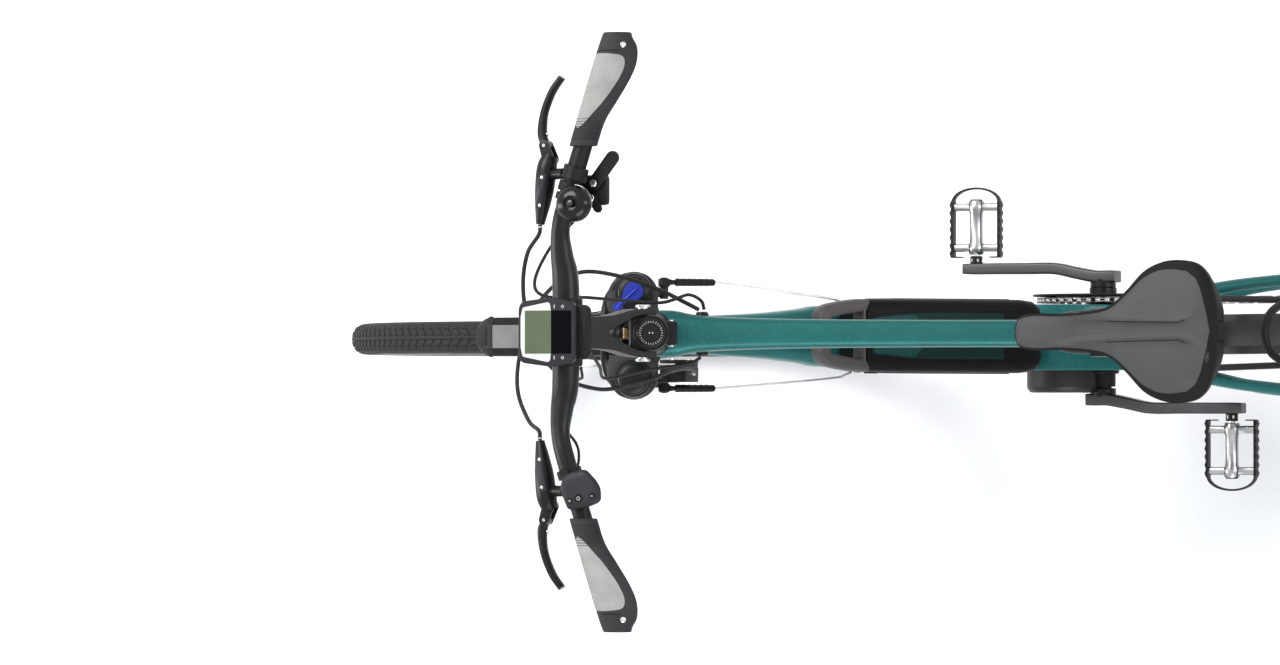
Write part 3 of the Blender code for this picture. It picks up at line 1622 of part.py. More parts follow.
def saddle_padding():
    rings = []
    for behind, half, top, crown in SADDLE_LINES:
        dip = 0.0045 if behind > 0.80 else 0.0025
        right = [
            (0.0, top - dip),
            (half * 0.16, top - dip * 0.6),
            (half * 0.32, top),
            (half * 0.62, top - crown * 0.25),
            (half * 0.88, top - crown),
            (half, top - crown - 0.007),
            (half * 0.985, top - crown - 0.013),
            (half * 0.90, top - PAD_H + 0.001),
            (half * 0.45, top - PAD_H + 0.001),
        ]
        ring = [spot(behind, -y, z) for y, z in right]
        ring += [spot(behind, 0.0, top - PAD_H + 0.001)]
        ring += [spot(behind, y, z) for y, z in reversed(right[1:])]
        rings.append(ring)
    return skin("saddle_padding", rings, COVER)


def saddle_shell():
    rings = []
    for behind, half, top, _ in SADDLE_LINES:
        over = top - PAD_H + 0.001 - GAP
        wide = half * 0.93
        right = [(0.0, over), (wide, over), (wide * 0.96, over - SHELL_T * 0.7), (wide * 0.5, over - SHELL_T)]
        ring = [spot(behind, -y, z) for y, z in right]
        ring += [spot(behind, 0.0, over - SHELL_T)]
        ring += [spot(behind, y, z) for y, z in reversed(right[1:])]
        rings.append(ring)
    shell = skin("saddle_shell", rings, BLACK)
    sockets = [
        slab("nose_socket", spot(0.758, -0.014, 0.9000), spot(0.738, 0.014, 0.9120), BLACK),
        slab("socket", spot(0.946, 0.030, 0.9070), spot(0.926, 0.046, 0.9200), BLACK),
        slab("socket", spot(0.946, -0.046, 0.9070), spot(0.926, -0.030, 0.9200), BLACK),
    ]
    return fuse("saddle_shell", [shell] + sockets + [saddle_rails()])


saddle_padding()
saddle_shell()

# Stem

DIAL_LOW = STEM_LOW + 0.051
DIAL_R = 0.0173
PIVOT_R = 0.006
PRONG_IN = 0.0255
PRONG_OUT = 0.0350
STEM_W = 0.048
STEM_DEPTH = 0.024

PIVOT = steer(PIVOT_AT, PIVOT_AHEAD)
BAR_CENTRE = PIVOT + Vector((BAR_AHEAD, 0.0, BAR_UP))
STEM_DIR = (BAR_CENTRE - PIVOT).normalized()
STEM_L = (BAR_CENTRE - PIVOT).length


def around(radius):
    """The radius of a faceted bore that clears a bar of the given radius."""
    return radius / COS(math.pi / BAND_SIDES) + GAP


def stem_base():
    pieces = [
        rod("stem_base", steer(STEM_LOW), steer(DIAL_LOW), 0.0215, BLACK, 12),
        block(
            "cheeks",
            steer(PIVOT_AT, PIVOT_AHEAD),
            (0.032, 2 * (PRONG_IN - GAP), 0.026),
            BLACK,
            0.003,
            STEER_FWD,
            STEER_UP,
        ),
        rod("dial", steer(DIAL_LOW - 0.001), steer(DIAL_LOW + 0.0075), DIAL_R, BLACK, 14),
        block("rear_clamp", steer(STEM_LOW + 0.0195, -0.030), (0.022, 0.031, 0.032), BLACK, 0.002, STEER_FWD, STEER_UP),
        rod("pin", PIVOT - (PRONG_OUT + 0.001) * Y, PIVOT + (PRONG_OUT + 0.001) * Y, PIVOT_R, BLACK, 8),
    ]
    for hand in (1, -1):
        head = PIVOT + (PRONG_OUT + GAP) * hand * Y
        pieces.append(rod("pin_head", head, head + 0.003 * hand * Y, 0.0090, BLACK, 8))
    base = fuse("stem_base", pieces)
    bore = rod("bore", steer(STEM_LOW - 0.01), steer(STEERER_TOP + 0.0005), STEERER_R + GAP, BLACK, 12)
    return cut(base, bore)


def stem_arm():
    thick = STEM_DIR.cross(Y).normalized()
    half_outline = [
        (-0.012, PRONG_OUT),
        (0.020, PRONG_OUT),
        (0.074, 0.0200),
        (STEM_L - 0.018, 0.0180),
        (STEM_L - 0.010, STEM_W / 2),
        (STEM_L + 0.010, STEM_W / 2),
    ]
    inner = [(0.066, 0.0030), (0.018, PRONG_IN), (-0.012, PRONG_IN)]
    outline = half_outline + [(a, -b) for a, b in reversed(half_outline)]
    outline += [(a, -b) for a, b in reversed(inner)] + inner
    arm = plate(
        "stem_arm", outline, PIVOT - thick * STEM_DEPTH / 2, STEM_DIR, Y, STEM_DEPTH, BLACK, 0.0025
    )
    clamp = rod(
        "clamp", BAR_CENTRE - STEM_W / 2 * Y, BAR_CENTRE + STEM_W / 2 * Y, BAR_R + 0.0055, BLACK, 12
    )
    whole = fuse("stem_arm", [arm, clamp])
    bar_bore = rod("bore", BAR_CENTRE - 0.05 * Y, BAR_CENTRE + 0.05 * Y, around(BAR_R), BLACK, BAND_SIDES)
    pin_bore = rod("bore", PIVOT - 0.05 * Y, PIVOT + 0.05 * Y, (PIVOT_R + GAP) / COS(math.pi / 8), BLACK, 8)
    return cut(whole, bar_bore, pin_bore)


stem_base()
stem_arm()


def headlight():
    back = steer(AXLE_TO_CROWN + 0.0039, 0.034)
    profile = [
        (0.0, 0.0),
        (0.0120, 0.0),
        (0.0165, 0.008),
        (0.0170, 0.030),
        (0.0145, 0.034),
        (0.0, 0.034),
    ]
    lamp = turned("headlight", profile, back, X, BLACK, 16)
    arm_at = steer(AXLE_TO_CROWN - 0.0096, 0.0328)
    arm = block("arm", arm_at, (0.0154, 0.012, 0.026), BLACK, 0.0, STEER_FWD, STEER_UP)
    return fuse("headlight", [lamp, arm])


headlight()

# Handlebar and grips

BAR_LINE = [
    (0.0, 0.0, 0.0, BAR_R),
    (0.055, 0.0, 0.0, BAR_R),
    (0.090, 0.003, 0.004, 0.0135),
    (0.120, 0.003, 0.009, BAR_END_R),
    (0.152, -0.0055, 0.012, BAR_END_R),
    (0.352, -0.0680, 0.010, BAR_END_R),
]


def bar_at(side):
    """The middle of the handlebar at a distance to the side, left positive."""
    reach = abs(side)
    for here, there in zip(BAR_LINE, BAR_LINE[1:]):
        if reach <= there[0]:
            break
    part = (reach - here[0]) / (there[0] - here[0])
    ahead = here[1] + part * (there[1] - here[1])
    up = here[2] + part * (there[2] - here[2])
    return BAR_CENTRE + Vector((ahead, side, up))


def handlebar():
    half = [(side, radius) for side, _, _, radius in BAR_LINE[1:-1]] + [(BAR_STUB, BAR_END_R)]
    sides = [(-side, radius) for side, radius in reversed(half)] + half
    path = [bar_at(side) for side, _ in sides]
    return tube("handlebar", path, [radius for _, radius in sides], ANODISED, 12, X)


handlebar()

WING = [
    (0.2190, 0.0175, 0.0165),
    (0.2220, 0.0165, 0.0165),
    (0.2480, 0.0180, 0.0165),
    (0.2720, 0.0265, 0.0165),
    (0.2960, 0.0345, 0.0165),
    (0.3160, 0.0370, 0.0165),
    (0.3340, 0.0320, 0.0165),
    (0.3460, 0.0220, 0.0160),
    (0.3520, 0.0180, 0.0150),
]


def grip(name, hand):
    rings = []
    for side, wing, round_r in WING:
        here = bar_at(min(side, 0.352) * hand)
        ring = []
        for i in range(GRIP_SIDES):
            angle = 2 * math.pi * i / GRIP_SIDES
            ahead, up = COS(angle), SIN(angle)
            if ahead < 0.0:
                slim = 1.0 - 0.45 * (wing - round_r) / 0.02 * ahead * ahead
                ring.append(here + wing * ahead * X + round_r * up * slim * Z)
            else:
                ring.append(here + round_r * ahead * X + round_r * up * Z)
        rings.append(ring)
    body = skin(name, rings, RUBBER)
    bore = [bar_at(0.21 * hand), bar_at(0.352 * hand) * 1.05 - bar_at(0.21 * hand) * 0.05]
    return cut(body, tube("bore", bore, around(BAR_END_R), RUBBER, BAND_SIDES, X))


grip("grip_left", 1)
grip("grip_right", -1)


def bar_band(name, side, width, outer, material):
    """A clamp band round the thin part of the bar."""
    hand = math.copysign(1.0, side)
    near, far = bar_at(side - width / 2 * hand), bar_at(side + width / 2 * hand)
    return ring_of(name, near, far, outer, around(BAR_END_R), material, BAND_SIDES)


# Brake levers

BRAKE_BAND = 0.187
LEVER_PIVOT = (0.1920, 0.2212, 1.0900)
LEVER_PIN_R = 0.0022
LEVER_EYE = 0.0056


def brake_master(name, hand):
    stations = [
        (0.1985, 0.2090, 1.0920, 0.0095),
        (0.1945, 0.1950, 1.0940, 0.0120),
        (0.1915, 0.1700, 1.0940, 0.0115),
        (0.1885, 0.1500, 1.0930, 0.0090),
        (0.1850, 0.1280, 1.0920, 0.0055),
    ]
    path = [spot(x, y * hand, z) for x, y, z, _ in stations]
    pieces = [tube(name, path, [r for _, _, _, r in stations], BLACK, 8, Z)]
    ring = bar_band("band", BRAKE_BAND * hand, 0.016, 0.0150, BLACK)
    bar = bar_at(BRAKE_BAND * hand)
    neck = [spot(0.1990, BRAKE_BAND * hand, 1.0945), bar + Vector((0.0138, 0.0, -0.0020))]
    pieces.append(tube("neck", neck, 0.0068, BLACK, 8))
    pieces.append(ring)
    pivot = spot(LEVER_PIVOT[0], LEVER_PIVOT[1] * hand, LEVER_PIVOT[2])
    tongue = lobe(0.0062, (-0.0055, -0.0160 * hand), 0.0075, 6)
    for low in (LEVER_EYE + GAP, -LEVER_EYE - GAP - 0.0026):
        pieces.append(flat_plate("tongue", tongue, pivot + low * Z, 0.0026, BLACK))
    reach = (LEVER_EYE + 0.0022) * Z
    pieces.append(rod("pin", pivot - reach, pivot + reach, LEVER_PIN_R, STEEL, 8))
    return fuse(name, pieces)


def brake_lever(name, hand):
    stations = [
        (0.1920, 0.2212, 1.0900, 0.0050, 0.0054),
        (0.1870, 0.2350, 1.0895, 0.0058, 0.0054),
        (0.1890, 0.2600, 1.0880, 0.0046, 0.0060),
        (0.1985, 0.2850, 1.0865, 0.0042, 0.0066),
        (0.2105, 0.3020, 1.0860, 0.0040, 0.0060),
    ]
    path = [spot(x, y * hand, z) for x, y, z, _, _ in stations]
    sections = [oval(wide, high, 8, 0.75) for _, _, _, wide, high in stations]
    pivot = spot(LEVER_PIVOT[0], LEVER_PIVOT[1] * hand, LEVER_PIVOT[2])
    blade = sweep(name, path, sections, X, BLACK)
    eye = rod("eye", pivot - LEVER_EYE * Z, pivot + LEVER_EYE * Z, 0.0062, BLACK, 10)
    whole = fuse(name, [blade, eye])
    return cut(whole, rod("bore", pivot - 0.02 * Z, pivot + 0.02 * Z, LEVER_PIN_R + RUN, BLACK, 8))


for lever_side, lever_hand in (("left", 1), ("right", -1)):
    brake_master("brake_master_" + lever_side, lever_hand)
    brake_lever("brake_lever_" + lever_side, lever_hand)

# Shifter

SHIFT_BAND = 0.1705
PADDLE_PIVOT = (0.2533, 0.1757)
RELEASE_PIVOT = (0.2500, 0.1585)
SHIFT_TOP = 1.0880
SHIFT_PIN_R = 0.002
THUMB_T = 0.0048


def shifter_body():
    low = spot(0.2680, -0.1860, SHIFT_TOP - 0.014)
    high = spot(0.2320, -0.1500, SHIFT_TOP)
    band = bar_at(-SHIFT_BAND)
    neck_low = Vector((band.x + 0.001, band.y, level(SHIFT_TOP - 0.004)))
    pieces = [
        slab("shifter_body", low, high, BLACK, 0.003),
        bar_band("band", -SHIFT_BAND, 0.011, 0.0150, BLACK),
        rod("neck", neck_low, neck_low + 0.0145 * Z, 0.0058, BLACK, 8),
    ]
    for x, y in (PADDLE_PIVOT, RELEASE_PIVOT):
        foot = spot(x, -y, SHIFT_TOP - 0.004)
        top = spot(x, -y, SHIFT_TOP + GAP + THUMB_T + GAP)
        pieces.append(rod("pin", foot, top + 0.001 * Z, SHIFT_PIN_R, STEEL, 8))
        pieces.append(rod("screw", top, top + 0.0018 * Z, 0.0042, STEEL, 8))
    inlet, outlet = spot(0.2400, -0.1520, SHIFT_TOP - 0.007), spot(0.2330, -0.1440, SHIFT_TOP - 0.007)
    pieces.append(rod("outlet", inlet, outlet, 0.0040, BLACK, 8))
    return fuse("shifter_body", pieces)


def thumb_lever(name, pivot, tip, big, small):
    """A flat lever on a pin; tip is from the pin as (ahead, left)."""
    at = spot(pivot[0], -pivot[1], SHIFT_TOP + GAP)
    lever = flat_plate(name, lobe(big, tip, small, 8), at, THUMB_T, BLACK, 0.001)
    return cut(lever, rod("bore", at - 0.01 * Z, at + 0.02 * Z, SHIFT_PIN_R + RUN, BLACK, 8))


shifter_body()
thumb_lever("shifter_paddle", PADDLE_PIVOT, (-0.0233, -0.0302), 0.0080, 0.0080)
thumb_lever("shifter_release", RELEASE_PIVOT, (-0.0080, 0.0125), 0.0055, 0.0050)

# Bell

BELL_BAND = 0.1585
BELL_R = 0.0220
BELL_LOW = 1.1265
KNOB_R = 0.0045


def bell():
    band = bar_at(-BELL_BAND)
    middle = spot(0.2430, -0.1510, 0.0)
    post_low = band + 0.0125 * Z
    pieces = [
        bar_band("bell_body", -BELL_BAND, 0.008, 0.0148, BLACK),
        rod("post", post_low, Vector((post_low.x, post_low.y, level(BELL_LOW + 0.002))), 0.0060, BLACK, 8),
    ]
    dome = [
        (0.0, BELL_LOW),
        (BELL_R - 0.001, BELL_LOW),
        (BELL_R, BELL_LOW + 0.004),
        (BELL_R - 0.0025, BELL_LOW + 0.0105),
        (BELL_R - 0.0085, BELL_LOW + 0.0150),
        (0.0090, BELL_LOW + 0.0160),
        (0.0080, BELL_LOW + 0.0130),
        (0.0, BELL_LOW + 0.0130),
    ]
    pieces.append(turned("dome", dome, middle, Z, BLACK, 14))
    whole = fuse("bell_body", pieces)
    knob_low = middle + (BELL_LOW + 0.0085) * Z
    cut(whole, rod("pocket", knob_low - 0.0040 * Z, knob_low + 0.02 * Z, KNOB_R + GAP, BLACK, 12))
    return rod("bell_knob", knob_low, knob_low + 0.0090 * Z, KNOB_R, STEEL, 12)


bell()

# Display

DISPLAY_TILT = math.radians(8.0)
DISPLAY_ALONG = Vector((COS(DISPLAY_TILT), 0.0, SIN(DISPLAY_TILT)))
DISPLAY_UP = Vector((-SIN(DISPLAY_TILT), 0.0, COS(DISPLAY_TILT)))
DISPLAY_L = 0.075
DISPLAY_W = 0.084
DISPLAY_T = 0.012
DISPLAY_AT = spot(0.2115, 0.0, 1.1360)
HOLDER_BAND = 0.0350


def rounded(length, width, corner):
    a, b = length / 2, width / 2
    return [
        (-a + corner, -b),
        (a - corner, -b),
        (a, -b + corner),
        (a, b - corner),
        (a - corner, b),
        (-a + corner, b),
        (-a, b - corner),
        (-a, -b + corner),
    ]


def display():
    plate(
        "display_unit",
        rounded(DISPLAY_L, DISPLAY_W, 0.012),
        DISPLAY_AT - DISPLAY_T / 2 * DISPLAY_UP,
        DISPLAY_ALONG,
        Y,
        DISPLAY_T,
        BLACK,
        0.002,
    )
    under = DISPLAY_AT - (DISPLAY_T / 2 + GAP + 0.005) * DISPLAY_UP - 0.008 * DISPLAY_ALONG
    pieces = [
        plate("display_holder", rounded(0.078, 0.070, 0.010), under, DISPLAY_ALONG, Y, 0.005, BLACK, 0.001)
    ]
    for hand in (1, -1):
        near, far = bar_at((HOLDER_BAND - 0.005) * hand), bar_at((HOLDER_BAND + 0.005) * hand)
        pieces.append(ring_of("band", near, far, 0.0200, around(BAR_R), BLACK, BAND_SIDES))
        post = bar_at(HOLDER_BAND * hand)
        pieces.append(
            block("post", post + Vector((0.0, 0.0, 0.0225)), (0.014, 0.009, 0.010), BLACK)
        )
    return fuse("display_holder", pieces)


display()

# Remote

REMOTE_BAND = 0.1660
REMOTE_LOW = 1.1285
REMOTE_OUTLINE = [
    (0.0244, -0.0205),
    (0.0140, -0.0251),
    (-0.0037, -0.0285),
    (-0.0171, -0.0148),
    (-0.0220, -0.0057),
    (-0.0227, 0.0099),
    (-0.0082, 0.0155),
    (0.0183, 0.0203),
    (0.0288, -0.0052),
]
REMOTE_AT = (0.2557, 0.1890)
REMOTE_TOP = REMOTE_LOW + 0.0110
REMOTE_KEYS = [
    ("remote_button", (0.0030, 0.0060), 0.0042),
    ("remote_plus", (0.0140, 0.0090), 0.0028),
    ("remote_minus", (-0.0140, 0.0030), 0.0028),
]
KEY_TRAVEL = 0.0010
REMOTE_LEAD = [
    (0.2330, 0.1640, 1.0975),
    (0.2320, 0.1480, 1.0860),
    (0.2246, 0.1300, 1.0780),
    (0.1950, 0.1050, 1.0600),
    (0.1833, 0.0882, 1.0500),
    (0.1908, 0.0727, 1.0400),
    (0.2165, 0.0560, 1.0500),
    (0.2330, 0.0530, 1.0780),
    (0.2376, 0.0418, 1.0933),
]


def remote():
    base = spot(REMOTE_AT[0], REMOTE_AT[1], 0.0)
    rings = []
    for scale, z in ((0.96, REMOTE_LOW), (1.0, REMOTE_LOW + 0.005), (0.86, REMOTE_TOP)):
        rings.append([base + a * scale * X + b * scale * Y + z * Z for a, b in REMOTE_OUTLINE])
    band = bar_at(REMOTE_BAND)
    pieces = [
        skin("remote_body", rings, GREY),
        bar_band("band", REMOTE_BAND, 0.010, 0.0148, GREY),
        rod("post", band + 0.0125 * Z, Vector((band.x, band.y, level(REMOTE_LOW + 0.002))), 0.0060, GREY, 8),
    ]
    lead = tube("lead", smooth([spot(*point) for point in REMOTE_LEAD], 2), LEAD_R, GREY, 5, Z)
    whole = fuse("remote_body", pieces + [lead])
    for name, place, radius in REMOTE_KEYS:
        at = base + place[0] * X + place[1] * Y + (REMOTE_TOP - 0.0020) * Z
        cut(whole, rod("pocket", at - (KEY_TRAVEL + 0.0003) * Z, at + 0.01 * Z, radius + GAP, GREY, 10))
        rod(name, at, at + 0.0032 * Z, radius, GREY, 10)


remote()

# Hoses and leads

HOSE_R = 0.0025


def hose(name, points, radius):
    return tube(name, smooth([spot(*point) for point in points], 2), radius, RUBBER, 5, Z)


hose(
    "hose_front",
    [
        (0.1848, -0.1273, 1.0919),
        (0.1822, -0.1160, 1.0890),
        (0.1560, -0.0950, 1.0600),
        (0.1360, -0.0600, 1.0250),
        (0.1270, -0.0200, 0.9900),
        (0.1300, 0.0250, 0.9550),
        (0.1500, 0.0550, 0.9150),
        (0.1680, 0.0660, 0.8650),
        (0.1800, 0.0650, 0.8280),
        (0.2000, 0.0610, 0.8200),
        (0.2160, 0.0540, 0.8080),
        (0.2200, 0.0470, 0.7700),
        (0.2120, 0.0430, 0.7200),
        (0.1755, 0.0400, 0.5800),
        (0.1350, 0.0410, 0.4400),
        (0.1120, 0.0430, 0.3760),
    ],
    HOSE_R,
)
hose(
    "hose_rear",
    [
        (0.1848, 0.1273, 1.0919),
        (0.1822, 0.1160, 1.0890),
        (0.1560, 0.1050, 1.0550),
        (0.1290, 0.0740, 1.0220),
        (0.1150, 0.0400, 0.9900),
        (0.1150, 0.0050, 0.9680),
        (0.1300, -0.0380, 0.9580),
        (0.1560, -0.0650, 0.9530),
        (0.1795, -0.0741, 0.9500),
        (0.2015, -0.0742, 0.9400),
        (0.2357, -0.0659, 0.9250),
        (0.2687, -0.0528, 0.9120),
        (0.3000, -0.0370, 0.9060),
        (0.3150, -0.0292, 0.9040),
    ],
    HOSE_R,
)
hose(
    "shift_cable",
    [
        (0.2326, -0.1436, 1.0810),
        (0.2200, -0.1300, 1.0770),
        (0.1862, -0.1000, 1.0650),
        (0.1550, -0.0620, 1.0350),
        (0.1500, -0.0450, 0.9900),
        (0.1850, -0.0440, 0.9450),
        (0.2300, -0.0400, 0.9300),
        (0.2711, -0.0375, 0.9230),
        (0.2900, -0.0415, 0.9200),
        (0.3059, -0.0470, 0.9130),
        (0.3165, -0.0400, 0.9000),
        (0.3190, -0.0295, 0.8960),
    ],
    LEAD_R,
)
hose(
    "motor_lead",
    [
        (0.2500, 0.0200, 1.1120),
        (0.2520, 0.0240, 1.1000),
        (0.2440, 0.0400, 1.0500),
        (0.2223, 0.0535, 0.9800),
        (0.2330, 0.0500, 0.9400),
        (0.2700, 0.0410, 0.9150),
        (0.3020, 0.0360, 0.9030),
        (0.3160, 0.0283, 0.9000),
    ],
    LEAD_R,
)

# Joint axes: the origin of each moving piece is put on its own axis


def set_origin(name, point):
    thing = bpy.data.objects[name]
    thing.data.transform(Matrix.Translation(-point))
    thing.location = point


RIGHT_EYE = BB + CRANK * X
LEFT_EYE = BB - CRANK * X
AXES = {
    "front_tyre": FRONT_AXLE,
    "front_wheel": FRONT_AXLE,
    "front_rotor": FRONT_AXLE,
    "rear_tyre": REAR_AXLE,
    "rear_wheel": REAR_AXLE,
    "rear_rotor": REAR_AXLE,
    "cassette": REAR_AXLE,
    "crank_right": BB,
    "crank_left": BB,
    "chainring": BB,
    "pedal_right": RIGHT_EYE + (ARM_OUT + PEDAL_GAP) * -Y,
    "pedal_left": LEFT_EYE + (ARM_OUT + PEDAL_GAP) * Y,
    "derailleur_cage": GUIDE,
    "pulley_guide": GUIDE,
    "pulley_tension": TENSION,
    "fork_crown": steer(AXLE_TO_CROWN),
    "stem_base": steer(PIVOT_AT),
    "fork_lowers": steer(LOWER_TOP, LEG_AHEAD),
    "lockout_lever": steer(CAP_TOP, LEG_AHEAD, -LEG_Y),
    "stem_arm": PIVOT,
    "handlebar": PIVOT,
    "brake_lever_left": spot(LEVER_PIVOT[0], LEVER_PIVOT[1], LEVER_PIVOT[2]),
    "brake_lever_right": spot(LEVER_PIVOT[0], -LEVER_PIVOT[1], LEVER_PIVOT[2]),
    "shifter_paddle": spot(PADDLE_PIVOT[0], -PADDLE_PIVOT[1], SHIFT_TOP),
    "shifter_release": spot(RELEASE_PIVOT[0], -RELEASE_PIVOT[1], SHIFT_TOP),
    "kickstand_leg": KICK_AT,
    "battery_case": down(BATTERY_AT + BATTERY_L, BATTERY_LOW),
    "seatpost": seat(SEAT_TUBE),
}
for moving, axis_point in AXES.items():
    set_origin(moving, axis_point)
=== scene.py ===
# %% [markdown]
# # An electric trekking bike, seen from high above
# The CAD frame says where every solid lies and what moves. This notebook builds what the eye
# sees round it: turned, swept and bevelled pieces on the same measures, each of a real finish.
# Lengths are metres, +X is ahead, +Y the rider's left, +Z up, and the floor is z 0.

import math

import bmesh
import bpy
from mathutils import Matrix, Vector


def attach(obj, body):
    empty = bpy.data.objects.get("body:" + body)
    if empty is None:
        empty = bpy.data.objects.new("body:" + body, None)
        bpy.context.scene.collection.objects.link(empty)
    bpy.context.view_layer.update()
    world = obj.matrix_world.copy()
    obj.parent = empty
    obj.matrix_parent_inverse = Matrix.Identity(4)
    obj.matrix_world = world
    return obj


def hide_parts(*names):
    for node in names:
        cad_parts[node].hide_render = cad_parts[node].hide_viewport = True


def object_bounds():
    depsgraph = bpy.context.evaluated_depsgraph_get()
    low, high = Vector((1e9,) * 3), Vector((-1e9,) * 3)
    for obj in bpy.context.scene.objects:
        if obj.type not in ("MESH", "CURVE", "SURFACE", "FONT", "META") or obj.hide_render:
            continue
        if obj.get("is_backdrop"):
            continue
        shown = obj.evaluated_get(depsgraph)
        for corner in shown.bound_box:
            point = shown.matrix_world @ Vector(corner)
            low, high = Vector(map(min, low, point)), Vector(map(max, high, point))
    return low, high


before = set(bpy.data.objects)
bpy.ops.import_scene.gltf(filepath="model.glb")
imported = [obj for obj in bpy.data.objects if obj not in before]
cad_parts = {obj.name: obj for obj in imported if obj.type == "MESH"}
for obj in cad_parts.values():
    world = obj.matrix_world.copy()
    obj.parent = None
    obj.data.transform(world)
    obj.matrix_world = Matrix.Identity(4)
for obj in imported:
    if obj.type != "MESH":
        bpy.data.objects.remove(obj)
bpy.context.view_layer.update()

# %% [markdown]
# ## The bike's own directions
# A bike is drawn from its two axles and three slopes: the head, the seat tube and the down
# tube. Each has a pair of directions, so a piece can be placed along its tube and off it, as a
# frame builder's jig does, and no piece needs a world position of its own.

# %% Layout
X, Y, Z = Vector((1, 0, 0)), Vector((0, 1, 0)), Vector((0, 0, 1))
SIN, COS, PI = math.sin, math.cos, math.pi
TYRE_R, RIM_R, RIM_W, TYRE_W = 0.351, 0.3125, 0.025, 0.0405
HEAD, SEAT, DOWN = math.radians(69.6), math.radians(73.0), math.radians(51.5)
FRONT_X, WHEELBASE, FRONT_CENTRE = 0.55975, 1.105, 0.635
FRONT_AXLE = Vector((FRONT_X, 0, TYRE_R))
REAR_AXLE = Vector((FRONT_X - WHEELBASE, 0, TYRE_R))
BB = Vector((FRONT_X - FRONT_CENTRE, 0, 0.2825))
FORK_OFFSET, CROWN, DOWN_JOIN, STAY_TOP = 0.046, 0.4726, 0.506, 0.515
STEER_UP, STEER_FWD = Vector((-COS(HEAD), 0, SIN(HEAD))), Vector((SIN(HEAD), 0, COS(HEAD)))
DOWN_DIR, DOWN_UP = Vector((-COS(DOWN), 0, -SIN(DOWN))), Vector((-SIN(DOWN), 0, COS(DOWN)))
SEAT_DIR, SEAT_FWD = Vector((-COS(SEAT), 0, SIN(SEAT))), Vector((SIN(SEAT), 0, COS(SEAT)))


def steer(along, ahead=0.0, side=0.0):
    return FRONT_AXLE - FORK_OFFSET * STEER_FWD + along * STEER_UP + ahead * STEER_FWD + side * Y


def down(along, above=0.0, side=0.0):
    return steer(DOWN_JOIN) + along * DOWN_DIR + above * DOWN_UP + side * Y


def seat(along, ahead=0.0, side=0.0):
    return BB + along * SEAT_DIR + ahead * SEAT_FWD + side * Y


def spot(behind, side, z):
    """A point so far behind the front axle, at its height over the floor."""
    return Vector((FRONT_X - behind, side, z))


def on_wheel(axle, radius, degrees, side=0.0):
    """A point on a circle round an axle; 0 is straight ahead and 90 the top."""
    turn = math.radians(degrees)
    return axle + Vector((radius * COS(turn), side, radius * SIN(turn)))


def ray(turn):
    """The direction at an angle round the bike's axles, 0 ahead and a quarter turn up."""
    return Vector((COS(turn), 0, SIN(turn)))


def seat_stay(share):
    """The middle line of the seat stays, from the seat tube to the rear axle."""
    return seat(STAY_TOP).lerp(REAR_AXLE + Vector((0.020, 0, 0.040)), share)


print("wheelbase", WHEELBASE, "bottom bracket", BB, "crown", steer(CROWN))

# %% [markdown]
# ## Tools for shapes
# Three ways of making cover nearly all parts of a bike: turning on a lathe (hubs, caps, bolts),
# drawing or forming a tube along a line (frame, bars, hoses) and cutting a plate whose edges
# are broken (clamps, levers, dropouts). Each tool returns a closed bmesh; a piece joins several.

# %% Shape tools
TIP_R = 0.00004


def mesh_of(points, faces):
    work = bmesh.new()
    corners = [work.verts.new(point) for point in points]
    for face in faces:
        work.faces.new([corners[i] for i in face])
    bmesh.ops.recalc_face_normals(work, faces=work.faces)
    return work


def rings_to_mesh(rings, closed=False):
    """Skins rings of equal length; the ends are capped unless the row of rings is closed."""
    count, total = len(rings[0]), len(rings)
    faces = []
    for i in range(total if closed else total - 1):
        here, there = i * count, (i + 1) % total * count
        for j in range(count):
            k = (j + 1) % count
            faces.append((here + j, here + k, there + k, there + j))
    if not closed:
        faces += [tuple(range(count)), tuple(range((total - 1) * count, total * count))]
    return mesh_of([point for ring in rings for point in ring], faces)


def lathe(profile, centre, axis=Y, sides=64, loop=False):
    """Turns (radius, height) pairs round an axis. A loop joins its last ring to the first."""
    axis = axis.normalized()
    across = X if abs(axis.dot(Y)) > 0.99 else axis.orthogonal().normalized()
    third = axis.cross(across)
    turns = [2 * PI * i / sides for i in range(sides)]
    ways = [COS(turn) * across + SIN(turn) * third for turn in turns]
    rings = []
    for radius, height in profile:
        radius = max(radius, TIP_R)
        rings.append([centre + axis * height + radius * way for way in ways])
    return rings_to_mesh(rings, loop)


def curve(points, steps=8):
    """A smooth line through the given points."""
    points = [Vector(point) for point in points]
    ends = [2 * points[0] - points[1]] + points + [2 * points[-1] - points[-2]]
    out = []
    for i in range(1, len(ends) - 2):
        a, b, c, d = ends[i - 1 : i + 3]
        for step in range(steps):
            t = step / steps
            bend, twist = 2 * a - 5 * b + 4 * c - d, 3 * b - a - 3 * c + d
            out.append(0.5 * (2 * b + (c - a) * t + bend * t * t + twist * t * t * t))
    return out + [points[-1]]


def eased(values, steps):
    """Single values smoothed along a line as curve() smooths its points."""
    return [place.x for place in curve([Vector((value, 0, 0)) for value in values], steps)]


def oval(wide, high, sides=24, square=1.0):
    """A section; wide and high are its halves, and a square value under 1 fills its corners."""
    out = []
    for i in range(sides):
        a, b = COS(2 * PI * (i + 0.5) / sides), SIN(2 * PI * (i + 0.5) / sides)
        out.append((wide * math.copysign(abs(a) ** square, a), high * math.copysign(abs(b) ** square, b)))
    return out


def ovals(sizes, steps, sides=24, square=1.0):
    """Smoothed sections from rows of (half wide, half high)."""
    rows = curve([Vector((wide, high, 0.0)) for wide, high in sizes], steps)
    return [oval(size.x, size.y, sides, square) for size in rows]


def both_sides(half):
    """A whole outline from its left half."""
    return half + [(a, -b) for a, b in reversed(half)]


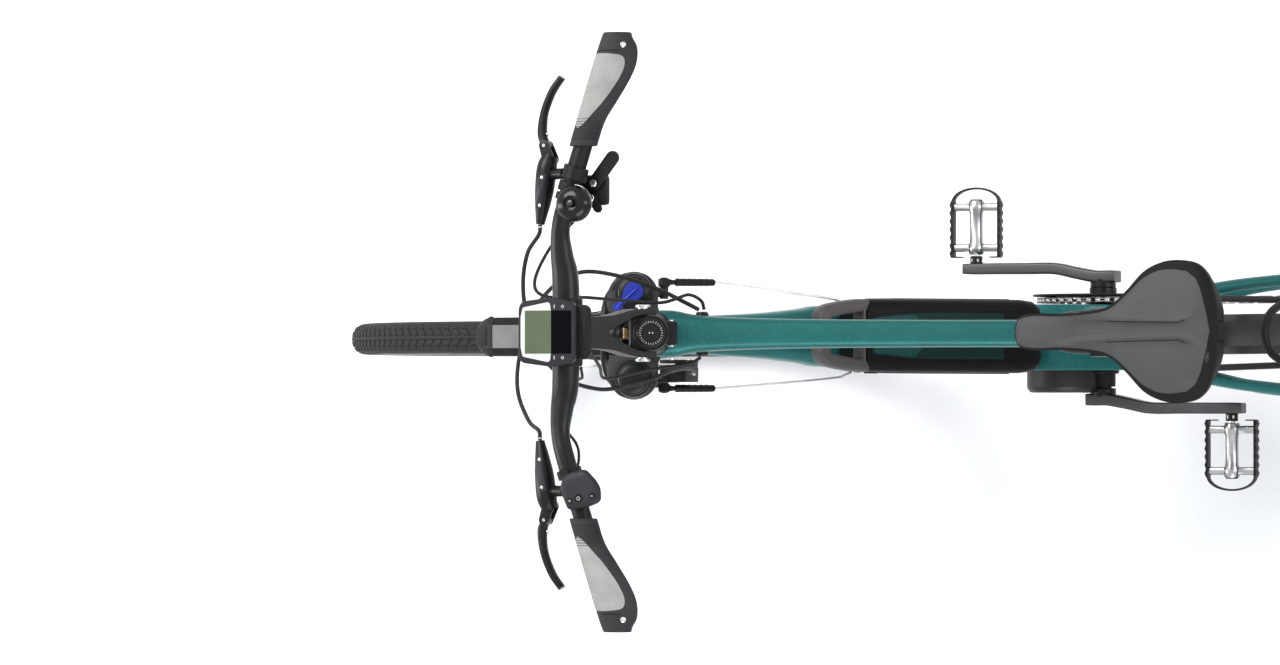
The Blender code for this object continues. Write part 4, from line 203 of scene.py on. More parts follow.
def sweep(path, sections, side=Y, closed=False):
    """Carries one section, or one for each point, along a path; side is the across direction."""
    rings = []
    for i, here in enumerate(path):
        before = path[i - 1] if closed else path[max(i - 1, 0)]
        after = path[(i + 1) % len(path)] if closed else path[min(i + 1, len(path) - 1)]
        along = (after - before).normalized()
        across = (side - along * side.dot(along)).normalized()
        over = along.cross(across)
        section = sections[i] if isinstance(sections[0], list) else sections
        rings.append([here + a * across + b * over for a, b in section])
    return rings_to_mesh(rings, closed)


def stations(table, place, steps=6, square=1.0, sides=24):
    """Smooths rows of (place..., half wide, half high) into a path and its sections."""
    path = curve([place(*row[:-2]) for row in table], steps)
    return path, ovals([row[-2:] for row in table], steps, sides, square)


def pipe(path, radius, sides=16, side=Y, closed=False):
    if isinstance(radius, (int, float)):
        return sweep(path, oval(radius, radius, sides), side, closed)
    return sweep(path, [oval(r, r, sides) for r in radius], side, closed)


def rod(start, end, radius, sides=24, edge=0.0004, end_radius=None):
    """A round bar with broken edges."""
    axis = end - start
    far = radius if end_radius is None else end_radius
    long = axis.length
    profile = [
        (0, 0), (radius - edge, 0), (radius, edge), (far, long - edge), (far - edge, long), (0, long)
    ]
    return lathe(profile, start, axis, sides)


def bush(start, end, outer, inner, sides=40, edge=0.0005):
    axis = end - start
    long = axis.length
    profile = [
        (inner, 0), (outer - edge, 0), (outer, edge), (outer, long - edge), (outer - edge, long),
        (inner, long)
    ]
    return lathe(profile, start, axis, sides, True)


def soften(work, width, segments=2, angle=28):
    """Breaks the sharp edges, as tumbling or a file does."""
    least = math.radians(angle)
    edges = [e for e in work.edges if len(e.link_faces) == 2 and e.calc_face_angle(0.0) > least]
    bmesh.ops.bevel(
        work, geom=edges, offset=width, segments=segments, profile=0.6, affect="EDGES",
        clamp_overlap=True,
    )
    return work


def plate(outline, start, across, up, depth, edge=0.0, segments=2):
    """A flat outline of (across, up) points, given a depth along across x up."""
    through = across.cross(up).normalized() * depth
    near = [start + a * across + b * up for a, b in outline]
    work = rings_to_mesh([near, [point + through for point in near]])
    return soften(work, edge, segments) if edge else work


def box(centre, size, edge=0.0, along=X, up=Z, segments=2):
    """A block of (along, side, up) size round its centre."""
    a, s, u = (value / 2 for value in size)
    side = up.cross(along)
    return plate([(-a, -u), (a, -u), (a, u), (-a, u)], centre + side * s, along, up, 2 * s, edge, segments)


def slab(low, high, edge=0.0):
    size = high - low
    return box((low + high) / 2, (size.x, size.y, size.z), edge)


def bolt(centre, axis, radius, height, socket=0.5):
    """A round bolt head with a hollow for the key, standing on centre."""
    hollow = radius * socket
    profile = [(0, 0), (radius, 0), (radius, height * 0.7), (radius * 0.86, height), (hollow, height)]
    return lathe(profile + [(hollow * 0.9, height * 0.35), (0, height * 0.35)], centre, axis, 24)


def rounded(corners, radius, steps=4):
    """An outline with its corners rounded; radius is one value or one for each corner."""
    out = []
    total = len(corners)
    for i in range(total):
        here = Vector(corners[i])
        back, on = Vector(corners[i - 1]) - here, Vector(corners[(i + 1) % total]) - here
        reach = radius[i] if isinstance(radius, (list, tuple)) else radius
        reach = min(reach, back.length * 0.49, on.length * 0.49)
        a, b = here + back.normalized() * reach, here + on.normalized() * reach
        for step in range(steps + 1):
            t = step / steps
            point = (1 - t) ** 2 * a + 2 * t * (1 - t) * here + t * t * b
            out.append((point.x, point.y))
    return out


def lobe(big, tip, small, sides=16):
    """A drop-shaped outline from a round of radius big to a round of radius small at tip."""
    lean = math.atan2(tip[1], tip[0])
    turns = [lean + PI / 2 + PI * i / sides for i in range(sides + 1)]
    out = [(big * COS(turn), big * SIN(turn)) for turn in turns]
    for i in range(9):
        angle = lean - PI / 2 + PI * i / 8
        out.append((tip[0] + small * COS(angle), tip[1] + small * SIN(angle)))
    return out


def pour(work, whole):
    """Adds one bmesh to another and frees it."""
    part = bpy.data.meshes.new("part")
    work.to_mesh(part)
    work.free()
    whole.from_mesh(part)
    bpy.data.meshes.remove(part)


def merge(works):
    whole = bmesh.new()
    for work in works:
        pour(work, whole)
    return whole


MADE = []


def piece(name, body, nodes, parts, angle=36):
    """One visible piece from (bmesh, material) parts, riding on a body, for the named nodes."""
    mesh = bpy.data.meshes.new(name)
    whole = bmesh.new()
    finishes = []
    for work, material in parts:
        if material not in finishes:
            finishes.append(material)
        for face in work.faces:
            face.material_index = finishes.index(material)
        pour(work, whole)
    bmesh.ops.triangulate(whole, faces=[face for face in whole.faces if len(face.verts) > 4])
    whole.to_mesh(mesh)
    whole.free()
    for material in finishes:
        mesh.materials.append(material)
    mesh.shade_smooth()
    mesh.set_sharp_from_angle(angle=math.radians(angle))
    thing = bpy.data.objects.new(name, mesh)
    bpy.context.scene.collection.objects.link(thing)
    if body:
        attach(thing, body)
    if nodes:
        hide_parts(*nodes)
    MADE.append(name)
    return thing


print("shape tools ready")

# %% [markdown]
# ## Repeats as a rule
# Tread blocks, rotor slots and arms, chain links, dial ticks and grip studs are one unit set down
# many times. On the real bike a tool does this by counting; here one Geometry Nodes group does it.
# It takes the places (points that carry a turn), the unit, a small variation of size and a seed.

# %% Repeats by Geometry Nodes
REPEAT_TAKES = (
    ("Places", "Geometry"), ("Unit", "Object"), ("Finish", "Material"),
    ("Variation", "Float"), ("Seed", "Int"),
)


def repeat_group():
    tree = bpy.data.node_groups.new("set_down_units", "GeometryNodeTree")
    sockets = {}
    for label, kind in REPEAT_TAKES:
        sockets[label] = tree.interface.new_socket(label, in_out="INPUT", socket_type="NodeSocket" + kind)
    tree.interface.new_socket("Geometry", in_out="OUTPUT", socket_type="NodeSocketGeometry")
    nodes, links = tree.nodes, tree.links
    start, end = nodes.new("NodeGroupInput"), nodes.new("NodeGroupOutput")
    unit = nodes.new("GeometryNodeObjectInfo")
    lean = nodes.new("GeometryNodeInputNamedAttribute")
    lean.data_type = "FLOAT_VECTOR"
    lean.inputs["Name"].default_value = "lean"
    least, most = nodes.new("ShaderNodeMath"), nodes.new("ShaderNodeMath")
    least.operation, most.operation = "SUBTRACT", "ADD"
    least.inputs[0].default_value = most.inputs[0].default_value = 1.0
    size = nodes.new("FunctionNodeRandomValue")
    put = nodes.new("GeometryNodeInstanceOnPoints")
    real = nodes.new("GeometryNodeRealizeInstances")
    dress = nodes.new("GeometryNodeSetMaterial")
    links.new(start.outputs["Unit"], unit.inputs["Object"])
    links.new(start.outputs["Variation"], least.inputs[1])
    links.new(start.outputs["Variation"], most.inputs[1])
    links.new(least.outputs[0], size.inputs[2])
    links.new(most.outputs[0], size.inputs[3])
    links.new(start.outputs["Seed"], size.inputs["Seed"])
    links.new(start.outputs["Places"], put.inputs["Points"])
    links.new(unit.outputs["Geometry"], put.inputs["Instance"])
    links.new(lean.outputs["Attribute"], put.inputs["Rotation"])
    links.new(size.outputs[1], put.inputs["Scale"])
    links.new(put.outputs["Instances"], real.inputs["Geometry"])
    links.new(real.outputs["Geometry"], dress.inputs["Geometry"])
    links.new(start.outputs["Finish"], dress.inputs["Material"])
    links.new(dress.outputs["Geometry"], end.inputs["Geometry"])
    return tree, sockets


REPEAT, REPEAT_IN = repeat_group()


def set_down(unit, places, finish, variation=0.0, seed=7):
    """The unit bmesh at each (point, turn) place, as one bmesh. Turns are Euler angles."""
    shape = bpy.data.meshes.new("unit")
    unit.to_mesh(shape)
    unit.free()
    tool = bpy.data.objects.new("unit", shape)
    cloud = bpy.data.meshes.new("places")
    cloud.from_pydata([tuple(point) for point, _ in places], [], [])
    turns = cloud.attributes.new("lean", "FLOAT_VECTOR", "POINT")
    turns.data.foreach_set("vector", [value for _, turn in places for value in turn])
    ground = bpy.data.objects.new("places", cloud)
    for thing in (tool, ground):
        bpy.context.scene.collection.objects.link(thing)
    modifier = ground.modifiers.new("repeat", "NODES")
    modifier.node_group = REPEAT
    for label, value in (("Unit", tool), ("Finish", finish), ("Variation", variation), ("Seed", seed)):
        modifier[REPEAT_IN[label].identifier] = value
    graph = bpy.context.evaluated_depsgraph_get()
    result = bpy.data.meshes.new_from_object(ground.evaluated_get(graph))
    work = bmesh.new()
    work.from_mesh(result)
    for thing in (tool, ground):
        bpy.data.objects.remove(thing)
    bpy.data.meshes.remove(result)
    return work


def round_places(centre, count, start=0.0):
    """Places on an axle, each turned on by an equal share about Y."""
    return [(centre, (0.0, start + 2 * PI * i / count, 0.0)) for i in range(count)]


print("repeat group", REPEAT.name, "inputs", list(REPEAT_IN))

# %% [markdown]
# ## Finishes
# All finishes are node materials in the object's own coordinates: a base colour that drifts
# a little, a fine grain in the bump and a roughness that varies in broad patches.
# A moulded part is grained, an anodised one is even with a fine blast, and paint has a clear
# coat over flakes. One recipe takes these as numbers, and the odd ones add nodes of their own.


# %% Finishes
def finish(
    name, colour, rough, metal=0.0, drift=0.12, grain=900.0, depth=0.05, patch=40.0, coat=0.0, wear=0.08,
    shine=0.5
):
    """A procedural material: drifting colour, patchy roughness and a fine bump."""
    material = bpy.data.materials.new(name)
    material.use_nodes = True
    tree = material.node_tree
    nodes, links = tree.nodes, tree.links
    shader = nodes["Principled BSDF"]
    place = nodes.new("ShaderNodeTexCoord")
    broad, fine = nodes.new("ShaderNodeTexNoise"), nodes.new("ShaderNodeTexNoise")
    broad.inputs["Scale"].default_value = patch
    broad.inputs["Detail"].default_value = 4.0
    fine.inputs["Scale"].default_value = grain
    fine.inputs["Detail"].default_value = 2.0
    tint, dull = nodes.new("ShaderNodeValToRGB"), nodes.new("ShaderNodeMapRange")
    for stop, share in zip(tint.color_ramp.elements, (1 - drift, 1 + drift)):
        stop.color = (*[min(1.0, value * share) for value in colour], 1)
    tint.color_ramp.elements[0].position, tint.color_ramp.elements[1].position = 0.3, 0.7
    dull.inputs["To Min"].default_value = max(0.03, rough - wear)
    dull.inputs["To Max"].default_value = min(1.0, rough + wear)
    bump = nodes.new("ShaderNodeBump")
    bump.inputs["Strength"].default_value = 1.0
    bump.inputs["Distance"].default_value = depth / 1000.0
    for noise in (broad, fine):
        links.new(place.outputs["Object"], noise.inputs["Vector"])
    links.new(broad.outputs["Fac"], tint.inputs["Fac"])
    links.new(tint.outputs["Color"], shader.inputs["Base Color"])
    links.new(broad.outputs["Fac"], dull.inputs["Value"])
    links.new(dull.outputs["Result"], shader.inputs["Roughness"])
    links.new(fine.outputs["Fac"], bump.inputs["Height"])
    links.new(bump.outputs["Normal"], shader.inputs["Normal"])
    shader.inputs["Metallic"].default_value = metal
    shader.inputs["Specular IOR Level"].default_value = shine
    if coat:
        shader.inputs["Coat Weight"].default_value = coat
        shader.inputs["Coat Roughness"].default_value = 0.06
    return material


def part_of(material, kind):
    return next(node for node in material.node_tree.nodes if node.bl_idname == kind)


def paint(name, colour, light):
    """Metallic lacquer: flakes lie under the clear coat and catch the light one by one."""
    material = finish(name, colour, 0.42, 0.50, 0.10, 2600.0, 0.02, 25.0, 0.12, 0.05, 0.2)
    nodes, links = material.node_tree.nodes, material.node_tree.links
    flakes, glint = nodes.new("ShaderNodeTexVoronoi"), nodes.new("ShaderNodeValToRGB")
    mix = nodes.new("ShaderNodeMixRGB")
    flakes.inputs["Scale"].default_value = 3200.0
    glint.color_ramp.elements[0].position = 0.55
    mix.inputs["Color2"].default_value = (*light, 1)
    shader = nodes["Principled BSDF"]
    links.new(part_of(material, "ShaderNodeTexCoord").outputs["Object"], flakes.inputs["Vector"])
    links.new(flakes.outputs["Color"], glint.inputs["Fac"])
    links.new(glint.outputs["Color"], mix.inputs["Fac"])
    links.new(part_of(material, "ShaderNodeValToRGB").outputs["Color"], mix.inputs["Color1"])
    links.new(mix.outputs["Color"], shader.inputs["Base Color"])
    return material


def grained(name, colour, rough, cell=1400.0, depth=0.06, metal=0.0, shine=0.35):
    """Moulded plastic or cover with a leather-like grain."""
    material = finish(name, colour, rough, metal, 0.10, cell, depth, shine=shine)
    nodes, links = material.node_tree.nodes, material.node_tree.links
    cells = nodes.new("ShaderNodeTexVoronoi")
    cells.feature = "DISTANCE_TO_EDGE"
    cells.inputs["Scale"].default_value = cell
    links.new(part_of(material, "ShaderNodeTexCoord").outputs["Object"], cells.inputs["Vector"])
    links.new(cells.outputs["Distance"], part_of(material, "ShaderNodeBump").inputs["Height"])
    return material


TEAL = paint("teal_lacquer", (0.010, 0.092, 0.088), (0.045, 0.28, 0.27))
TEAL_INLAY = finish("teal_inlay_lacquer", (0.003, 0.019, 0.0175), 0.42, 0.2, 0.08, 1400.0, 0.01, shine=0.15)
# A lighter teal for the inlay's end by the handle: a painted highlight where the surface curves down.
TEAL_PAINTED_HIGHLIGHT = finish("teal_painted_highlight_lacquer", (0.005, 0.044, 0.041), 0.42, 0.2, 0.08, 1400.0, 0.01, shine=0.2)
TYRE = finish("tyre_compound", (0.017, 0.017, 0.0175), 0.80, 0.0, 0.25, 1500.0, 0.10, 18.0, 0.0, 0.10, 0.35)
RUBBER = finish("soft_rubber", (0.009, 0.009, 0.0095), 0.66, 0.0, 0.2, 1800.0, 0.06, shine=0.35)
RIB_GREY = finish("grey_rubber_inlay", (0.30, 0.30, 0.29), 0.7, shine=0.3)
PLASTIC = grained("black_moulded_plastic", (0.006, 0.006, 0.0065), 0.48, shine=0.2)
GUARD = grained("mudguard_plastic", (0.006, 0.006, 0.007), 0.42, 2200.0, 0.03, shine=0.2)
# The guards' crown bands are painted lighter than the guard: a painted reflection, bright on the front
# guard and faint on the rear.
GUARD_PAINTED_REFLECTION = finish("front_guard_painted_reflection", (0.150, 0.152, 0.155), 0.40)
GUARD_FAINT_PAINTED_REFLECTION = finish("rear_guard_faint_painted_reflection", (0.024, 0.024, 0.025), 0.40, shine=0.3)
CASE_GREY = finish("dark_grey_casing", (0.020, 0.0195, 0.024), 0.46, 0.0, 0.1, 1200.0, 0.02, shine=0.2)
CASTING = finish("black_die_casting", (0.010, 0.010, 0.011), 0.42, 0.2, 0.15, 1500.0, 0.05, shine=0.4)
GLOSS = finish(
    "satin_black_case", (0.0055, 0.0055, 0.006), 0.44, 0.0, 0.1, 1400.0, 0.006, 30.0, 0.0, 0.05, 0.08
)
ANODISED = finish("black_anodised", (0.011, 0.011, 0.012), 0.34, 0.55, 0.12, 2600.0, 0.012, shine=0.4)
GREY_ALLOY = finish("satin_grey_alloy", (0.055, 0.056, 0.060), 0.36, 0.8, 0.12, 2400.0, 0.014)
SILVER = finish("bead_blasted_alloy", (0.60, 0.60, 0.61), 0.30, 1.0, 0.08, 2800.0, 0.010)
STEEL = finish("bright_steel", (0.62, 0.62, 0.61), 0.20, 1.0, 0.06, 900.0, 0.004)
DARK_STEEL = finish("black_oxide_steel", (0.05, 0.05, 0.052), 0.32, 1.0)
CHAIN = finish("oiled_chain_steel", (0.20, 0.19, 0.17), 0.30, 1.0, 0.3, 500.0, 0.02, 160.0, 0.0, 0.12)
COVER = grained("saddle_cover", (0.050, 0.050, 0.052), 0.60, 1100.0, 0.12)
# Darker film for the saddle's weld seams, and painted shade on its rim and sloping sides.
COVER_SEAMS_AND_PAINTED_SHADE = grained("saddle_seams_and_painted_side_shade", (0.008, 0.008, 0.0085), 0.60, 1300.0, 0.12, shine=0.12)
BLUE = finish("blue_anodised", (0.016, 0.034, 0.36), 0.36, 0.3, 0.1, 2000.0, 0.01)
BELL_BLACK = finish(
    "bell_enamel", (0.006, 0.006, 0.007), 0.22, 0.1, 0.1, 200.0, 0.002, 30.0, 0.15, 0.03, 0.2
)
WHITE = finish("white_marking", (0.62, 0.62, 0.60), 0.55)
BRASS = finish("zinc_yellow_steel", (0.42, 0.30, 0.13), 0.32, 1.0)
RED = finish("red_lens", (0.34, 0.006, 0.005), 0.10, 0.0, 0.15, 60.0, 0.01, 300.0, 1.0, 0.03)
CLEAR = finish("head_lamp_lens", (0.50, 0.52, 0.54), 0.08, 0.0, 0.1, 350.0, 0.12, 60.0, 1.0, 0.03)
GLASS = finish("display_glass", (0.002, 0.002, 0.003), 0.16, 0.0, 0.1, 50.0, 0.001, 20.0, 0.0, 0.02, 0.05)
LCD = finish(
    "liquid_crystal_panel", (0.088, 0.112, 0.066), 0.35, 0.0, 0.06, 60.0, 0.001, 20.0, 0.1, 0.03, 0.2
)
FRAME_WHITE = finish("display_white_surround", (0.62, 0.63, 0.63), 0.40, 0.0, 0.05, 300.0, 0.004)


def rotor_finish():
    """Ground steel: the wheel leaves fine rings round the axle, drawn by the distance from it."""
    material = finish("ground_rotor_steel", (0.46, 0.46, 0.455), 0.26, 1.0)
    nodes, links = material.node_tree.nodes, material.node_tree.links
    rings = nodes.new("ShaderNodeTexWave")
    rings.wave_type, rings.rings_direction = "RINGS", "Y"
    rings.inputs["Scale"].default_value = 900.0
    rings.inputs["Distortion"].default_value = 2.5
    bump = part_of(material, "ShaderNodeBump")
    bump.inputs["Distance"].default_value = 0.00001
    links.new(part_of(material, "ShaderNodeTexCoord").outputs["Object"], rings.inputs["Vector"])
    links.new(rings.outputs["Fac"], bump.inputs["Height"])
    return material


ROTOR_STEEL = rotor_finish()
print("finishes", len(bpy.data.materials))

# %% [markdown]
# ## Wheels
# The tyres are moulded rubber with a smooth running band, a grooved chevron on each side of it
# and a reflective line on the flank. The rims are extruded, welded and anodised; 28 butted
# steel spokes are laced to two hub flanges and drawn tight with brass nipples in the rim.

# %% Wheels
TREAD_LOW = TYRE_R - 0.0016
FLANK = TYRE_W / 2 - 0.0002
WALL_TOP, TREAD_RISE, ROUNDNESS = RIM_R + 0.0195, TREAD_LOW - RIM_R - 0.0195, 0.82
TREADS, SPOKES, SPOKE_LEAD, SPOKE_HOLES_R = 150, 28, math.radians(62), 0.024
DISC_STEPS, DISC_HOLES, DISC_WAVES, DISC_ARMS, DISC_T = 216, 36, 12, 6, 0.001
DISC_BORE, FRONT_DISC, REAR_DISC = 0.0173, (0.0345, 0.090), (0.0525, 0.080)
HUB_BORE, FRONT_HUB, REAR_HUB = 0.0066, (-0.048, -0.0355, 0.0260, 0.048), (-0.0297, -0.0225, 0.0440, 0.0655)


def tyre_section():
    """Half round on a straight wall, from one bead over the tread to the other."""
    out = [(RIM_R + 0.0006, -0.0098), (RIM_R + 0.0065, -0.0128)]
    for i in range(25):
        turn = PI * i / 24
        flat = min(1.0, abs(SIN(turn)) ** ROUNDNESS)
        out.append((WALL_TOP + TREAD_RISE * flat, -COS(turn) * FLANK))
    return out + [(RIM_R + 0.0065, 0.0128), (RIM_R + 0.0006, 0.0098)]


def tread_height(side):
    share = min(1.0, abs(side) / FLANK)
    return WALL_TOP + TREAD_RISE * math.sqrt(1 - share * share) ** ROUNDNESS


def tread_bar(first, last, lead, width, lift):
    """One raised bar from side first to side last that leans back as it goes outwards."""
    rows = []
    for i in range(5):
        side = first + (last - first) * i / 4
        turn = lead * abs(side) / 0.02
        base, top = tread_height(side) - 0.001, tread_height(side) + lift
        ring = []
        for radius, share in ((base, -0.5), (top, -0.42), (top, 0.42), (base, 0.5)):
            angle = turn + width * share / TYRE_R
            ring.append(Vector((radius * SIN(angle), side, radius * COS(angle))))
        rows.append(ring)
    return rings_to_mesh(rows)


def tyre(name, body, node, axle):
    unit = []
    for hand in (1, -1):
        unit.append(tread_bar(0.0030 * hand, 0.0100 * hand, 0.052, 0.0104, 0.0015))
        unit.append(tread_bar(0.0112 * hand, 0.0162 * hand, 0.042, 0.0092, 0.0011))
    blocks = set_down(merge(unit), round_places(axle, TREADS), TYRE)
    base, top = TREAD_LOW - 0.001, TYRE_R - 0.0001
    band = lathe([(base, -0.0022), (top, -0.0020), (top, 0.0020), (base, 0.0022)], axle, Y, 224, True)
    lines = []
    for hand in (1, -1):
        low, high = RIM_R + 0.0120, RIM_R + 0.0150
        side = (TYRE_W / 2 - 0.0022) * hand
        line = [(low, side), (high, side + 0.0012 * hand), (high, side - 0.001 * hand)]
        lines.append(lathe(line + [(low, side - 0.002 * hand)], axle, Y, 128, True))
    parts = [
        (lathe(tyre_section(), axle, Y, 224, True), TYRE), (blocks, TYRE), (band, TYRE),
        (merge(lines), RIB_GREY)
    ]
    return piece(name, body, [node], parts, 50)


def wheel(name, body, node, axle, sides):
    """Rim, nipples, spokes, valve and hub as one built wheel; sides are the hub's from right to left."""
    shell, flanges = hub(*sides), sides[1:3]
    deep = RIM_R - 0.020
    half = RIM_W / 2
    flank = [
        (RIM_R - 0.0045, 0.0070), (RIM_R - 0.0022, half - 0.0022), (RIM_R + 0.0005, half - 0.0012),
        (RIM_R, half), (RIM_R - 0.0065, half - 0.0002), (RIM_R - 0.0120, half - 0.0018),
        (deep + 0.0025, 0.0065), (deep, 0.0040),
    ]
    section = both_sides(flank)
    parts = [(lathe(section[12:] + section[:12], axle, Y, 168, True), ANODISED)]
    spokes, nipples, elbows = [], [], []
    for i in range(SPOKES):
        turn = 2 * PI * (i + 0.5) / SPOKES
        way = 1 if (i // 2) % 2 else -1
        side, lead, lift = flanges[i % 2], SPOKE_LEAD * way, 0.0016 * way
        inner = axle + SPOKE_HOLES_R * ray(turn + lead) + (side + lift) * Y
        outer = axle + (deep - 0.003) * ray(turn) + 0.0015 * math.copysign(1, side) * Y
        reach = (outer - inner).normalized()
        spokes.append(pipe([inner, outer], 0.0010, 8))
        nipples.append(rod(outer - 0.010 * reach, outer + 0.004 * reach, 0.0019, 8))
        elbows.append(rod(inner - 0.0028 * Y, inner + 0.0028 * Y, 0.0019, 8))
    parts += [(merge(spokes), DARK_STEEL), (merge(nipples), SILVER), (merge(elbows), STEEL)]
    valve = on_wheel(axle, deep + 0.002, 270)
    parts.append((rod(valve, valve + 0.030 * Z, 0.0030, 16), DARK_STEEL))
    parts.append((rod(valve + 0.022 * Z, valve + 0.036 * Z, 0.0042, 16), PLASTIC))
    line = [(HUB_BORE, shell[0][1])] + shell + [(HUB_BORE, shell[-1][1])]
    parts.append((lathe(line, axle, Y, 64, True), ANODISED))
    return piece(name, body, [node], parts, 40)


def hub(right, right_flange, left_flange, left):
    """The turned line of a hub shell from right to left, waisted between its flanges."""
    seat_r, flange_r, barrel = 0.0170, 0.0270, 0.0130
    low, high = right_flange + 0.006, left_flange - 0.006
    out = [(seat_r - 0.0015, right), (seat_r, right + 0.0008), (seat_r, right_flange - 0.0026)]
    out += [
        (flange_r - 0.0012, right_flange - 0.0016), (flange_r, right_flange - 0.0006),
        (flange_r, right_flange + 0.0006)
    ]
    out += [(flange_r - 0.003, right_flange + 0.0016), (barrel + 0.0035, low), (barrel, low + 0.007)]
    out += [(barrel, high - 0.007), (barrel + 0.0035, high), (flange_r - 0.003, left_flange - 0.0016)]
    out += [
        (flange_r, left_flange - 0.0006), (flange_r, left_flange + 0.0006),
        (flange_r - 0.0012, left_flange + 0.0016)
    ]
    return out + [(seat_r, left_flange + 0.0026), (seat_r, left - 0.0008), (seat_r - 0.0015, left)]


def rotor(name, body, node, axle, side, radius):
    """A laser-cut disc: drilled braking ring, wavy edges and six swept spider arms."""
    inner, base, t = radius - 0.0145, axle + side * Y, DISC_T
    rings = []
    for i in range(DISC_STEPS):
        turn = 2 * PI * i / DISC_STEPS
        way, wave = ray(turn), COS(DISC_WAVES * turn)
        outer_at = base + way * (radius - 0.0006 + 0.0006 * wave)
        inner_at = base + way * (inner + 0.0010 * wave)
        rings.append([inner_at - t * Y, outer_at - t * Y, outer_at + t * Y, inner_at + t * Y])
    parts = [(rings_to_mesh(rings, True), ROTOR_STEEL)]
    slot_mark = rod(Vector((0, -t - 0.00006, 0)), Vector((0, t + 0.00006, 0)), 0.0024, 12, 0.00002)
    places = []
    for i in range(DISC_HOLES):
        reach = radius - 0.0075 + 0.0035 * (i % 3 - 1)
        places.append((base + reach * ray(2 * PI * i / DISC_HOLES), (0, 0, 0)))
    parts.append((set_down(slot_mark, places, DARK_STEEL), DARK_STEEL))
    arm_line = curve(
        [(DISC_BORE + 0.004, 0, 0), (0.5 * (DISC_BORE + inner), 0, -0.009), (inner + 0.002, 0, -0.020)], 8
    )
    arm = sweep(arm_line, oval(0.0026, 0.0009, 8, 0.3), X.cross(Y))
    parts.append((set_down(arm, round_places(base, DISC_ARMS), ROTOR_STEEL), ROTOR_STEEL))
    collar, ring_r, bore = DISC_BORE + 0.009, DISC_BORE + 0.0035, DISC_BORE - 0.0001
    carrier = [(DISC_BORE, -0.0012), (collar, -0.0012), (collar, 0.0012), (DISC_BORE, 0.0012)]
    lock_ring = [(bore, 0.0010), (ring_r, 0.0012), (DISC_BORE + 0.003, 0.0026), (bore, 0.0026)]
    parts.append((lathe(carrier, base, Y, 48, True), DARK_STEEL))
    parts.append((lathe(lock_ring, base, Y, 48, True), ANODISED))
    return piece(name, body, [node], parts)


tyre("tyre_front", "front_wheel", "front_tyre", FRONT_AXLE)
tyre("tyre_rear", "rear_wheel", "rear_tyre", REAR_AXLE)
wheel("wheel_front", "front_wheel", "front_wheel", FRONT_AXLE, FRONT_HUB)
wheel("wheel_rear", "rear_wheel", "rear_wheel", REAR_AXLE, REAR_HUB)
rotor("disc_front", "front_wheel", "front_rotor", FRONT_AXLE, *FRONT_DISC)
rotor("disc_rear", "rear_wheel", "rear_rotor", REAR_AXLE, *REAR_DISC)
print("wheels", MADE)

# %% [markdown]
# ## Frame
# Hydroformed alloy tubes are mitred, welded and lacquered as one: a flared head tube, a flat
# top tube with a scooped front end, a broad down tube that carries the battery's rail, a cast
# cradle for the motor, and tapered stays that end in forged dropouts. The weld beads stay
# visible as fine ripples under the paint, as on any welded frame.

# %% Frame
HEAD_LOW, HEAD_TUBE, HEAD_R, STEM_LOW = CROWN + 0.010, 0.165, 0.026, 0.6725
HEAD_HIGH = HEAD_LOW + HEAD_TUBE
TOP_START, TOP_END = steer(HEAD_HIGH - 0.018), seat(0.511)
POST_R, STAY_R, DROPOUT_Y, EYE_Y = 0.0175, 0.0073, 0.0735, 0.0748
KICK_AT = REAR_AXLE + Vector((0.100, 0.0755, -0.040))
PORT_AT = (0.3180, 0, 0.9000)


def bead(path, radius=0.0019):
    """A weld: a rippled line of metal round a joint."""
    return pipe(path, [radius * (1 + 0.22 * (i % 2)) for i in range(len(path))], 8, X, True)


def ring_path(centre, axis, wide, high, side=Y, count=56):
    axis = axis.normalized()
    across = (side - axis * side.dot(axis)).normalized()
    over = axis.cross(across)
    return [
        centre + across * wide * COS(2 * PI * i / count) + over * high * SIN(2 * PI * i / count)
        for i in range(count)
    ]


def along_tube(start, end, rows, square, steps=7, sides=32):
    """A formed tube from rows of (share, half wide, half high) along a straight line."""
    path, sections = stations(rows, lambda share: start.lerp(end, share), steps, square, sides)
    return sweep(path, sections)


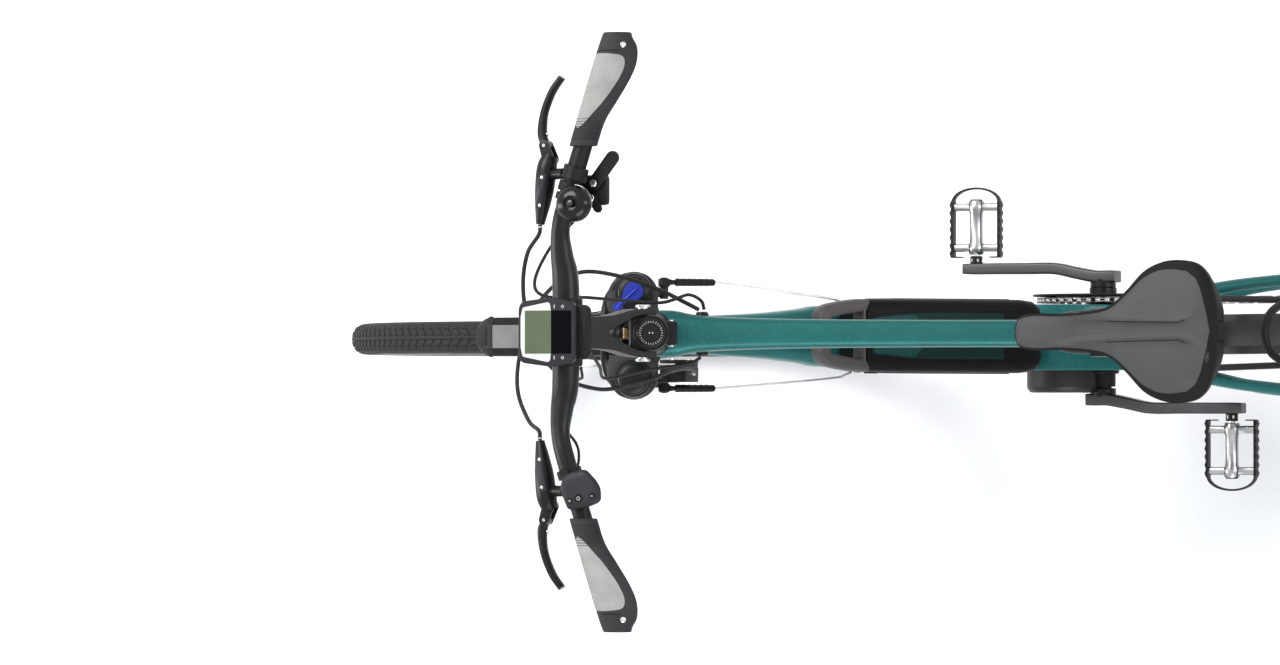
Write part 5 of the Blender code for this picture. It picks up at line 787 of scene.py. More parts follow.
def frame_tubes():
    head = [
        (0, HEAD_LOW), (HEAD_R - 0.0002, HEAD_LOW), (HEAD_R + 0.001, HEAD_LOW + 0.001),
        (HEAD_R + 0.0008, HEAD_LOW + 0.012), (HEAD_R - 0.002, HEAD_LOW + 0.026)
    ]
    head += [
        (HEAD_R - 0.002, HEAD_HIGH - 0.026), (HEAD_R + 0.001, HEAD_HIGH - 0.010),
        (HEAD_R + 0.0015, HEAD_HIGH - 0.001), (HEAD_R + 0.0008, HEAD_HIGH), (0, HEAD_HIGH)
    ]
    parts = [lathe(head, steer(0), STEER_UP, 72)]
    top_rows = [
        (0.020, 0.0285, 0.022), (0.055, 0.0275, 0.022), (0.12, 0.0215, 0.0208), (0.30, 0.0180, 0.019),
        (0.60, 0.0165, 0.0175), (1.0, 0.0165, 0.017)
    ]
    parts.append(along_tube(TOP_START, TOP_END, top_rows, 0.55))
    path = [
        steer(DOWN_JOIN + 0.032), down(0.070, 0.004), down(0.150, 0.001), down(0.205), down(0.262),
        down(0.485), down(0.535)
    ]
    sizes = [
        (0.022, 0.017), (0.0240, 0.0168), (0.0278, 0.0215), (0.0330, 0.0240), (0.0386, 0.0248),
        (0.0388, 0.0248), (0.0370, 0.0248)
    ]
    parts.append(sweep(curve(path, 8), ovals(sizes, 8, 32, 0.5)))
    cradle = [
        (-0.062, -0.020), (-0.068, 0.020), (-0.054, 0.068), (-0.022, 0.100), (0.028, 0.128),
        (0.085, 0.128), (0.128, 0.082), (0.130, 0.044)
    ]
    cradle += [
        (0.1165, 0.046), (0.082, 0.0705), (0.028, 0.0725), (-0.018, 0.0575), (-0.044, 0.033),
        (-0.0525, 0.002), (-0.051, -0.018)
    ]
    radii = [0.004] + [0.02] * 6 + [0.004] + [0.012] * 6 + [0.003]
    parts.append(plate(rounded(cradle, radii, 5), BB + 0.0415 * Y, X, Z, 0.083, 0.0045, 3))
    post = [(0, 0.085), (POST_R, 0.085), (POST_R, 0.5300), (POST_R, 0.541), (0, 0.541)]
    parts.append(lathe(post, BB, SEAT_DIR, 56))
    ports = []
    for hand in (1, -1):
        chain = [
            (-0.058, 0.026, 0.020), (-0.095, 0.0320, 0.021), (-0.160, 0.0520, 0.027),
            (-0.240, 0.0665, 0.036)
        ]
        line = [BB + Vector((x, y * hand, z)) for x, y, z in chain]
        line += [
            REAR_AXLE + Vector((x, DROPOUT_Y * hand, z)) for x, z in ((0.110, -0.016), (0.022, -0.004))
        ]
        heights = (0.0135, 0.0135, 0.013, 0.012, 0.011, 0.009)
        parts.append(sweep(curve(line, 7), ovals([(STAY_R, high) for high in heights], 7, 20, 0.75)))
        stay = []
        for share, side in (
            (0.0, 0.012), (0.15, 0.031), (0.31, 0.053), (0.52, 0.0655), (0.75, 0.0715), (1.0, 0.0735)
        ):
            stay.append(seat_stay(share) + side * hand * Y)
        parts.append(pipe(curve(stay, 7), STAY_R, 20))
        hook = [
            (-0.016, -0.014), (0.000, -0.020), (0.040, -0.018), (0.062, -0.006), (0.050, 0.022),
            (0.034, 0.050), (0.006, 0.054), (-0.009, 0.046), (-0.012, 0.026)
        ]
        if hand < 0:
            hook = [(-0.020, -0.040), (0.000, -0.044), (0.004, -0.022)] + hook[2:]
        start = REAR_AXLE + (0.0745 if hand > 0 else -0.0675) * Y
        parts.append(plate(rounded(hook, 0.004, 3), start, X, Z, 0.007, 0.0009))
        port = [
            (0, 0.012), (0.0085, 0.012), (0.0084, 0.0215), (0.0070, 0.0258), (0.0060, 0.0262), (0, 0.0262)
        ]
        ports.append(lathe(port, spot(*PORT_AT), hand * Y, 32))
    left, right = (seat_stay(0.31) + 0.053 * hand * Y for hand in (1, -1))
    parts.append(rod(left, right, 0.006, 20))
    low = BB + Vector((-0.088, 0, 0.021))
    parts.append(rod(low - 0.03 * Y, low + 0.03 * Y, 0.006, 20))
    parts.append(box(KICK_AT + 0.0175 * Z, (0.036, 0.013, 0.017), 0.002))
    parts.append(box(down(0.3775, 0.0265), (0.285, 0.050, 0.0121), 0.0018, DOWN_DIR, DOWN_UP))
    joints = (
        (seat(0.500), SEAT_DIR, 0.0180, 0.0180), (down(0.030, 0.001), DOWN_DIR, 0.0252, 0.0172),
        (TOP_END.lerp(TOP_START, 0.030), TOP_END - TOP_START, 0.0168, 0.0175),
        (seat(0.1130), SEAT_DIR, 0.0180, 0.0180),
    )
    beads = [bead(ring_path(*joint)) for joint in joints]
    cup = [
        (0, HEAD_HIGH - 0.002), (HEAD_R + 0.0012, HEAD_HIGH - 0.002),
        (HEAD_R + 0.0012, HEAD_HIGH + 0.003), (HEAD_R - 0.001, HEAD_HIGH + 0.006),
        (HEAD_R - 0.0035, STEM_LOW - 0.0005), (0, STEM_LOW - 0.0005)
    ]
    clamp = [
        (0.0175, 0.5290), (0.0210, 0.5290), (0.0214, 0.5300), (0.0214, 0.5420), (0.0208, 0.5429),
        (0.0142, 0.5429), (0.0142, 0.5380)
    ]
    black = ports + [lathe(cup, steer(0), STEER_UP, 56), lathe(clamp, BB, SEAT_DIR, 56, True)]
    black.append(box(seat(0.5365, -0.0245), (0.012, 0.018, 0.0105), 0.0012, SEAT_FWD, SEAT_DIR))
    for hand in (1, -1):
        at = spot(PORT_AT[0], 0.0252 * hand, PORT_AT[2])
        liner = [(0, 0), (0.0062, 0), (0.0062, 0.0010), (0.0050, 0.0014), (0, 0.0014)]
        black.append(lathe(liner, at, hand * Y, 28))
    steel = [rod(REAR_AXLE + DROPOUT_Y * Y, REAR_AXLE + 0.0804 * Y, 0.0105, 32)]
    steel.append(rod(REAR_AXLE - DROPOUT_Y * Y, REAR_AXLE - 0.0814 * Y, 0.0095, 6))
    steel.append(rod(REAR_AXLE - 0.0725 * Y, REAR_AXLE + 0.0745 * Y, 0.0059, 24))
    steel.append(bolt(seat(0.5365, -0.0245, 0.009), Y, 0.0036, 0.003))
    crest = TOP_START.lerp(TOP_END, 0.917) + 0.0172 * Z
    steel.append(
        lathe([(0, 0), (0.0052, 0), (0.0050, 0.0012), (0.0036, 0.0019), (0, 0.0021)], crest, Z, 32)
    )
    return [(merge(parts + beads), TEAL), (merge(black), ANODISED), (merge(steel), SILVER)]


piece("frame_tubes", "frame", ["main_frame"], frame_tubes(), 34)

# %% [markdown]
# ## Fork
# A forged crown is pressed on the steerer and holds two chromed stanchions under threaded
# caps. The magnesium lowers slide on them and are cast in one with their arch, which is why
# the arch stands ahead of the legs. The right cap carries the blue lever of the lockout.

# %% Fork
LEG_AHEAD, LEG_Y = 0.0235, 0.0535
STAY_EYE, STAY_SIDE = FRONT_AXLE + Vector((-0.060, 0, -0.001)), {1: 0.0640, -1: 0.0742}
CROWN_BLACK = finish("crown_black", (0.008, 0.008, 0.0085), 0.45, 0.1, 0.1, 1800.0, 0.02, shine=0.35)
# Grey for the crown's top face over its black body: the top painted lighter, the sides painted dark as in
# shade.
CROWN_LIT_TOP_GREY = finish("crown_lit_top_painted_grey", (0.050, 0.049, 0.048), 0.45, 0.3, 0.10, 2000.0, 0.02, shine=0.3)
CAP_DARK = finish("cap_dark_satin", (0.017, 0.017, 0.0175), 0.36, 0.5, 0.10, 2000.0, 0.01, shine=0.3)


def leg(s, side, hand):
    """A point on a fork leg, s up from the axle's height along the steerer's slope."""
    return steer(s, LEG_AHEAD, side * hand)


def mirrored(rows):
    return rows + [(s, a, -y, w, h) for s, a, y, w, h in reversed(rows[:-1])]


def fork_crown():
    half = [
        (0.0320, 0.0), (0.0330, 0.0170), (0.0555, 0.0270), (0.0570, 0.0450), (0.0540, 0.0600),
        (0.0420, 0.0750), (0.0240, 0.0790)
    ]
    half += [
        (0.0060, 0.0750), (-0.0055, 0.0610), (-0.0065, 0.0440), (-0.0060, 0.0310), (-0.0200, 0.0200),
        (-0.0250, 0.0080), (-0.0255, 0.0)
    ]
    outline = half + [(a, -y) for a, y in reversed(half[1:-1])]
    parts = [
        (plate(rounded(outline, 0.008, 4), steer(0.4470), STEER_FWD, Y, 0.0280, 0.0040, 3), CROWN_BLACK)
    ]
    for hand in (1, -1):
        face = [
            (0.0325, 0.0215), (0.0535, 0.0285), (0.0550, 0.0450), (0.0500, 0.0560), (-0.0020, 0.0560),
            (-0.0045, 0.0440), (-0.0040, 0.0320), (-0.0100, 0.0270), (0.0000, 0.0215)
        ]
        line = rounded([(a, y * hand) for a, y in face], 0.004, 4)
        # Grey plates on the crown's top over its black body: the top painted lit, the sides painted dark as
        # in shade.
        parts.append((plate(line, steer(0.4744), STEER_FWD, Y, 0.0013, 0.0006), CROWN_LIT_TOP_GREY))
    race = [
        (0, 0.455), (0.0215, 0.4710), (0.0250, 0.4720), (0.0248, HEAD_LOW - 0.0003),
        (0, HEAD_LOW - 0.0003)
    ]
    parts += [
        (lathe(race, steer(0), STEER_UP, 48), DARK_STEEL),
        (rod(steer(0.455), steer(0.7178), 0.0142, 32), ANODISED)
    ]
    for hand in (1, -1):
        foot = leg(0, LEG_Y, hand)
        socket = [
            (0.0165, 0.4325), (0.0245, 0.4322), (0.0258, 0.4340), (0.0246, 0.4560), (0.0232, 0.4790),
            (0.0222, 0.4826), (0.0190, 0.4826)
        ]
        parts.append((lathe(socket, foot, STEER_UP, 56, True), CROWN_BLACK))
        parts.append((rod(leg(0.250, LEG_Y, hand), leg(0.442, LEG_Y, hand), 0.0159, 48), DARK_STEEL))
        cap = [
            (0, 0.4725), (0.0192, 0.4725), (0.0192, 0.4838), (0.0188, 0.4850), (0.0166, 0.4866),
            (0.0110, 0.4874), (0, 0.4877)
        ]
        parts.append((lathe(cap, foot, STEER_UP, 72), CAP_DARK))
        rim = [(0.0176, 0.4852), (0.0192, 0.4842), (0.0195, 0.4852), (0.0184, 0.4862)]
        parts.append((lathe(rim, foot, STEER_UP, 72, True), GREY_ALLOY))
    return parts


def fork_lowers():
    cast = []
    for hand in (1, -1):
        rows = [
            (0.362, LEG_Y, 0.0204), (0.357, LEG_Y, 0.0213), (0.335, LEG_Y, 0.0213),
            (0.200, LEG_Y, 0.0198), (0.105, 0.0560, 0.0154), (0.030, 0.0562, 0.0144),
            (0.020, 0.0562, 0.0120)
        ]
        line = curve([leg(s, y, hand) for s, y, _ in rows], 6)
        cast.append(pipe(line, eased([radius for _, _, radius in rows], 6), 40))
        end = [
            (-0.036, 0.060), (-0.034, 0.012), (-0.014, -0.010), (0.000, -0.015), (0.012, -0.010),
            (0.014, 0.003), (0.008, 0.018), (-0.010, 0.034), (-0.014, 0.060)
        ]
        start = FRONT_AXLE + (0.058 if hand > 0 else -0.050) * Y
        cast.append(plate(rounded(end, 0.004, 3), start, STEER_FWD, STEER_UP, 0.008, 0.0012))
        near, far = 0.0525 * hand * Y, (STAY_SIDE[hand] - 0.0060) * hand * Y
        cast.append(rod(STAY_EYE + near, STAY_EYE + far, 0.0056, 24))
        arm = [FRONT_AXLE + Vector((-0.018, 0.058 * hand, 0.010)), STAY_EYE + 0.059 * hand * Y]
        cast.append(pipe(arm, 0.0045, 16))
    mount = [
        (-0.088, 0.016), (-0.086, 0.040), (-0.070, 0.044), (-0.060, 0.036), (-0.040, 0.036),
        (-0.026, 0.044), (-0.012, 0.040), (-0.012, 0.018), (-0.040, 0.016), (-0.060, 0.022),
        (-0.074, 0.016)
    ]
    cast.append(plate(rounded(mount, 0.003, 3), FRONT_AXLE + 0.0565 * Y, X, Z, 0.0064, 0.0012))
    rows = [
        (0.335, 0.040, 0.0535, 0.0063, 0.0098), (0.356, 0.0535, 0.0500, 0.0058, 0.0088),
        (0.372, 0.0600, 0.0300, 0.0058, 0.0066), (0.3765, 0.0605, 0.0, 0.0058, 0.0063)
    ]
    path, sections = stations(mirrored(rows), steer, 6, 0.7, 24)
    cast.append(sweep(path, sections, STEER_FWD))
    seals = [
        bush(leg(0.3618, LEG_Y, hand), leg(0.3655, LEG_Y, hand), 0.0195, 0.0162, 48) for hand in (1, -1)
    ]
    axle = []
    for start, end, radius, sides in (
        (0.057, 0.0638, 0.0105, 32), (-0.057, -0.0648, 0.0095, 6), (-0.0495, 0.0495, 0.0059, 24)
    ):
        axle.append(rod(FRONT_AXLE + start * Y, FRONT_AXLE + end * Y, radius, sides))
    return [(merge(cast), ANODISED), (merge(seals), RUBBER), (merge(axle), SILVER)]


def caliper(name, body, node, axle, degrees, radius, sides, disc, size):
    """A forged caliper over the disc, with its slot, two bolts, the pads and the banjo."""
    turn = math.radians(degrees)
    away, way = ray(turn), Vector((-SIN(turn), 0, COS(turn)))
    (along, across), (inner, outer), (disc_y, disc_r) = size, sides, disc
    centre = axle + radius * away
    line = [
        (-along / 2, -across * 0.3), (-along * 0.3, -across / 2), (along * 0.3, -across / 2),
        (along / 2, -across * 0.3)
    ]
    line += [
        (along / 2, across * 0.25), (along * 0.32, across / 2), (-along * 0.32, across / 2),
        (-along / 2, across * 0.25)
    ]
    line = rounded(line, 0.005, 4)
    parts = []
    for low, high in ((inner, disc_y - 0.0026), (disc_y + 0.0026, outer)):
        parts.append((plate(line, centre + low * Y, way, away, high - low, 0.0012, 3), ANODISED))
    bridge = disc_r + 0.0022 - radius
    high = across * 0.48
    top = [(-along * 0.36, bridge), (along * 0.36, bridge), (along * 0.30, high), (-along * 0.30, high)]
    parts.append((plate(top, centre + (disc_y - 0.004) * Y, way, away, 0.008, 0.0008), ANODISED))
    for reach in (-0.36, 0.36):
        head = centre + reach * along * way + 0.10 * across * away
        parts.append((bolt(head + (inner + 0.0012) * Y, -Y, 0.0046, 0.0030), STEEL))
    piston = centre - 0.05 * across * away + (inner + 0.0008) * Y
    face = [(0, 0), (0.0115, 0), (0.0112, 0.0006), (0.0085, 0.0009), (0.0080, 0.0002), (0, 0.0002)]
    parts.append((lathe(face, piston, -Y, 40), GREY_ALLOY))
    hose_end = centre + (outer * 0.55 + inner * 0.45) * Y + (across / 2) * away
    parts.append((rod(hose_end - 0.003 * away, hose_end + 0.0038 * away, 0.0048, 24), STEEL))
    return piece(name, body, [node], parts)


piece("fork_crown_and_stanchions", "steering", ["fork_crown"], fork_crown(), 38)
piece("fork_lower_legs", "fork", ["fork_lowers"], fork_lowers(), 38)
caliper(
    "caliper_front", "fork", "front_caliper", FRONT_AXLE, 172.0, 0.0865, (0.0270, 0.0560), FRONT_DISC,
    (0.060, 0.038)
)
caliper(
    "caliper_rear", "frame", "rear_caliper", REAR_AXLE, 24.0, 0.069, (0.0450, 0.0672), REAR_DISC,
    (0.056, 0.036)
)
knob_base = steer(0.4879, LEG_AHEAD, -LEG_Y)
LEVER_WAY = Vector((0.0228, 0.0213)).normalized()
tail = [
    (-0.0118, -0.0050), (-0.0105, 0.0072), (-0.0030, 0.0118), (0.0060, 0.0105), (0.0150, 0.0042),
    (0.0200, 0.0030), (0.0255, 0.0046), (0.0312, 0.0046), (0.0330, 0.0)
]
tail += [
    (0.0312, -0.0046), (0.0255, -0.0046), (0.0200, -0.0030), (0.0150, -0.0042), (0.0060, -0.0105),
    (-0.0030, -0.0118), (-0.0105, -0.0072)
]
line = [(a * LEVER_WAY.x - b * LEVER_WAY.y, a * LEVER_WAY.y + b * LEVER_WAY.x) for a, b in tail]
blue = [plate(rounded(line, 0.003, 4), knob_base, STEER_FWD, Y, 0.0062, 0.0018, 3)]
crest = []
for a, h in ((-0.0060, 0.0058), (0.0040, 0.0066), (0.0160, 0.0060), (0.0290, 0.0056)):
    crest.append(knob_base + (LEVER_WAY.x * a * STEER_FWD + LEVER_WAY.y * a * Y) + h * STEER_UP)
blue.append(pipe(curve(crest, 5), [0.0016] * 15 + [0.0012], 12))
piece("lockout_handle", "lockout", ["lockout_lever"], [(merge(blue), BLUE)])

# %% [markdown]
# ## Mudguards
# A ribbon of sandwich plastic is rolled to the wheel's curve: a flat crown between two sloping
# flanks, with a softer rubber nose in front that gives way on a kerb. Steel wires brace it, and
# at the fork they end in clips that let go when a stick is caught.

# %% Mudguards
GUARD_R, GUARD_T, GUARD_HALF = 0.3625, 0.003, 0.02425
WIRE_R, WIRE_END_R, WIRE_END_Y = 0.0018, GUARD_R - 0.004, 0.0222


def guard_ring(axle, degrees, scale=1.0, lift=0.0):
    r, h = GUARD_R + lift, GUARD_HALF * scale
    line = [
        (-h, r - 0.0100), (-h * 0.985, r - 0.0070), (-h * 0.66, r + 0.0016),
        (-h * 0.60, r + GUARD_T - 0.0002), (h * 0.60, r + GUARD_T - 0.0002)
    ]
    line += [
        (h * 0.66, r + 0.0016), (h * 0.985, r - 0.0070), (h, r - 0.0100), (h - 0.0022, r - 0.0100),
        (h * 0.56, r), (-h * 0.56, r), (-h + 0.0022, r - 0.0100)
    ]
    return [on_wheel(axle, radius, degrees, side) for side, radius in line]


def guard_band(axle, first, last, steps):
    """A lighter flat band on the guard's crown: a painted reflection of the lamps."""
    rings = []
    for i in range(steps + 1):
        degrees = first + (last - first) * i / steps
        top = GUARD_R + GUARD_T - 0.00005
        line = [(-0.0148, GUARD_R + 0.001), (-0.0144, top), (0.0144, top), (0.0148, GUARD_R + 0.001)]
        rings.append([on_wheel(axle, radius, degrees, side) for side, radius in line])
    return rings_to_mesh(rings)


def guard(axle, first, last, steps, cap):
    """The guard from its front end to its rear end; cap degrees at the front are the soft nose."""
    start = first + cap
    shell = rings_to_mesh([guard_ring(axle, start + (last - start) * i / steps) for i in range(steps + 1)])
    band = guard_band(axle, start + 0.4, last - 0.6, steps)
    # The band's lighter colour is a painted reflection of the lamps: bright in front, faint at the rear.
    parts = [(shell, GUARD), (band, GUARD_PAINTED_REFLECTION if cap else GUARD_FAINT_PAINTED_REFLECTION)]
    nose = []
    for i in range(17):
        t = i / 16
        flare = 0.66 + 0.30 * min(1.0, t * 2.2) ** 0.6 + 0.12 * max(0.0, 1 - abs(t - 0.72) * 4.5)
        nose.append(guard_ring(axle, first + (cap + 0.6) * t, flare, 0.0016 * t - 0.004 * (1 - t) ** 2))
    if cap:
        tab = box(
            on_wheel(axle, GUARD_R + GUARD_T + 0.0012, first + cap * 0.55), (0.011, 0.021, 0.0022),
            0.0008, X, Z
        )
        parts.append((merge([rings_to_mesh(nose), tab]), RUBBER))
    return parts


def mudguard_front():
    parts = guard(FRONT_AXLE, 81.0, 222.0, 96, 3.4)
    steel, clips = [], []
    for hand in (1, -1):
        eye, side = STAY_EYE, STAY_SIDE[hand]
        clips.append(
            rod(eye + (side - 0.0062) * hand * Y, eye + (side + 0.0052) * hand * Y, 0.0078, 28, 0.0016)
        )
        start, end = eye + side * hand * Y, eye + Vector((-0.055, side * hand, -0.041))
        for shares, radii, sides in (
            ((0.0, 0.16, 0.22), [0.0052, 0.0034, 0.0030], 20),
            ((0.22, 0.225, 0.97, 1.0), [0.0036, 0.0050, 0.0046, 0.0034], 24),
        ):
            clips.append(pipe([start.lerp(end, share) for share in shares], radii, sides))
        for rib in range(6):
            here = start.lerp(end, 0.26 + 0.115 * rib)
            clips.append(pipe([here, here.lerp(end, 0.02)], 0.0053, 24))
        low = on_wheel(FRONT_AXLE, WIRE_END_R, 213.0, WIRE_END_Y * hand)
        bend = end.lerp(low, 0.72) + 0.016 * hand * Y
        wire = [end.lerp(start, 0.2), end, end.lerp(bend, 0.9), low.lerp(bend, 0.85), low]
        steel.append(pipe(curve(wire, 6), WIRE_R, 12))
        clips.append(bolt(eye + (side + 0.0050) * hand * Y, hand * Y, 0.0042, 0.0012))
    brace = steer(0.3765, 0.0605) - FRONT_AXLE
    low, high = (
        FRONT_AXLE + brace.normalized() * reach for reach in (GUARD_R + 0.001, brace.length - 0.0078)
    )
    clips.append(rod(low, high, 0.0058, 24))
    return parts + [(merge(clips), PLASTIC), (merge(steel), SILVER)]


def mudguard_rear():
    parts = guard(REAR_AXLE, 4.0, 212.0, 130, 0.0)
    steel = []
    bridge = seat_stay(0.31) - REAR_AXLE
    away = bridge.normalized()
    boss = rod(
        REAR_AXLE + away * (GUARD_R + 0.001), REAR_AXLE + away * (bridge.length - 0.0063), 0.0058, 24
    )
    for hand in (1, -1):
        eye = REAR_AXLE + Vector((-0.004, EYE_Y * hand, 0.020))
        steel.append(rod(eye, eye + 0.004 * hand * Y, 0.0058, 24))
        high = on_wheel(REAR_AXLE, WIRE_END_R, 158.0, WIRE_END_Y * hand)
        bend = eye.lerp(high, 0.80) + 0.014 * hand * Y
        wire = [eye + 0.0032 * hand * Y, eye.lerp(bend, 0.5), bend, high]
        steel.append(pipe(curve(wire, 6), WIRE_R, 12))
    return parts + [(boss, PLASTIC), (merge(steel), DARK_STEEL)]


piece("mudguard_front", "fork", ["front_mudguard"], mudguard_front(), 30)
piece("mudguard_rear", "frame", ["rear_mudguard"], mudguard_rear(), 30)
print("frame, fork and guards", len(MADE))

# %% [markdown]
# ## Stem
# The adjustable stem is forged: a clamp on the steerer with a bolted pivot, and a Y-shaped arm
# that swings on it. A dial with white ticks closes the clamp's top.

# %% Stem
PIVOT = steer(STEM_LOW + 0.0325, 0.010)
BAR_CENTRE = PIVOT + Vector((0.059, 0.0, 0.100))
STEM_DIR, STEM_L = (BAR_CENTRE - PIVOT).normalized(), (BAR_CENTRE - PIVOT).length
STEM_BACK = STEM_DIR.cross(Y).normalized()
BAR_R, BAR_END_R = 0.0159, 0.0111
DIAL_TOP = STEM_LOW + 0.0585
TICKS = 28


def stem_base():
    turned = ((0, 0), (0.0205, 0), (0.0215, 0.001), (0.0215, 0.0495), (0.0205, 0.051), (0, 0.051))
    body = [lathe([(radius, STEM_LOW + up) for radius, up in turned], steer(0), STEER_UP, 64)]
    body.append(box(PIVOT, (0.032, 0.0424, 0.026), 0.004, STEER_FWD, STEER_UP, 3))
    body.append(
        box(steer(STEM_LOW + 0.0195, -0.0235), (0.015, 0.029, 0.032), 0.003, STEER_FWD, STEER_UP, 3)
    )
    low, rim = DIAL_TOP - 0.0085, 0.0173
    sill, well = DIAL_TOP - 0.0012, DIAL_TOP - 0.0004
    dial = [(0, low), (rim, low), (rim, sill), (rim - 0.0010, DIAL_TOP), (rim - 0.0022, well)]
    dial += [(rim - 0.0062, well), (rim - 0.0070, sill), (0, sill)]
    body.append(lathe(dial, steer(0), STEER_UP, 72))
    # A thin dark strip on the pinch block's back is painted shade in the clamp's slit.
    slit_shade = box(steer(STEM_LOW + 0.0195, -0.0305), (0.0012, 0.0024, 0.0325), 0, STEER_FWD, STEER_UP)
    mark = box(Vector((0, 0, 0)), (0.0024, 0.0005, 0.0003))
    places = []
    for i in range(TICKS):
        angle = 2 * PI * i / TICKS
        along = COS(angle) * STEER_FWD + SIN(angle) * Y
        place = steer(DIAL_TOP - 0.00032) + (rim - 0.0042) * along
        turn = Matrix((along, STEER_UP.cross(along), STEER_UP)).transposed().to_euler()
        places.append((tuple(place), tuple(turn)))
    ticks = set_down(mark, places, WHITE)
    dots = [
        rod(steer(DIAL_TOP - 0.0013, a), steer(DIAL_TOP - 0.0008, a), 0.0009, 16, 0.0002)
        for a in (-0.002, 0.002)
    ]
    steel = [rod(PIVOT - 0.0318 * Y, PIVOT + 0.0318 * Y, 0.0058, 32)]
    for hand in (1, -1):
        steel.append(bolt(PIVOT + 0.0308 * hand * Y, hand * Y, 0.0090, 0.0030))
        for up in (0.0095, -0.0085):
            steel.append(
                bolt(steer(STEM_LOW + 0.0195 + up, -0.0235, 0.0143 * hand), hand * Y, 0.0034, 0.0016)
            )
    spring = []
    for i in range(81):
        angle = 2 * PI * 5 * i / 80
        spring.append(PIVOT + Vector((0.0195, -0.006 + 0.012 * i / 80, 0.0045)) + 0.0034 * ray(angle))
    return [
        (merge(body), ANODISED), (slit_shade, RUBBER), (merge([ticks] + dots), WHITE), (merge(steel), STEEL),
        (pipe(spring, 0.0008, 8), BRASS)
    ]


def stem_arm():
    half = [
        (-0.012, 0.0290), (0.021, 0.0290), (0.052, 0.0200), (STEM_L - 0.026, 0.0188),
        (STEM_L - 0.010, 0.0235), (STEM_L + 0.004, 0.0235)
    ]
    inner = [(0.0600, 0.0016), (0.019, 0.0212), (-0.012, 0.0212)]
    outline = both_sides(half) + [(a, -b) for a, b in reversed(inner)] + inner
    radii = [0.009, 0.03, 0.03, 0.006, 0.004, 0.001]
    radii += radii[::-1] + [0.003, 0.02, 0.003] * 2
    arm = plate(rounded(outline, radii, 5), PIVOT - STEM_BACK * 0.012, STEM_DIR, Y, 0.024, 0.0040, 3)
    ribs = []
    for hand in (1, -1):
        ridge = [
            (-0.008, 0.0254), (0.020, 0.0252), (0.038, 0.0172), (0.056, 0.0080), (0.072, 0.0075),
            (STEM_L - 0.016, 0.0090)
        ]
        line = curve(
            [PIVOT + along * STEM_DIR + side * hand * Y - 0.0100 * STEM_BACK for along, side in ridge], 6
        )
        ribs.append(sweep(line, oval(0.0026, 0.0036, 16), Y))
    clamp = bush(BAR_CENTRE - 0.0238 * Y, BAR_CENTRE + 0.0238 * Y, BAR_R + 0.0055, BAR_R, 64, 0.0014)
    # A thin dark sheet across the bar clamp is painted shade in its slot.
    slot_shade = box(BAR_CENTRE + 0.0190 * STEM_DIR, (0.0064, 0.0470, 0.0014), 0, STEM_DIR, STEM_BACK)
    bolts = []
    for hand in (1, -1):
        for along in (-0.0035, 0.0070):
            at = PIVOT + along * STEM_DIR + 0.0250 * hand * Y - 0.0134 * STEM_BACK
            bolts.append(bolt(at, -STEM_BACK, 0.0026, 0.0011))
        bolts.append(bolt(BAR_CENTRE + STEM_DIR * 0.0212 + hand * 0.0155 * Y, STEM_DIR, 0.0040, 0.0012))
    return [(merge([arm, clamp] + ribs), CROWN_BLACK), (slot_shade, RUBBER), (merge(bolts), SILVER)]


piece("stem_clamp_and_dial", "steering", ["stem_base"], stem_base(), 36)
piece("stem_forged_arm", "cockpit", ["stem_arm"], stem_arm(), 36)

# %% [markdown]
# ## Bar and grips
# The bar is thick where the stem clamps it, with white lines beside the clamp, and drawn thin
# from there on. Each grip is a ribbed sleeve with a wing, a pale leaf of small studs on its top
# and a clamp screw near its end.

# %% Handlebar and grips
BAR_LINE = [
    (0.0, 0.0, 0.0, BAR_R), (0.055, 0.0, 0.0, BAR_R), (0.090, 0.003, 0.004, 0.0135),
    (0.120, 0.003, 0.009, BAR_END_R), (0.152, -0.0055, 0.012, BAR_END_R),
    (0.352, -0.0680, 0.010, BAR_END_R)
]


def bar_at(side):
    """The middle of the handlebar at a distance to the side, left positive."""
    reach = abs(side)
    for here, there in zip(BAR_LINE, BAR_LINE[1:]):
        if reach <= there[0]:
            break
    part = (reach - here[0]) / (there[0] - here[0])
    return BAR_CENTRE + Vector(
        (here[1] + part * (there[1] - here[1]), side, here[2] + part * (there[2] - here[2]))
    )


def handlebar():
    half = [(side, radius) for side, _, _, radius in BAR_LINE[1:-1]] + [(0.232, BAR_END_R)]
    sides = [(-side, radius) for side, radius in reversed(half)] + half
    line = curve([bar_at(side) for side, _ in sides], 7)
    sizes = eased([radius for _, radius in sides], 7)
    marks = []
    for i in range(-5, 6):
        side = 0.0275 + 0.0012 * i
        ring = ring_path(bar_at(side), Y, BAR_R + 0.00002, BAR_R + 0.00002, X, 40)
        marks.append(pipe(ring[2:9], 0.00012, 5))
    return [(pipe(line, sizes, 40, X), ANODISED), (merge(marks), WHITE)]


WING = [
    (0.2190, 0.0162, 0.0155), (0.2196, 0.0172, 0.0162), (0.2225, 0.0170, 0.0165),
    (0.2480, 0.0180, 0.0165), (0.2720, 0.0265, 0.0165), (0.2960, 0.0345, 0.0165),
    (0.3160, 0.0370, 0.0165), (0.3340, 0.0320, 0.0165), (0.3460, 0.0220, 0.0160),
    (0.3514, 0.0185, 0.0152), (0.3519, 0.0165, 0.0138)
]


def wing_point(side, wing, round_r, hand, angle, out=0.0):
    """A point on a grip's section, out past its surface: round ahead, a thin flat wing behind."""
    ahead, high = COS(angle), SIN(angle)
    slim = 1.0 - (0.45 * (wing - round_r) / 0.02 * ahead * ahead if ahead < 0 else 0.0)
    reach = (wing if ahead < 0 else round_r) + out
    return bar_at(min(side, 0.352) * hand) + reach * ahead * X + (round_r * slim + out) * high * Z


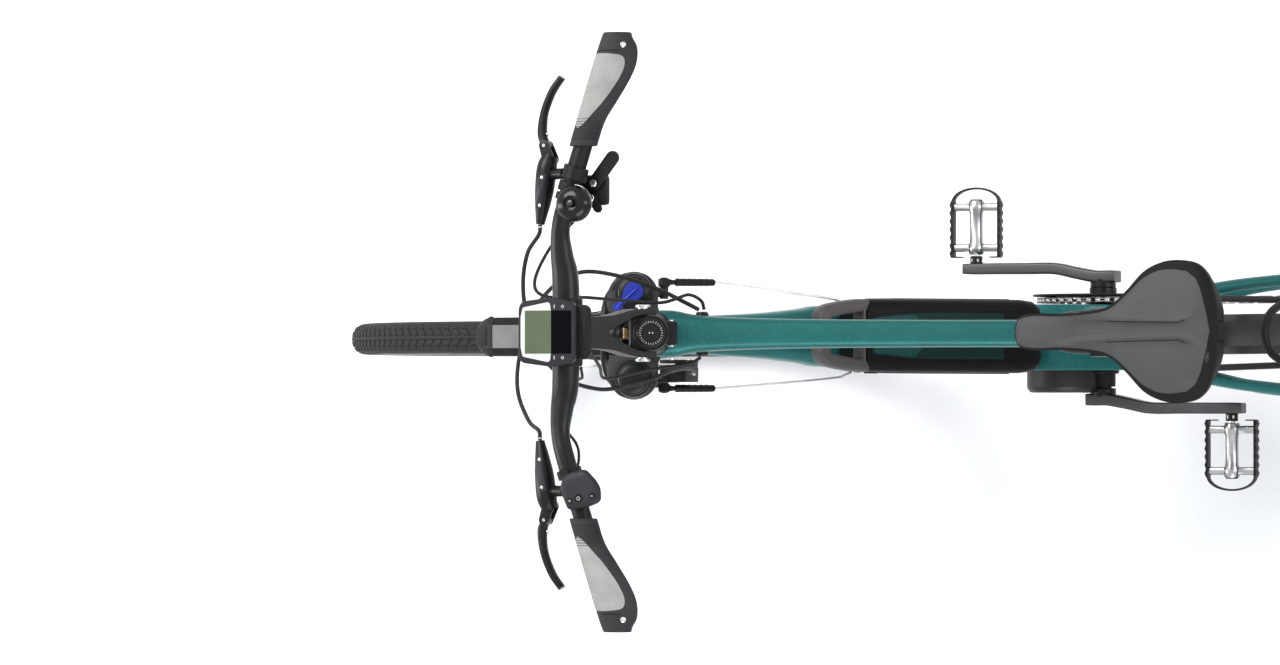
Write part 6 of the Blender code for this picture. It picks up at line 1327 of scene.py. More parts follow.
def wing_ring(side, wing, round_r, hand, sides=48):
    return [wing_point(side, wing, round_r, hand, 2 * PI * i / sides) for i in range(sides)]


PANEL = [
    (0.2400, 62, 66), (0.2440, 42, 84), (0.2540, 30, 104), (0.2700, 26, 122), (0.2880, 24, 131),
    (0.3060, 24, 135), (0.3180, 26, 132), (0.3245, 34, 122), (0.3270, 52, 92)
]


def grip_panel(hand):
    """The pale leaf let into the grip's top, and the places of the small studs on it."""
    rows = curve([Vector(row) for row in WING], 12)
    rings, studs = [], []
    for k, (side, first, last) in enumerate(curve([Vector(row) for row in PANEL], 6)):
        wide = min(rows, key=lambda row: abs(row.x - side))
        arc = [math.radians(first + (last - first) * i / 20) for i in range(21)]
        at = lambda angle, out: wing_point(side, wide.y, wide.z, hand, angle, out)
        over = [at(angle, 0.0004) for angle in arc]
        rings.append(over + [at(angle, -0.0012) for angle in reversed(arc)])
        if k % 2 == 0 and 2 < k < 46:
            across = int((over[0] - over[-1]).length / 0.0026)
            for i in range(1, across):
                angle = arc[0] + (arc[-1] - arc[0]) * (i + (k // 2) % 2 * 0.5) / (across + 0.5)
                here = at(angle, 0.0003)
                off = at(angle, 0.0013) - here
                studs.append((tuple(here), tuple(off.to_track_quat("Z", "X").to_euler())))
    return rings_to_mesh(rings if hand < 0 else list(reversed(rings))), studs


GRIP_BLACK = finish("grip_rubber", (0.022, 0.022, 0.0235), 0.70, 0.0, 0.2, 1800.0, 0.06, shine=0.3)


def grip(name, hand):
    line = curve([Vector(row) for row in WING], 5)
    rings = [wing_ring(row.x, row.y - 0.0002, row.z - 0.0002, hand) for row in line]
    body = rings_to_mesh(rings if hand > 0 else list(reversed(rings)))
    stud = [(0, -0.0004), (0.00075, -0.0004), (0.00070, 0.00012), (0.00045, 0.00030), (0, 0.00034)]
    dot = lathe(stud, Vector((0, 0, 0)), Z, 8)
    panel, dots = grip_panel(hand)
    ribs = []
    for i in range(9):
        side = 0.2265 + 0.0030 * i
        rib = wing_ring(side, 0.01735, 0.01665, hand)
        ribs.append(pipe(rib[:25], 0.0005, 6))
    wide = min(line, key=lambda row: abs(row.x - 0.3370))
    edge = [
        wing_point(0.3305, wide.y, wide.z, hand, math.radians(angle), 0.0001)
        for angle in range(4, 128, 6)
    ]
    screw, above = (
        wing_point(0.3370, wide.y, wide.z, hand, math.radians(126), out) for out in (-0.0004, 0.0010)
    )
    parts = [(merge([body] + ribs), GRIP_BLACK), (pipe(edge, 0.0005, 8), ANODISED)]
    parts.append((bolt(screw, (above - screw).normalized(), 0.0034, 0.0012), SILVER))
    parts.append((merge([panel, set_down(dot, dots, RIB_GREY)]), RIB_GREY))
    return piece(name, "cockpit", ["grip_left" if hand > 0 else "grip_right"], parts, 40)


piece("handlebar_tube", "cockpit", ["handlebar"], handlebar(), 40)
grip("grip_wing_left", 1)
grip("grip_wing_right", -1)

# %% [markdown]
# ## Controls
# Lever housings are cast with an oil reservoir under a grey cover, and hinge a forged blade on
# a pin. The thumb levers are stamped and coated, and the bell is a spun steel dome with its
# striker on top.


# %% Controls
def band(side, width, outer, inner):
    hand = 1 if side > 0 else -1
    return bush(bar_at(side - width / 2 * hand), bar_at(side + width / 2 * hand), outer, inner, 48, 0.0008)


MASTER_Y, CRADLE_Y, REMOTE_Y = 0.187, 0.035, 0.1660
SHIFT_Y, SHIFT_TOP, BELL_Y, BELL_LOW, BELL_R = -0.1705, 1.0880, -0.1585, 1.1265, 0.0220


def lever_pivot(hand):
    return spot(0.1920, 0.2212 * hand, 1.0900)


def brake_master(name, hand):
    rows = [
        (0.1985, 0.2090, 1.0920, 0.0092), (0.1945, 0.1950, 1.0940, 0.0120),
        (0.1915, 0.1700, 1.0940, 0.0115), (0.1885, 0.1500, 1.0930, 0.0090),
        (0.1850, 0.1280, 1.0920, 0.0052)
    ]
    line = curve([spot(x, y * hand, z) for x, y, z, _ in rows], 6)
    sizes = eased([radius for _, _, _, radius in rows], 6)
    side = MASTER_Y * hand
    bar = bar_at(side)
    body = [pipe(line, sizes, 28), band(side, 0.016, 0.0150, BAR_END_R)]
    body.append(pipe([spot(0.1990, side, 1.0945), bar + Vector((0.0138, 0.0, -0.0020))], 0.0066, 24))
    pivot = lever_pivot(hand)
    tongue = lobe(0.0062, (-0.0055, -0.0160 * hand), 0.0075, 24)
    for low in (0.0059, -0.0085):
        body.append(plate(tongue, pivot + low * Z, X, Y, 0.0026, 0.0005))
    cover = [at + (size - 0.0016) * Z for at, size in list(zip(line, sizes))[8:20]]
    lid = pipe(cover, 0.0022, 16)
    for corner in lid.verts:
        corner.co.x = line[14].x + (corner.co.x - line[14].x) * 1.9
    steel = [rod(pivot - 0.0088 * Z, pivot + 0.0088 * Z, 0.0022, 20)]
    for at in (cover[1], cover[-2]):
        steel.append(bolt(at + 0.0021 * Z, Z, 0.0019, 0.0006))
    steel.append(bolt(bar + Vector((0.0146, 0.0045, -0.0040)), X, 0.0026, 0.0012))
    steel.append(rod(line[-1] - 0.002 * Y * hand, line[-1] + 0.004 * Y * -hand, 0.0038, 6))
    node = "brake_master_left" if hand > 0 else "brake_master_right"
    parts = [(merge(body), ANODISED), (lid, CASE_GREY), (merge(steel), STEEL)]
    return piece(name, "cockpit", [node], parts)


def brake_lever(name, hand):
    rows = [
        (0.1920, 0.2212, 1.0900, 0.0050, 0.0054), (0.1870, 0.2350, 1.0895, 0.0058, 0.0054),
        (0.1890, 0.2600, 1.0880, 0.0046, 0.0060), (0.1985, 0.2850, 1.0865, 0.0042, 0.0066),
        (0.2105, 0.3020, 1.0860, 0.0040, 0.0060)
    ]
    path, sections = stations([(x, y * hand, z, w, h) for x, y, z, w, h in rows], spot, 6, 0.75, 24)
    pivot = lever_pivot(hand)
    blade = [sweep(path, sections, X), rod(pivot - 0.0055 * Z, pivot + 0.0055 * Z, 0.0062, 32, 0.0008)]
    groove = pipe([at + 0.0050 * Z for at in path[8:-3]], 0.0010, 8)
    side = "left" if hand > 0 else "right"
    reach = rod(path[6] + Vector((-0.004, 0, 0)), path[6] + Vector((-0.0078, 0, 0)), 0.0020, 16)
    parts = [(merge(blade), ANODISED), (groove, CASE_GREY), (reach, STEEL)]
    return piece(name, side + "_lever", ["brake_lever_" + side], parts)


for side, hand in (("left", 1), ("right", -1)):
    brake_master("lever_housing_" + side, hand)
    brake_lever("lever_blade_" + side, hand)

low, high = spot(0.2680, -0.1860, SHIFT_TOP - 0.014), spot(0.2320, -0.1500, SHIFT_TOP)
bar = bar_at(SHIFT_Y)
case = [slab(low, high, 0.0055), band(SHIFT_Y, 0.011, 0.0150, BAR_END_R)]
neck = Vector((bar.x + 0.001, bar.y, SHIFT_TOP - 0.004))
case.append(rod(neck, Vector((neck.x, neck.y, SHIFT_TOP + 0.0105)), 0.0058, 24))
pins = []
THUMBS = (
    ("thumb_paddle", "downshift", "shifter_paddle", (0.2533, 0.1757), (-0.0233, -0.0302), 0.0080, 0.0080),
    ("thumb_release", "upshift", "shifter_release", (0.2500, 0.1585), (-0.0080, 0.0125), 0.0055, 0.0050),
)
for x, y in (row[3] for row in THUMBS):
    pins.append(rod(spot(x, -y, SHIFT_TOP - 0.004), spot(x, -y, SHIFT_TOP + 0.0066), 0.0020, 20))
    pins.append(bolt(spot(x, -y, SHIFT_TOP + 0.0054), Z, 0.0042, 0.0017))
barrel = rod(spot(0.2400, -0.1520, SHIFT_TOP - 0.007), spot(0.2330, -0.1440, SHIFT_TOP - 0.007), 0.0040, 24)
piece(
    "shifter_case", "cockpit", ["shifter_body"],
    [(merge(case), PLASTIC), (merge(pins), STEEL), (barrel, ANODISED)]
)
for name, body, node, (x, y), tip, big, small in THUMBS:
    at = spot(x, -y, SHIFT_TOP + 0.0003)
    grips = [plate(lobe(big, tip, small, 28), at, X, Y, 0.0048, 0.0012, 3)]
    for i in range(4):
        t = 0.72 + 0.12 * i
        across = Vector((-tip[1], tip[0], 0)).normalized() * small * 0.6
        middle = at + Vector((tip[0] * t, tip[1] * t, 0.0047))
        grips.append(pipe([middle - across, middle + across], 0.0005, 8))
    piece(name, body, [node], [(merge(grips), PLASTIC)])

bar, middle = bar_at(BELL_Y), spot(0.2430, -0.1510, 0.0)
spun = (
    (0.0012, 0), (0.0004, 0.0004), (0.0001, 0.0035), (0.0008, 0.0066), (0.0026, 0.0102), (0.0060, 0.0136),
    (0.0100, 0.0153)
)
cup = (
    (0.0092, 0.0159), (0.0084, 0.0154), (0.0080, 0.0132), (0.0048, 0.0128), (0.0048, 0.0050), (0, 0.0050)
)
dome = [(0, BELL_LOW)] + [(BELL_R - a, BELL_LOW + b) for a, b in spun] + [(a, BELL_LOW + b) for a, b in cup]
foot = [
    band(BELL_Y, 0.008, 0.0148, BAR_END_R),
    rod(bar + 0.0125 * Z, Vector((bar.x, bar.y, BELL_LOW + 0.002)), 0.0060, 24)
]
line = ((0.0012, 0.0010), (0.00002, 0.0012), (0.00002, 0.0019), (0.0012, 0.0021))
seam = lathe([(BELL_R - a, BELL_LOW + b) for a, b in line], middle, Z, 80, True)
parts = [(lathe(dome, middle, Z, 80), BELL_BLACK), (seam, STEEL), (merge(foot), PLASTIC)]
piece("bell_dome", "cockpit", ["bell_body"], parts, 40)
knob = [(0, 0), (0.0044, 0), (0.0044, 0.0072), (0.0036, 0.0084), (0.0020, 0.0089), (0, 0.0090)]
parts = [(lathe(knob, middle + (BELL_LOW + 0.0085) * Z, Z, 40), DARK_STEEL)]
piece("bell_striker", "bell_button", ["bell_knob"], parts)

# %% [markdown]
# ## Display
# A casing with a bezel, a white surround, a dark glass and the crystal panel. It lies on a
# cradle whose two rings clamp the bar beside the stem.

# %% Display
TILT = math.radians(8.0)
ALONG, OVER = Vector((COS(TILT), 0, SIN(TILT))), Vector((-SIN(TILT), 0, COS(TILT)))
SCREEN_AT = spot(0.2115, 0.0, 1.1360)


def tray(length, width, corner, low, high, edge=0.0, ahead=0.0):
    """A flat rounded part of the display, from low to high over its middle plane."""
    a, b = length / 2, width / 2
    line = rounded([(-a, -b), (a, -b), (a, b), (-a, b)], corner, 7)
    return plate(line, SCREEN_AT + low * OVER + ahead * ALONG, ALONG, Y, high - low, edge, 3)


def shield(half, corner, low, high, edge=0.0):
    """A flat part of the display, the same to both sides, from low to high over its middle plane."""
    return plate(
        rounded(both_sides(half), corner, 5), SCREEN_AT + low * OVER, ALONG, Y, high - low, edge, 3
    )


SHELL = [(-0.0352, 0.0345), (-0.0080, 0.0412), (0.0296, 0.0362), (0.0338, 0.0290)]
SURROUND = [(-0.0058, 0.0252), (-0.0050, 0.0335), (-0.0022, 0.0352), (0.0282, 0.0288), (0.0306, 0.0180)]
casing = shield(SHELL, 0.0065, -0.006, 0.0048, 0.0024)
bezel = shield([(a * 0.955, b * 0.955) for a, b in SHELL], 0.006, 0.0040, 0.0053, 0.0005)
surround = shield(SURROUND, 0.0022, 0.0048, 0.0056, 0.0002)
glass = tray(0.0245, 0.0506, 0.0012, 0.0050, 0.0057, 0.0002, -0.0184)
lcd = tray(0.0316, 0.0506, 0.0004, 0.0050, 0.00585, 0, 0.0096)
marks, band_of = [], [(0.0011, 0), (0.0017, 0), (0.0017, 0.0002), (0.0011, 0.0002)]
for hand in (1, -1):
    dash = SCREEN_AT + Vector((0, 0.0300 * hand, 0)) + 0.00535 * OVER - 0.0100 * ALONG
    marks.append(box(dash, (0.0009, 0.0040, 0.0002), 0, ALONG, OVER))
for hand in (1, -1):
    circle = SCREEN_AT + 0.0300 * hand * Y + 0.00527 * OVER - 0.0200 * ALONG
    marks.append(lathe(band_of, circle, OVER, 28, True))
parts = [(casing, CASE_GREY), (bezel, CASE_GREY), (surround, FRAME_WHITE)]
parts += [(glass, GLASS), (lcd, LCD), (merge(marks), WHITE)]
piece("display_screen", "cockpit", ["display_unit"], parts)
line = rounded([(-0.0435, -0.032), (0.036, -0.034), (0.036, 0.034), (-0.0435, 0.032)], 0.010, 6)
cradle = [plate(line, SCREEN_AT - 0.0113 * OVER - 0.008 * ALONG, ALONG, Y, 0.005, 0.0012)]
cradle.append(box(SCREEN_AT - 0.0078 * OVER - 0.0435 * ALONG, (0.006, 0.030, 0.0040), 0.001, ALONG, OVER))
for hand in (1, -1):
    cradle.append(bush(bar_at(0.030 * hand), bar_at(0.040 * hand), 0.0200, BAR_R, 56, 0.0010))
    cradle.append(box(bar_at(CRADLE_Y * hand) + 0.0225 * Z, (0.014, 0.009, 0.010), 0.001))
screws = []
for hand in (1, -1):
    screws.append(bolt(bar_at(CRADLE_Y * hand) + Vector((0.0202, 0, 0.004)), X, 0.0026, 0.0012))
piece(
    "display_cradle", "cockpit", ["display_holder"],
    [(merge(cradle), PLASTIC), (merge(screws), STEEL)]
)

# %% [markdown]
# ## Remote
# A small moulded pod by the left grip carries three keys, each in a shallow well.

# %% Remote
REMOTE_AT, REMOTE_LOW = spot(0.2557, 0.1890, 0.0), 1.1285
REMOTE_TOP = REMOTE_LOW + 0.0110
REMOTE_OUTLINE = [
    (0.0244, -0.0205), (0.0140, -0.0251), (-0.0037, -0.0285), (-0.0171, -0.0148), (-0.0220, -0.0057),
    (-0.0227, 0.0099), (-0.0082, 0.0155), (0.0183, 0.0203), (0.0288, -0.0052)
]
REMOTE_LEAD = [
    (0.2330, 0.1640, 1.0975), (0.2320, 0.1480, 1.0860), (0.2246, 0.1300, 1.0780),
    (0.1950, 0.1050, 1.0600), (0.1833, 0.0882, 1.0500), (0.1908, 0.0727, 1.0400),
    (0.2165, 0.0560, 1.0500), (0.2330, 0.0530, 1.0780), (0.2376, 0.0418, 1.0933)
]
outline = rounded(REMOTE_OUTLINE, 0.0055, 5)
rings = []
for scale, z in (
    (0.90, 0.0), (0.955, 0.0004), (0.985, 0.0030), (0.995, 0.0052), (0.975, 0.0075), (0.925, 0.0096),
    (0.84, 0.0107), (0.60, 0.0110)
):
    rings.append([REMOTE_AT + a * scale * X + b * scale * Y + (REMOTE_LOW + z) * Z for a, b in outline])
shell = rings_to_mesh(rings)
line = [REMOTE_AT + a * 0.988 * X + b * 0.988 * Y + (REMOTE_LOW + 0.0046) * Z for a, b in outline]
bar = bar_at(REMOTE_Y)
mount = [band(REMOTE_Y, 0.010, 0.0148, BAR_END_R)]
mount.append(rod(bar + 0.0125 * Z, Vector((bar.x, bar.y, REMOTE_LOW + 0.002)), 0.0060, 24))
mount.append(pipe(line, 0.0004, 6, Z, True))
wells = []
KEYS = (
    ("remote_button", "power_key", (0.0030, 0.0060), 0.0042),
    ("remote_plus", "plus_key", (0.0140, 0.0090), 0.0028),
    ("remote_minus", "minus_key", (-0.0140, 0.0030), 0.0028)
)
WELL = ((0.0003, 0.0012), (0.0011, 0.0016), (0.0013, 0.0020), (0.0008, 0.0024), (0.0003, 0.0022))
for node, body, (a, b), radius in KEYS:
    at = REMOTE_AT + a * X + b * Y + (REMOTE_TOP - 0.0020) * Z
    wells.append(lathe([(radius + out, high) for out, high in WELL], at, Z, 40, True))
    cap = lathe([(0, 0), (radius, 0), (radius, 0.0024), (radius - 0.0008, 0.0031), (0, 0.0030)], at, Z, 40)
    sign = [box(at + 0.0031 * Z, (0.0028 if radius < 0.004 else 0.0004, 0.0006, 0.0003))]
    if node == "remote_plus":
        sign.append(box(at + 0.0031 * Z, (0.0006, 0.0028, 0.0003)))
    if node == "remote_button":
        circle = [(0.0016, 0.0029), (0.0016, 0.0032), (0.0021, 0.0032), (0.0021, 0.0029)]
        sign = [lathe(circle, at, Z, 32, True)]
    piece(node + "_cap", body, [node], [(cap, PLASTIC), (merge(sign), WHITE)])
lead = pipe(curve([spot(*point) for point in REMOTE_LEAD], 6), 0.0017, 12)
parts = [(shell, CASE_GREY), (merge(mount + wells), PLASTIC), (lead, RUBBER)]
piece("remote_shell", "cockpit", ["remote_body"], parts, 40)
print("cockpit pieces", len(MADE))

# %% [markdown]
# ## Saddle
# Gel and foam are moulded on a nylon shell and covered with a grained film, welded into a
# channel along the middle that takes pressure off the sitter. The darker rim, and every face that
# slopes away from the top, is painted shade. Two steel rails carry it in the seatpost's cradle.

# %% Saddle
SADDLE_LINES = [
    (0.7225, 0.0040, 0.9338, 0.001),
    (0.7240, 0.0085, 0.9360, 0.003),
    (0.7300, 0.0170, 0.9430, 0.004),
    (0.7480, 0.0215, 0.9470, 0.005),
    (0.7850, 0.0210, 0.9480, 0.006),
    (0.8220, 0.0245, 0.9480, 0.007),
    (0.8420, 0.0310, 0.9485, 0.008),
    (0.8600, 0.0470, 0.9495, 0.010),
    (0.8820, 0.0700, 0.9510, 0.012),
    (0.9060, 0.0810, 0.9535, 0.013),
    (0.9300, 0.0825, 0.9560, 0.013),
    (0.9500, 0.0770, 0.9570, 0.012),
    (0.9630, 0.0600, 0.9560, 0.010),
    (0.9710, 0.0330, 0.9525, 0.008),
    (0.9722, 0.0130, 0.9500, 0.006),
]
PAD_H = 0.031
RIDGES = [
    (0.770, 0.0160), (0.785, 0.0155), (0.860, 0.0128), (0.928, 0.0115), (0.942, 0.0165), (0.955, 0.0260),
    (0.985, 0.0450)
]


def between(table, at):
    """A value read off a table of (place, value) rows."""
    for (a, low), (b, high) in zip(table, table[1:]):
        if at <= b:
            return low + (high - low) * max(0.0, (at - a) / (b - a))
    return table[-1][1]


def saddle_rows(steps=7):
    line = curve([Vector(row[:3]) for row in SADDLE_LINES], steps)
    crowns = eased([row[3] for row in SADDLE_LINES], steps)
    return [(row.x, row.y, row.z, crown) for row, crown in zip(line, crowns)]


def pad_height(behind, half, top, crown, t):
    """The cushion's top across its width, t from 0 in the middle to 1 at the edge."""
    y, ridge = t * half, between(RIDGES, behind)
    open_channel = min(1.0, max(0.0, (behind - 0.765) / 0.035))
    z = top - crown * t ** 3.4
    z -= 0.0042 * open_channel * math.exp(-((y / (ridge * 0.80)) ** 4))
    fade = min(1.0, max(0.0, (0.947 - behind) / 0.012))
    for width, height in ((0.0014, 0.0016), (0.0040, 0.0009)):
        z += height * open_channel * fade * math.exp(-(((y - ridge) / width) ** 2))
    return z


def pad_side(behind, half, top, crown, t_first, out=0.0):
    """Points from a share of the width over the rim and down to the shell."""
    shares = [t_first + (1 - t_first) * k / 6 for k in range(7)]
    side = [(half * t + out * t, pad_height(behind, half, top, crown, t) + out) for t in shares]
    edge = top - crown
    side += [
        (half + out, edge - 0.0042), (half * 0.998 + out, edge - 0.0085),
        (half * 0.980 + out, edge - 0.0140)
    ]
    return side + [(half * 0.945 + out, top - PAD_H + 0.0070), (half * 0.905 + out, top - PAD_H + 0.0008)]


NEAR = (0.0008, 0.0017, 0.0030, 0.0050)


def across_pad(behind, half):
    """Places across half the cushion, close together on the ridge beside the channel."""
    ridge, edge = min(between(RIDGES, behind), 0.70 * half), 0.88 * half
    inner = [ridge - min(step, ridge * (k + 1) / 8) for k, step in enumerate(NEAR)]
    outer = [ridge + min(step, (edge - ridge) * (k + 1) / 8) for k, step in enumerate(NEAR)]
    places = [inner[-1] * k / 4 for k in range(4)] + list(reversed(inner)) + [ridge] + outer
    return places + [outer[-1] + (edge - outer[-1]) * k / 7 for k in range(1, 8)]


def cushion():
    rings = []
    for behind, half, top, crown in saddle_rows():
        right = [(y, pad_height(behind, half, top, crown, y / half)) for y in across_pad(behind, half)]
        right += pad_side(behind, half, top, crown, 0.90)
        right += [(half * 0.45, top - PAD_H)]
        ring = [spot(behind, -y, z) for y, z in right] + [spot(behind, 0, top - PAD_H)]
        rings.append(ring + [spot(behind, y, z) for y, z in reversed(right[1:])])
    return rings_to_mesh(rings)


RIM_FROM = [
    (0.72, 0.90), (0.90, 0.90), (0.935, 0.86), (0.948, 0.78), (0.955, 0.64), (0.9600, 0.42),
    (0.9625, 0.20), (0.9640, 0.0), (0.981, 0.0)
]


def rim(hand):
    """A darker film round the cushion's edge, a thin closed skin just outside it: painted shade on the
    sloping rim.
    """
    rings = []
    for behind, half, top, crown in saddle_rows():
        first = between(RIM_FROM, behind)
        outer = pad_side(behind, half, top, crown, first, 0.00035)
        inner = pad_side(behind, half, top, crown, first, -0.0012)
        ring = [spot(behind, y * hand, z) for y, z in outer + inner[::-1]]
        rings.append(ring if hand < 0 else list(reversed(ring)))
    return rings_to_mesh(rings)


def welds():
    lines = []
    for hand in (1, -1):
        path = []
        for behind, half, top, crown in saddle_rows():
            t = between(RIM_FROM, behind)
            if behind < 0.9350:
                path.append(spot(behind, half * t * hand, pad_height(behind, half, top, crown, t) + 0.0001))
        lines.append(pipe(path, 0.00055, 8))
    return merge(lines)


parts = [(cushion(), COVER), (merge([rim(1), rim(-1)]), COVER_SEAMS_AND_PAINTED_SHADE), (welds(), COVER_SEAMS_AND_PAINTED_SHADE)]
cover = piece("saddle_cushion", "saddle", ["saddle_padding"], parts, 50)
# Faces that slope away from the top take the darker film: painted shade on the sides.
for face in cover.data.polygons:
    behind = spot(0.956, 0, 0).x - face.center.x
    if face.material_index == 0 and face.normal.z < (0.90 if behind > 0 else 0.60):
        face.material_index = 1


def saddle_shell():
    rings = []
    for behind, half, top, _ in saddle_rows(4):
        over, wide = top - PAD_H - 0.0003, half * 0.93
        right = [(0.0, over), (wide, over), (wide, over - 0.0012), (wide * 0.96, over - 0.0042)]
        right += [(wide * 0.75, over - 0.0056), (wide * 0.5, over - 0.006)]
        ring = [spot(behind, -y, z) for y, z in right] + [spot(behind, 0, over - 0.006)]
        rings.append(ring + [spot(behind, y, z) for y, z in reversed(right[1:])])
    parts = [rings_to_mesh(rings), slab(spot(0.758, -0.014, 0.9000), spot(0.738, 0.014, 0.9120), 0.002)]
    for low, high in ((0.030, 0.046), (-0.046, -0.030)):
        parts.append(slab(spot(0.946, low, 0.9070), spot(0.926, high, 0.9200), 0.002))
    half = [
        (0.748, 0.010, 0.9045), (0.770, 0.018, 0.9045), (0.795, 0.022, 0.9045), (0.865, 0.022, 0.9045),
        (0.905, 0.028, 0.9075), (0.940, 0.038, 0.9145)
    ]
    rails = half[::-1] + [(0.743, 0.0, 0.9045)] + [(x, -y, z) for x, y, z in half]
    path = [spot(*row) for row in rails]
    return [(merge(parts), PLASTIC), (pipe(curve(path, 6), 0.0035, 20, Z), DARK_STEEL)]


def seatpost():
    centre = seat(0.652)
    turned = [
        (0, 0.320), (0.0126, 0.320), (0.0136, 0.321), (0.0136, 0.630), (0.0150, 0.636), (0.0150, 0.641),
        (0, 0.641)
    ]
    post = [lathe(turned, BB, SEAT_DIR, 56)]
    for low, high in ((-0.022, -0.0042), (-0.0030, 0.0030)):
        post.append(
            slab(centre + Vector((-0.019, -0.029, low)), centre + Vector((0.019, 0.029, high)), 0.0028)
        )
    marks = []
    for i in range(7):
        size = (0.00012, 0.010 if i % 3 else 0.016, 0.0006)
        marks.append(box(seat(0.545 + 0.008 * i, -0.01358), size, 0, SEAT_FWD, SEAT_DIR))
    bolts = [bolt(centre + Vector((along, 0, 0.0028)), Z, 0.0048, 0.0018) for along in (0.011, -0.011)]
    return [(merge(post), ANODISED), (merge(marks), WHITE), (merge(bolts), STEEL)]


piece("saddle_shell_and_rails", "saddle", ["saddle_shell"], saddle_shell(), 40)
piece("seatpost_and_cradle", "saddle", ["seatpost"], seatpost(), 38)

# %% [markdown]
# ## Motor and battery
# The motor is a die-cast housing with a round cover on its left side. The battery is a moulded
# case that locks on a rail. It has a lacquered inlay in the frame's colour and a handle of
# softer, warmer grey plastic, which is the part a hand reaches past the top tube.

# %% Motor and battery
MOTOR_LINE = [
    (-0.0505, -0.018), (-0.0520, 0.002), (-0.0436, 0.0326), (-0.0177, 0.0570), (0.0281, 0.0720),
    (0.0816, 0.0700), (0.1162, 0.0452), (0.120, 0.004), (0.106, -0.036), (0.070, -0.054), (0.020, -0.054),
    (-0.026, -0.044)
]
MOTOR_AT = BB + 0.050 * X + 0.006 * Z


def motor():
    shell = [plate(rounded(MOTOR_LINE, 0.012, 5), BB + 0.039 * Y, X, Z, 0.078, 0.0050, 3)]
    cover = [
        (0, 0.037), (0.048, 0.037), (0.048, 0.0620), (0.0472, 0.0650), (0.0440, 0.0690), (0.0400, 0.0700),
        (0.0370, 0.0694), (0.0360, 0.0684), (0.0345, 0.0684), (0.0330, 0.0692), (0, 0.0697)
    ]
    shell.append(lathe(cover, MOTOR_AT, Y, 96))
    line = rounded([(a * 1.004, b * 1.006) for a, b in MOTOR_LINE], 0.012, 5)
    seam = plate(line, BB + 0.0012 * Y, X, Z, 0.0024, 0.0006)
    fins, bolts = [], []
    for i in range(7):
        at = BB + Vector((0.088 - 0.013 * i, 0, -0.0525 if i < 6 else -0.050))
        fins.append(box(at, (0.0035, 0.060, 0.008), 0.001))
    for i in range(6):
        turn = 2 * PI * (i + 0.5) / 6
        at = MOTOR_AT + Vector((0.0427 * COS(turn), 0.0676, 0.0427 * SIN(turn)))
        bolts.append(bolt(at, Y, 0.0030, 0.0012))
    for a, b in ((0.104, 0.030), (0.096, -0.030), (0.012, 0.056), (-0.034, -0.024), (0.028, -0.043)):
        for hand in (1, -1):
            bolts.append(bolt(BB + Vector((a, 0.0388 * hand, b)), hand * Y, 0.0042, 0.0016))
    ring = lathe(
        [(0.0118, -0.0400), (0.0190, -0.0400), (0.0190, -0.0435), (0.0118, -0.0435)], BB, Y, 48, True
    )
    line = [(0.0118, 0.0380), (0.0205, 0.0380), (0.0205, 0.0440), (0.0190, 0.0456), (0.0160, 0.0460)]
    sleeve = lathe(line + [(0.0158, 0.0620), (0.0118, 0.0624)], BB, Y, 56, True)
    return [
        (merge(shell + fins), CASTING), (merge([seam, ring, sleeve]), PLASTIC), (merge(bolts), DARK_STEEL)
    ]


BATTERY_AT, BATTERY_L, HANDLE_L = 0.178, 0.328, 0.068
BATTERY_HALF, BATTERY_LOW, BATTERY_HIGH = 0.046, 0.035, 0.105
FIRST, LAST = BATTERY_AT + HANDLE_L, BATTERY_AT + BATTERY_L


def battery_ring(s, half, low, high, corner):
    line = rounded([(-half, low), (half, low), (half, high), (-half, high)], corner, 6)
    return [down(s, h, y) for y, h in line]


def battery():
    rows = [
        (FIRST, 0.0400, 0.040, 0.098, 0.010), (FIRST + 0.0015, 0.0432, 0.0365, 0.1018, 0.012),
        (FIRST + 0.008, 0.0446, BATTERY_LOW, 0.1044, 0.013),
        (FIRST + 0.06, 0.0455, BATTERY_LOW, BATTERY_HIGH, 0.013)
    ]
    rows += [
        (LAST - 0.030, BATTERY_HALF, BATTERY_LOW, BATTERY_HIGH, 0.013),
        (LAST - 0.012, 0.0440, BATTERY_LOW, 0.1046, 0.013),
        (LAST - 0.0035, 0.0385, 0.0355, 0.1030, 0.012), (LAST, 0.0330, 0.039, 0.099, 0.010)
    ]
    case = [rings_to_mesh([battery_ring(*row) for row in rows])]
    for hand in (1, -1):
        line = ((FIRST + 0.012, 0.0448), (FIRST + 0.06, 0.0456), (LAST - 0.035, 0.0460))
        case.append(pipe([down(along, 0.078, side * hand) for along, side in line], 0.0011, 8))
    port = rod(down(FIRST + 0.035, 0.055, 0.0450), down(FIRST + 0.035, 0.055, 0.0466), 0.0085, 40, 0.0006)
    lock = rod(down(FIRST + 0.010, 0.060, 0.0440), down(FIRST + 0.010, 0.060, 0.0462), 0.0060, 32)
    marks = []
    for along in (LAST - 0.055 + 0.007 * i for i in range(5)):
        marks.append(rod(down(along, 0.0905, 0.0442), down(along, 0.0905, 0.0459), 0.0016, 16, 0.0002))
    return [(merge(case), GLOSS), (port, RUBBER), (lock, STEEL), (merge(marks), WHITE)]


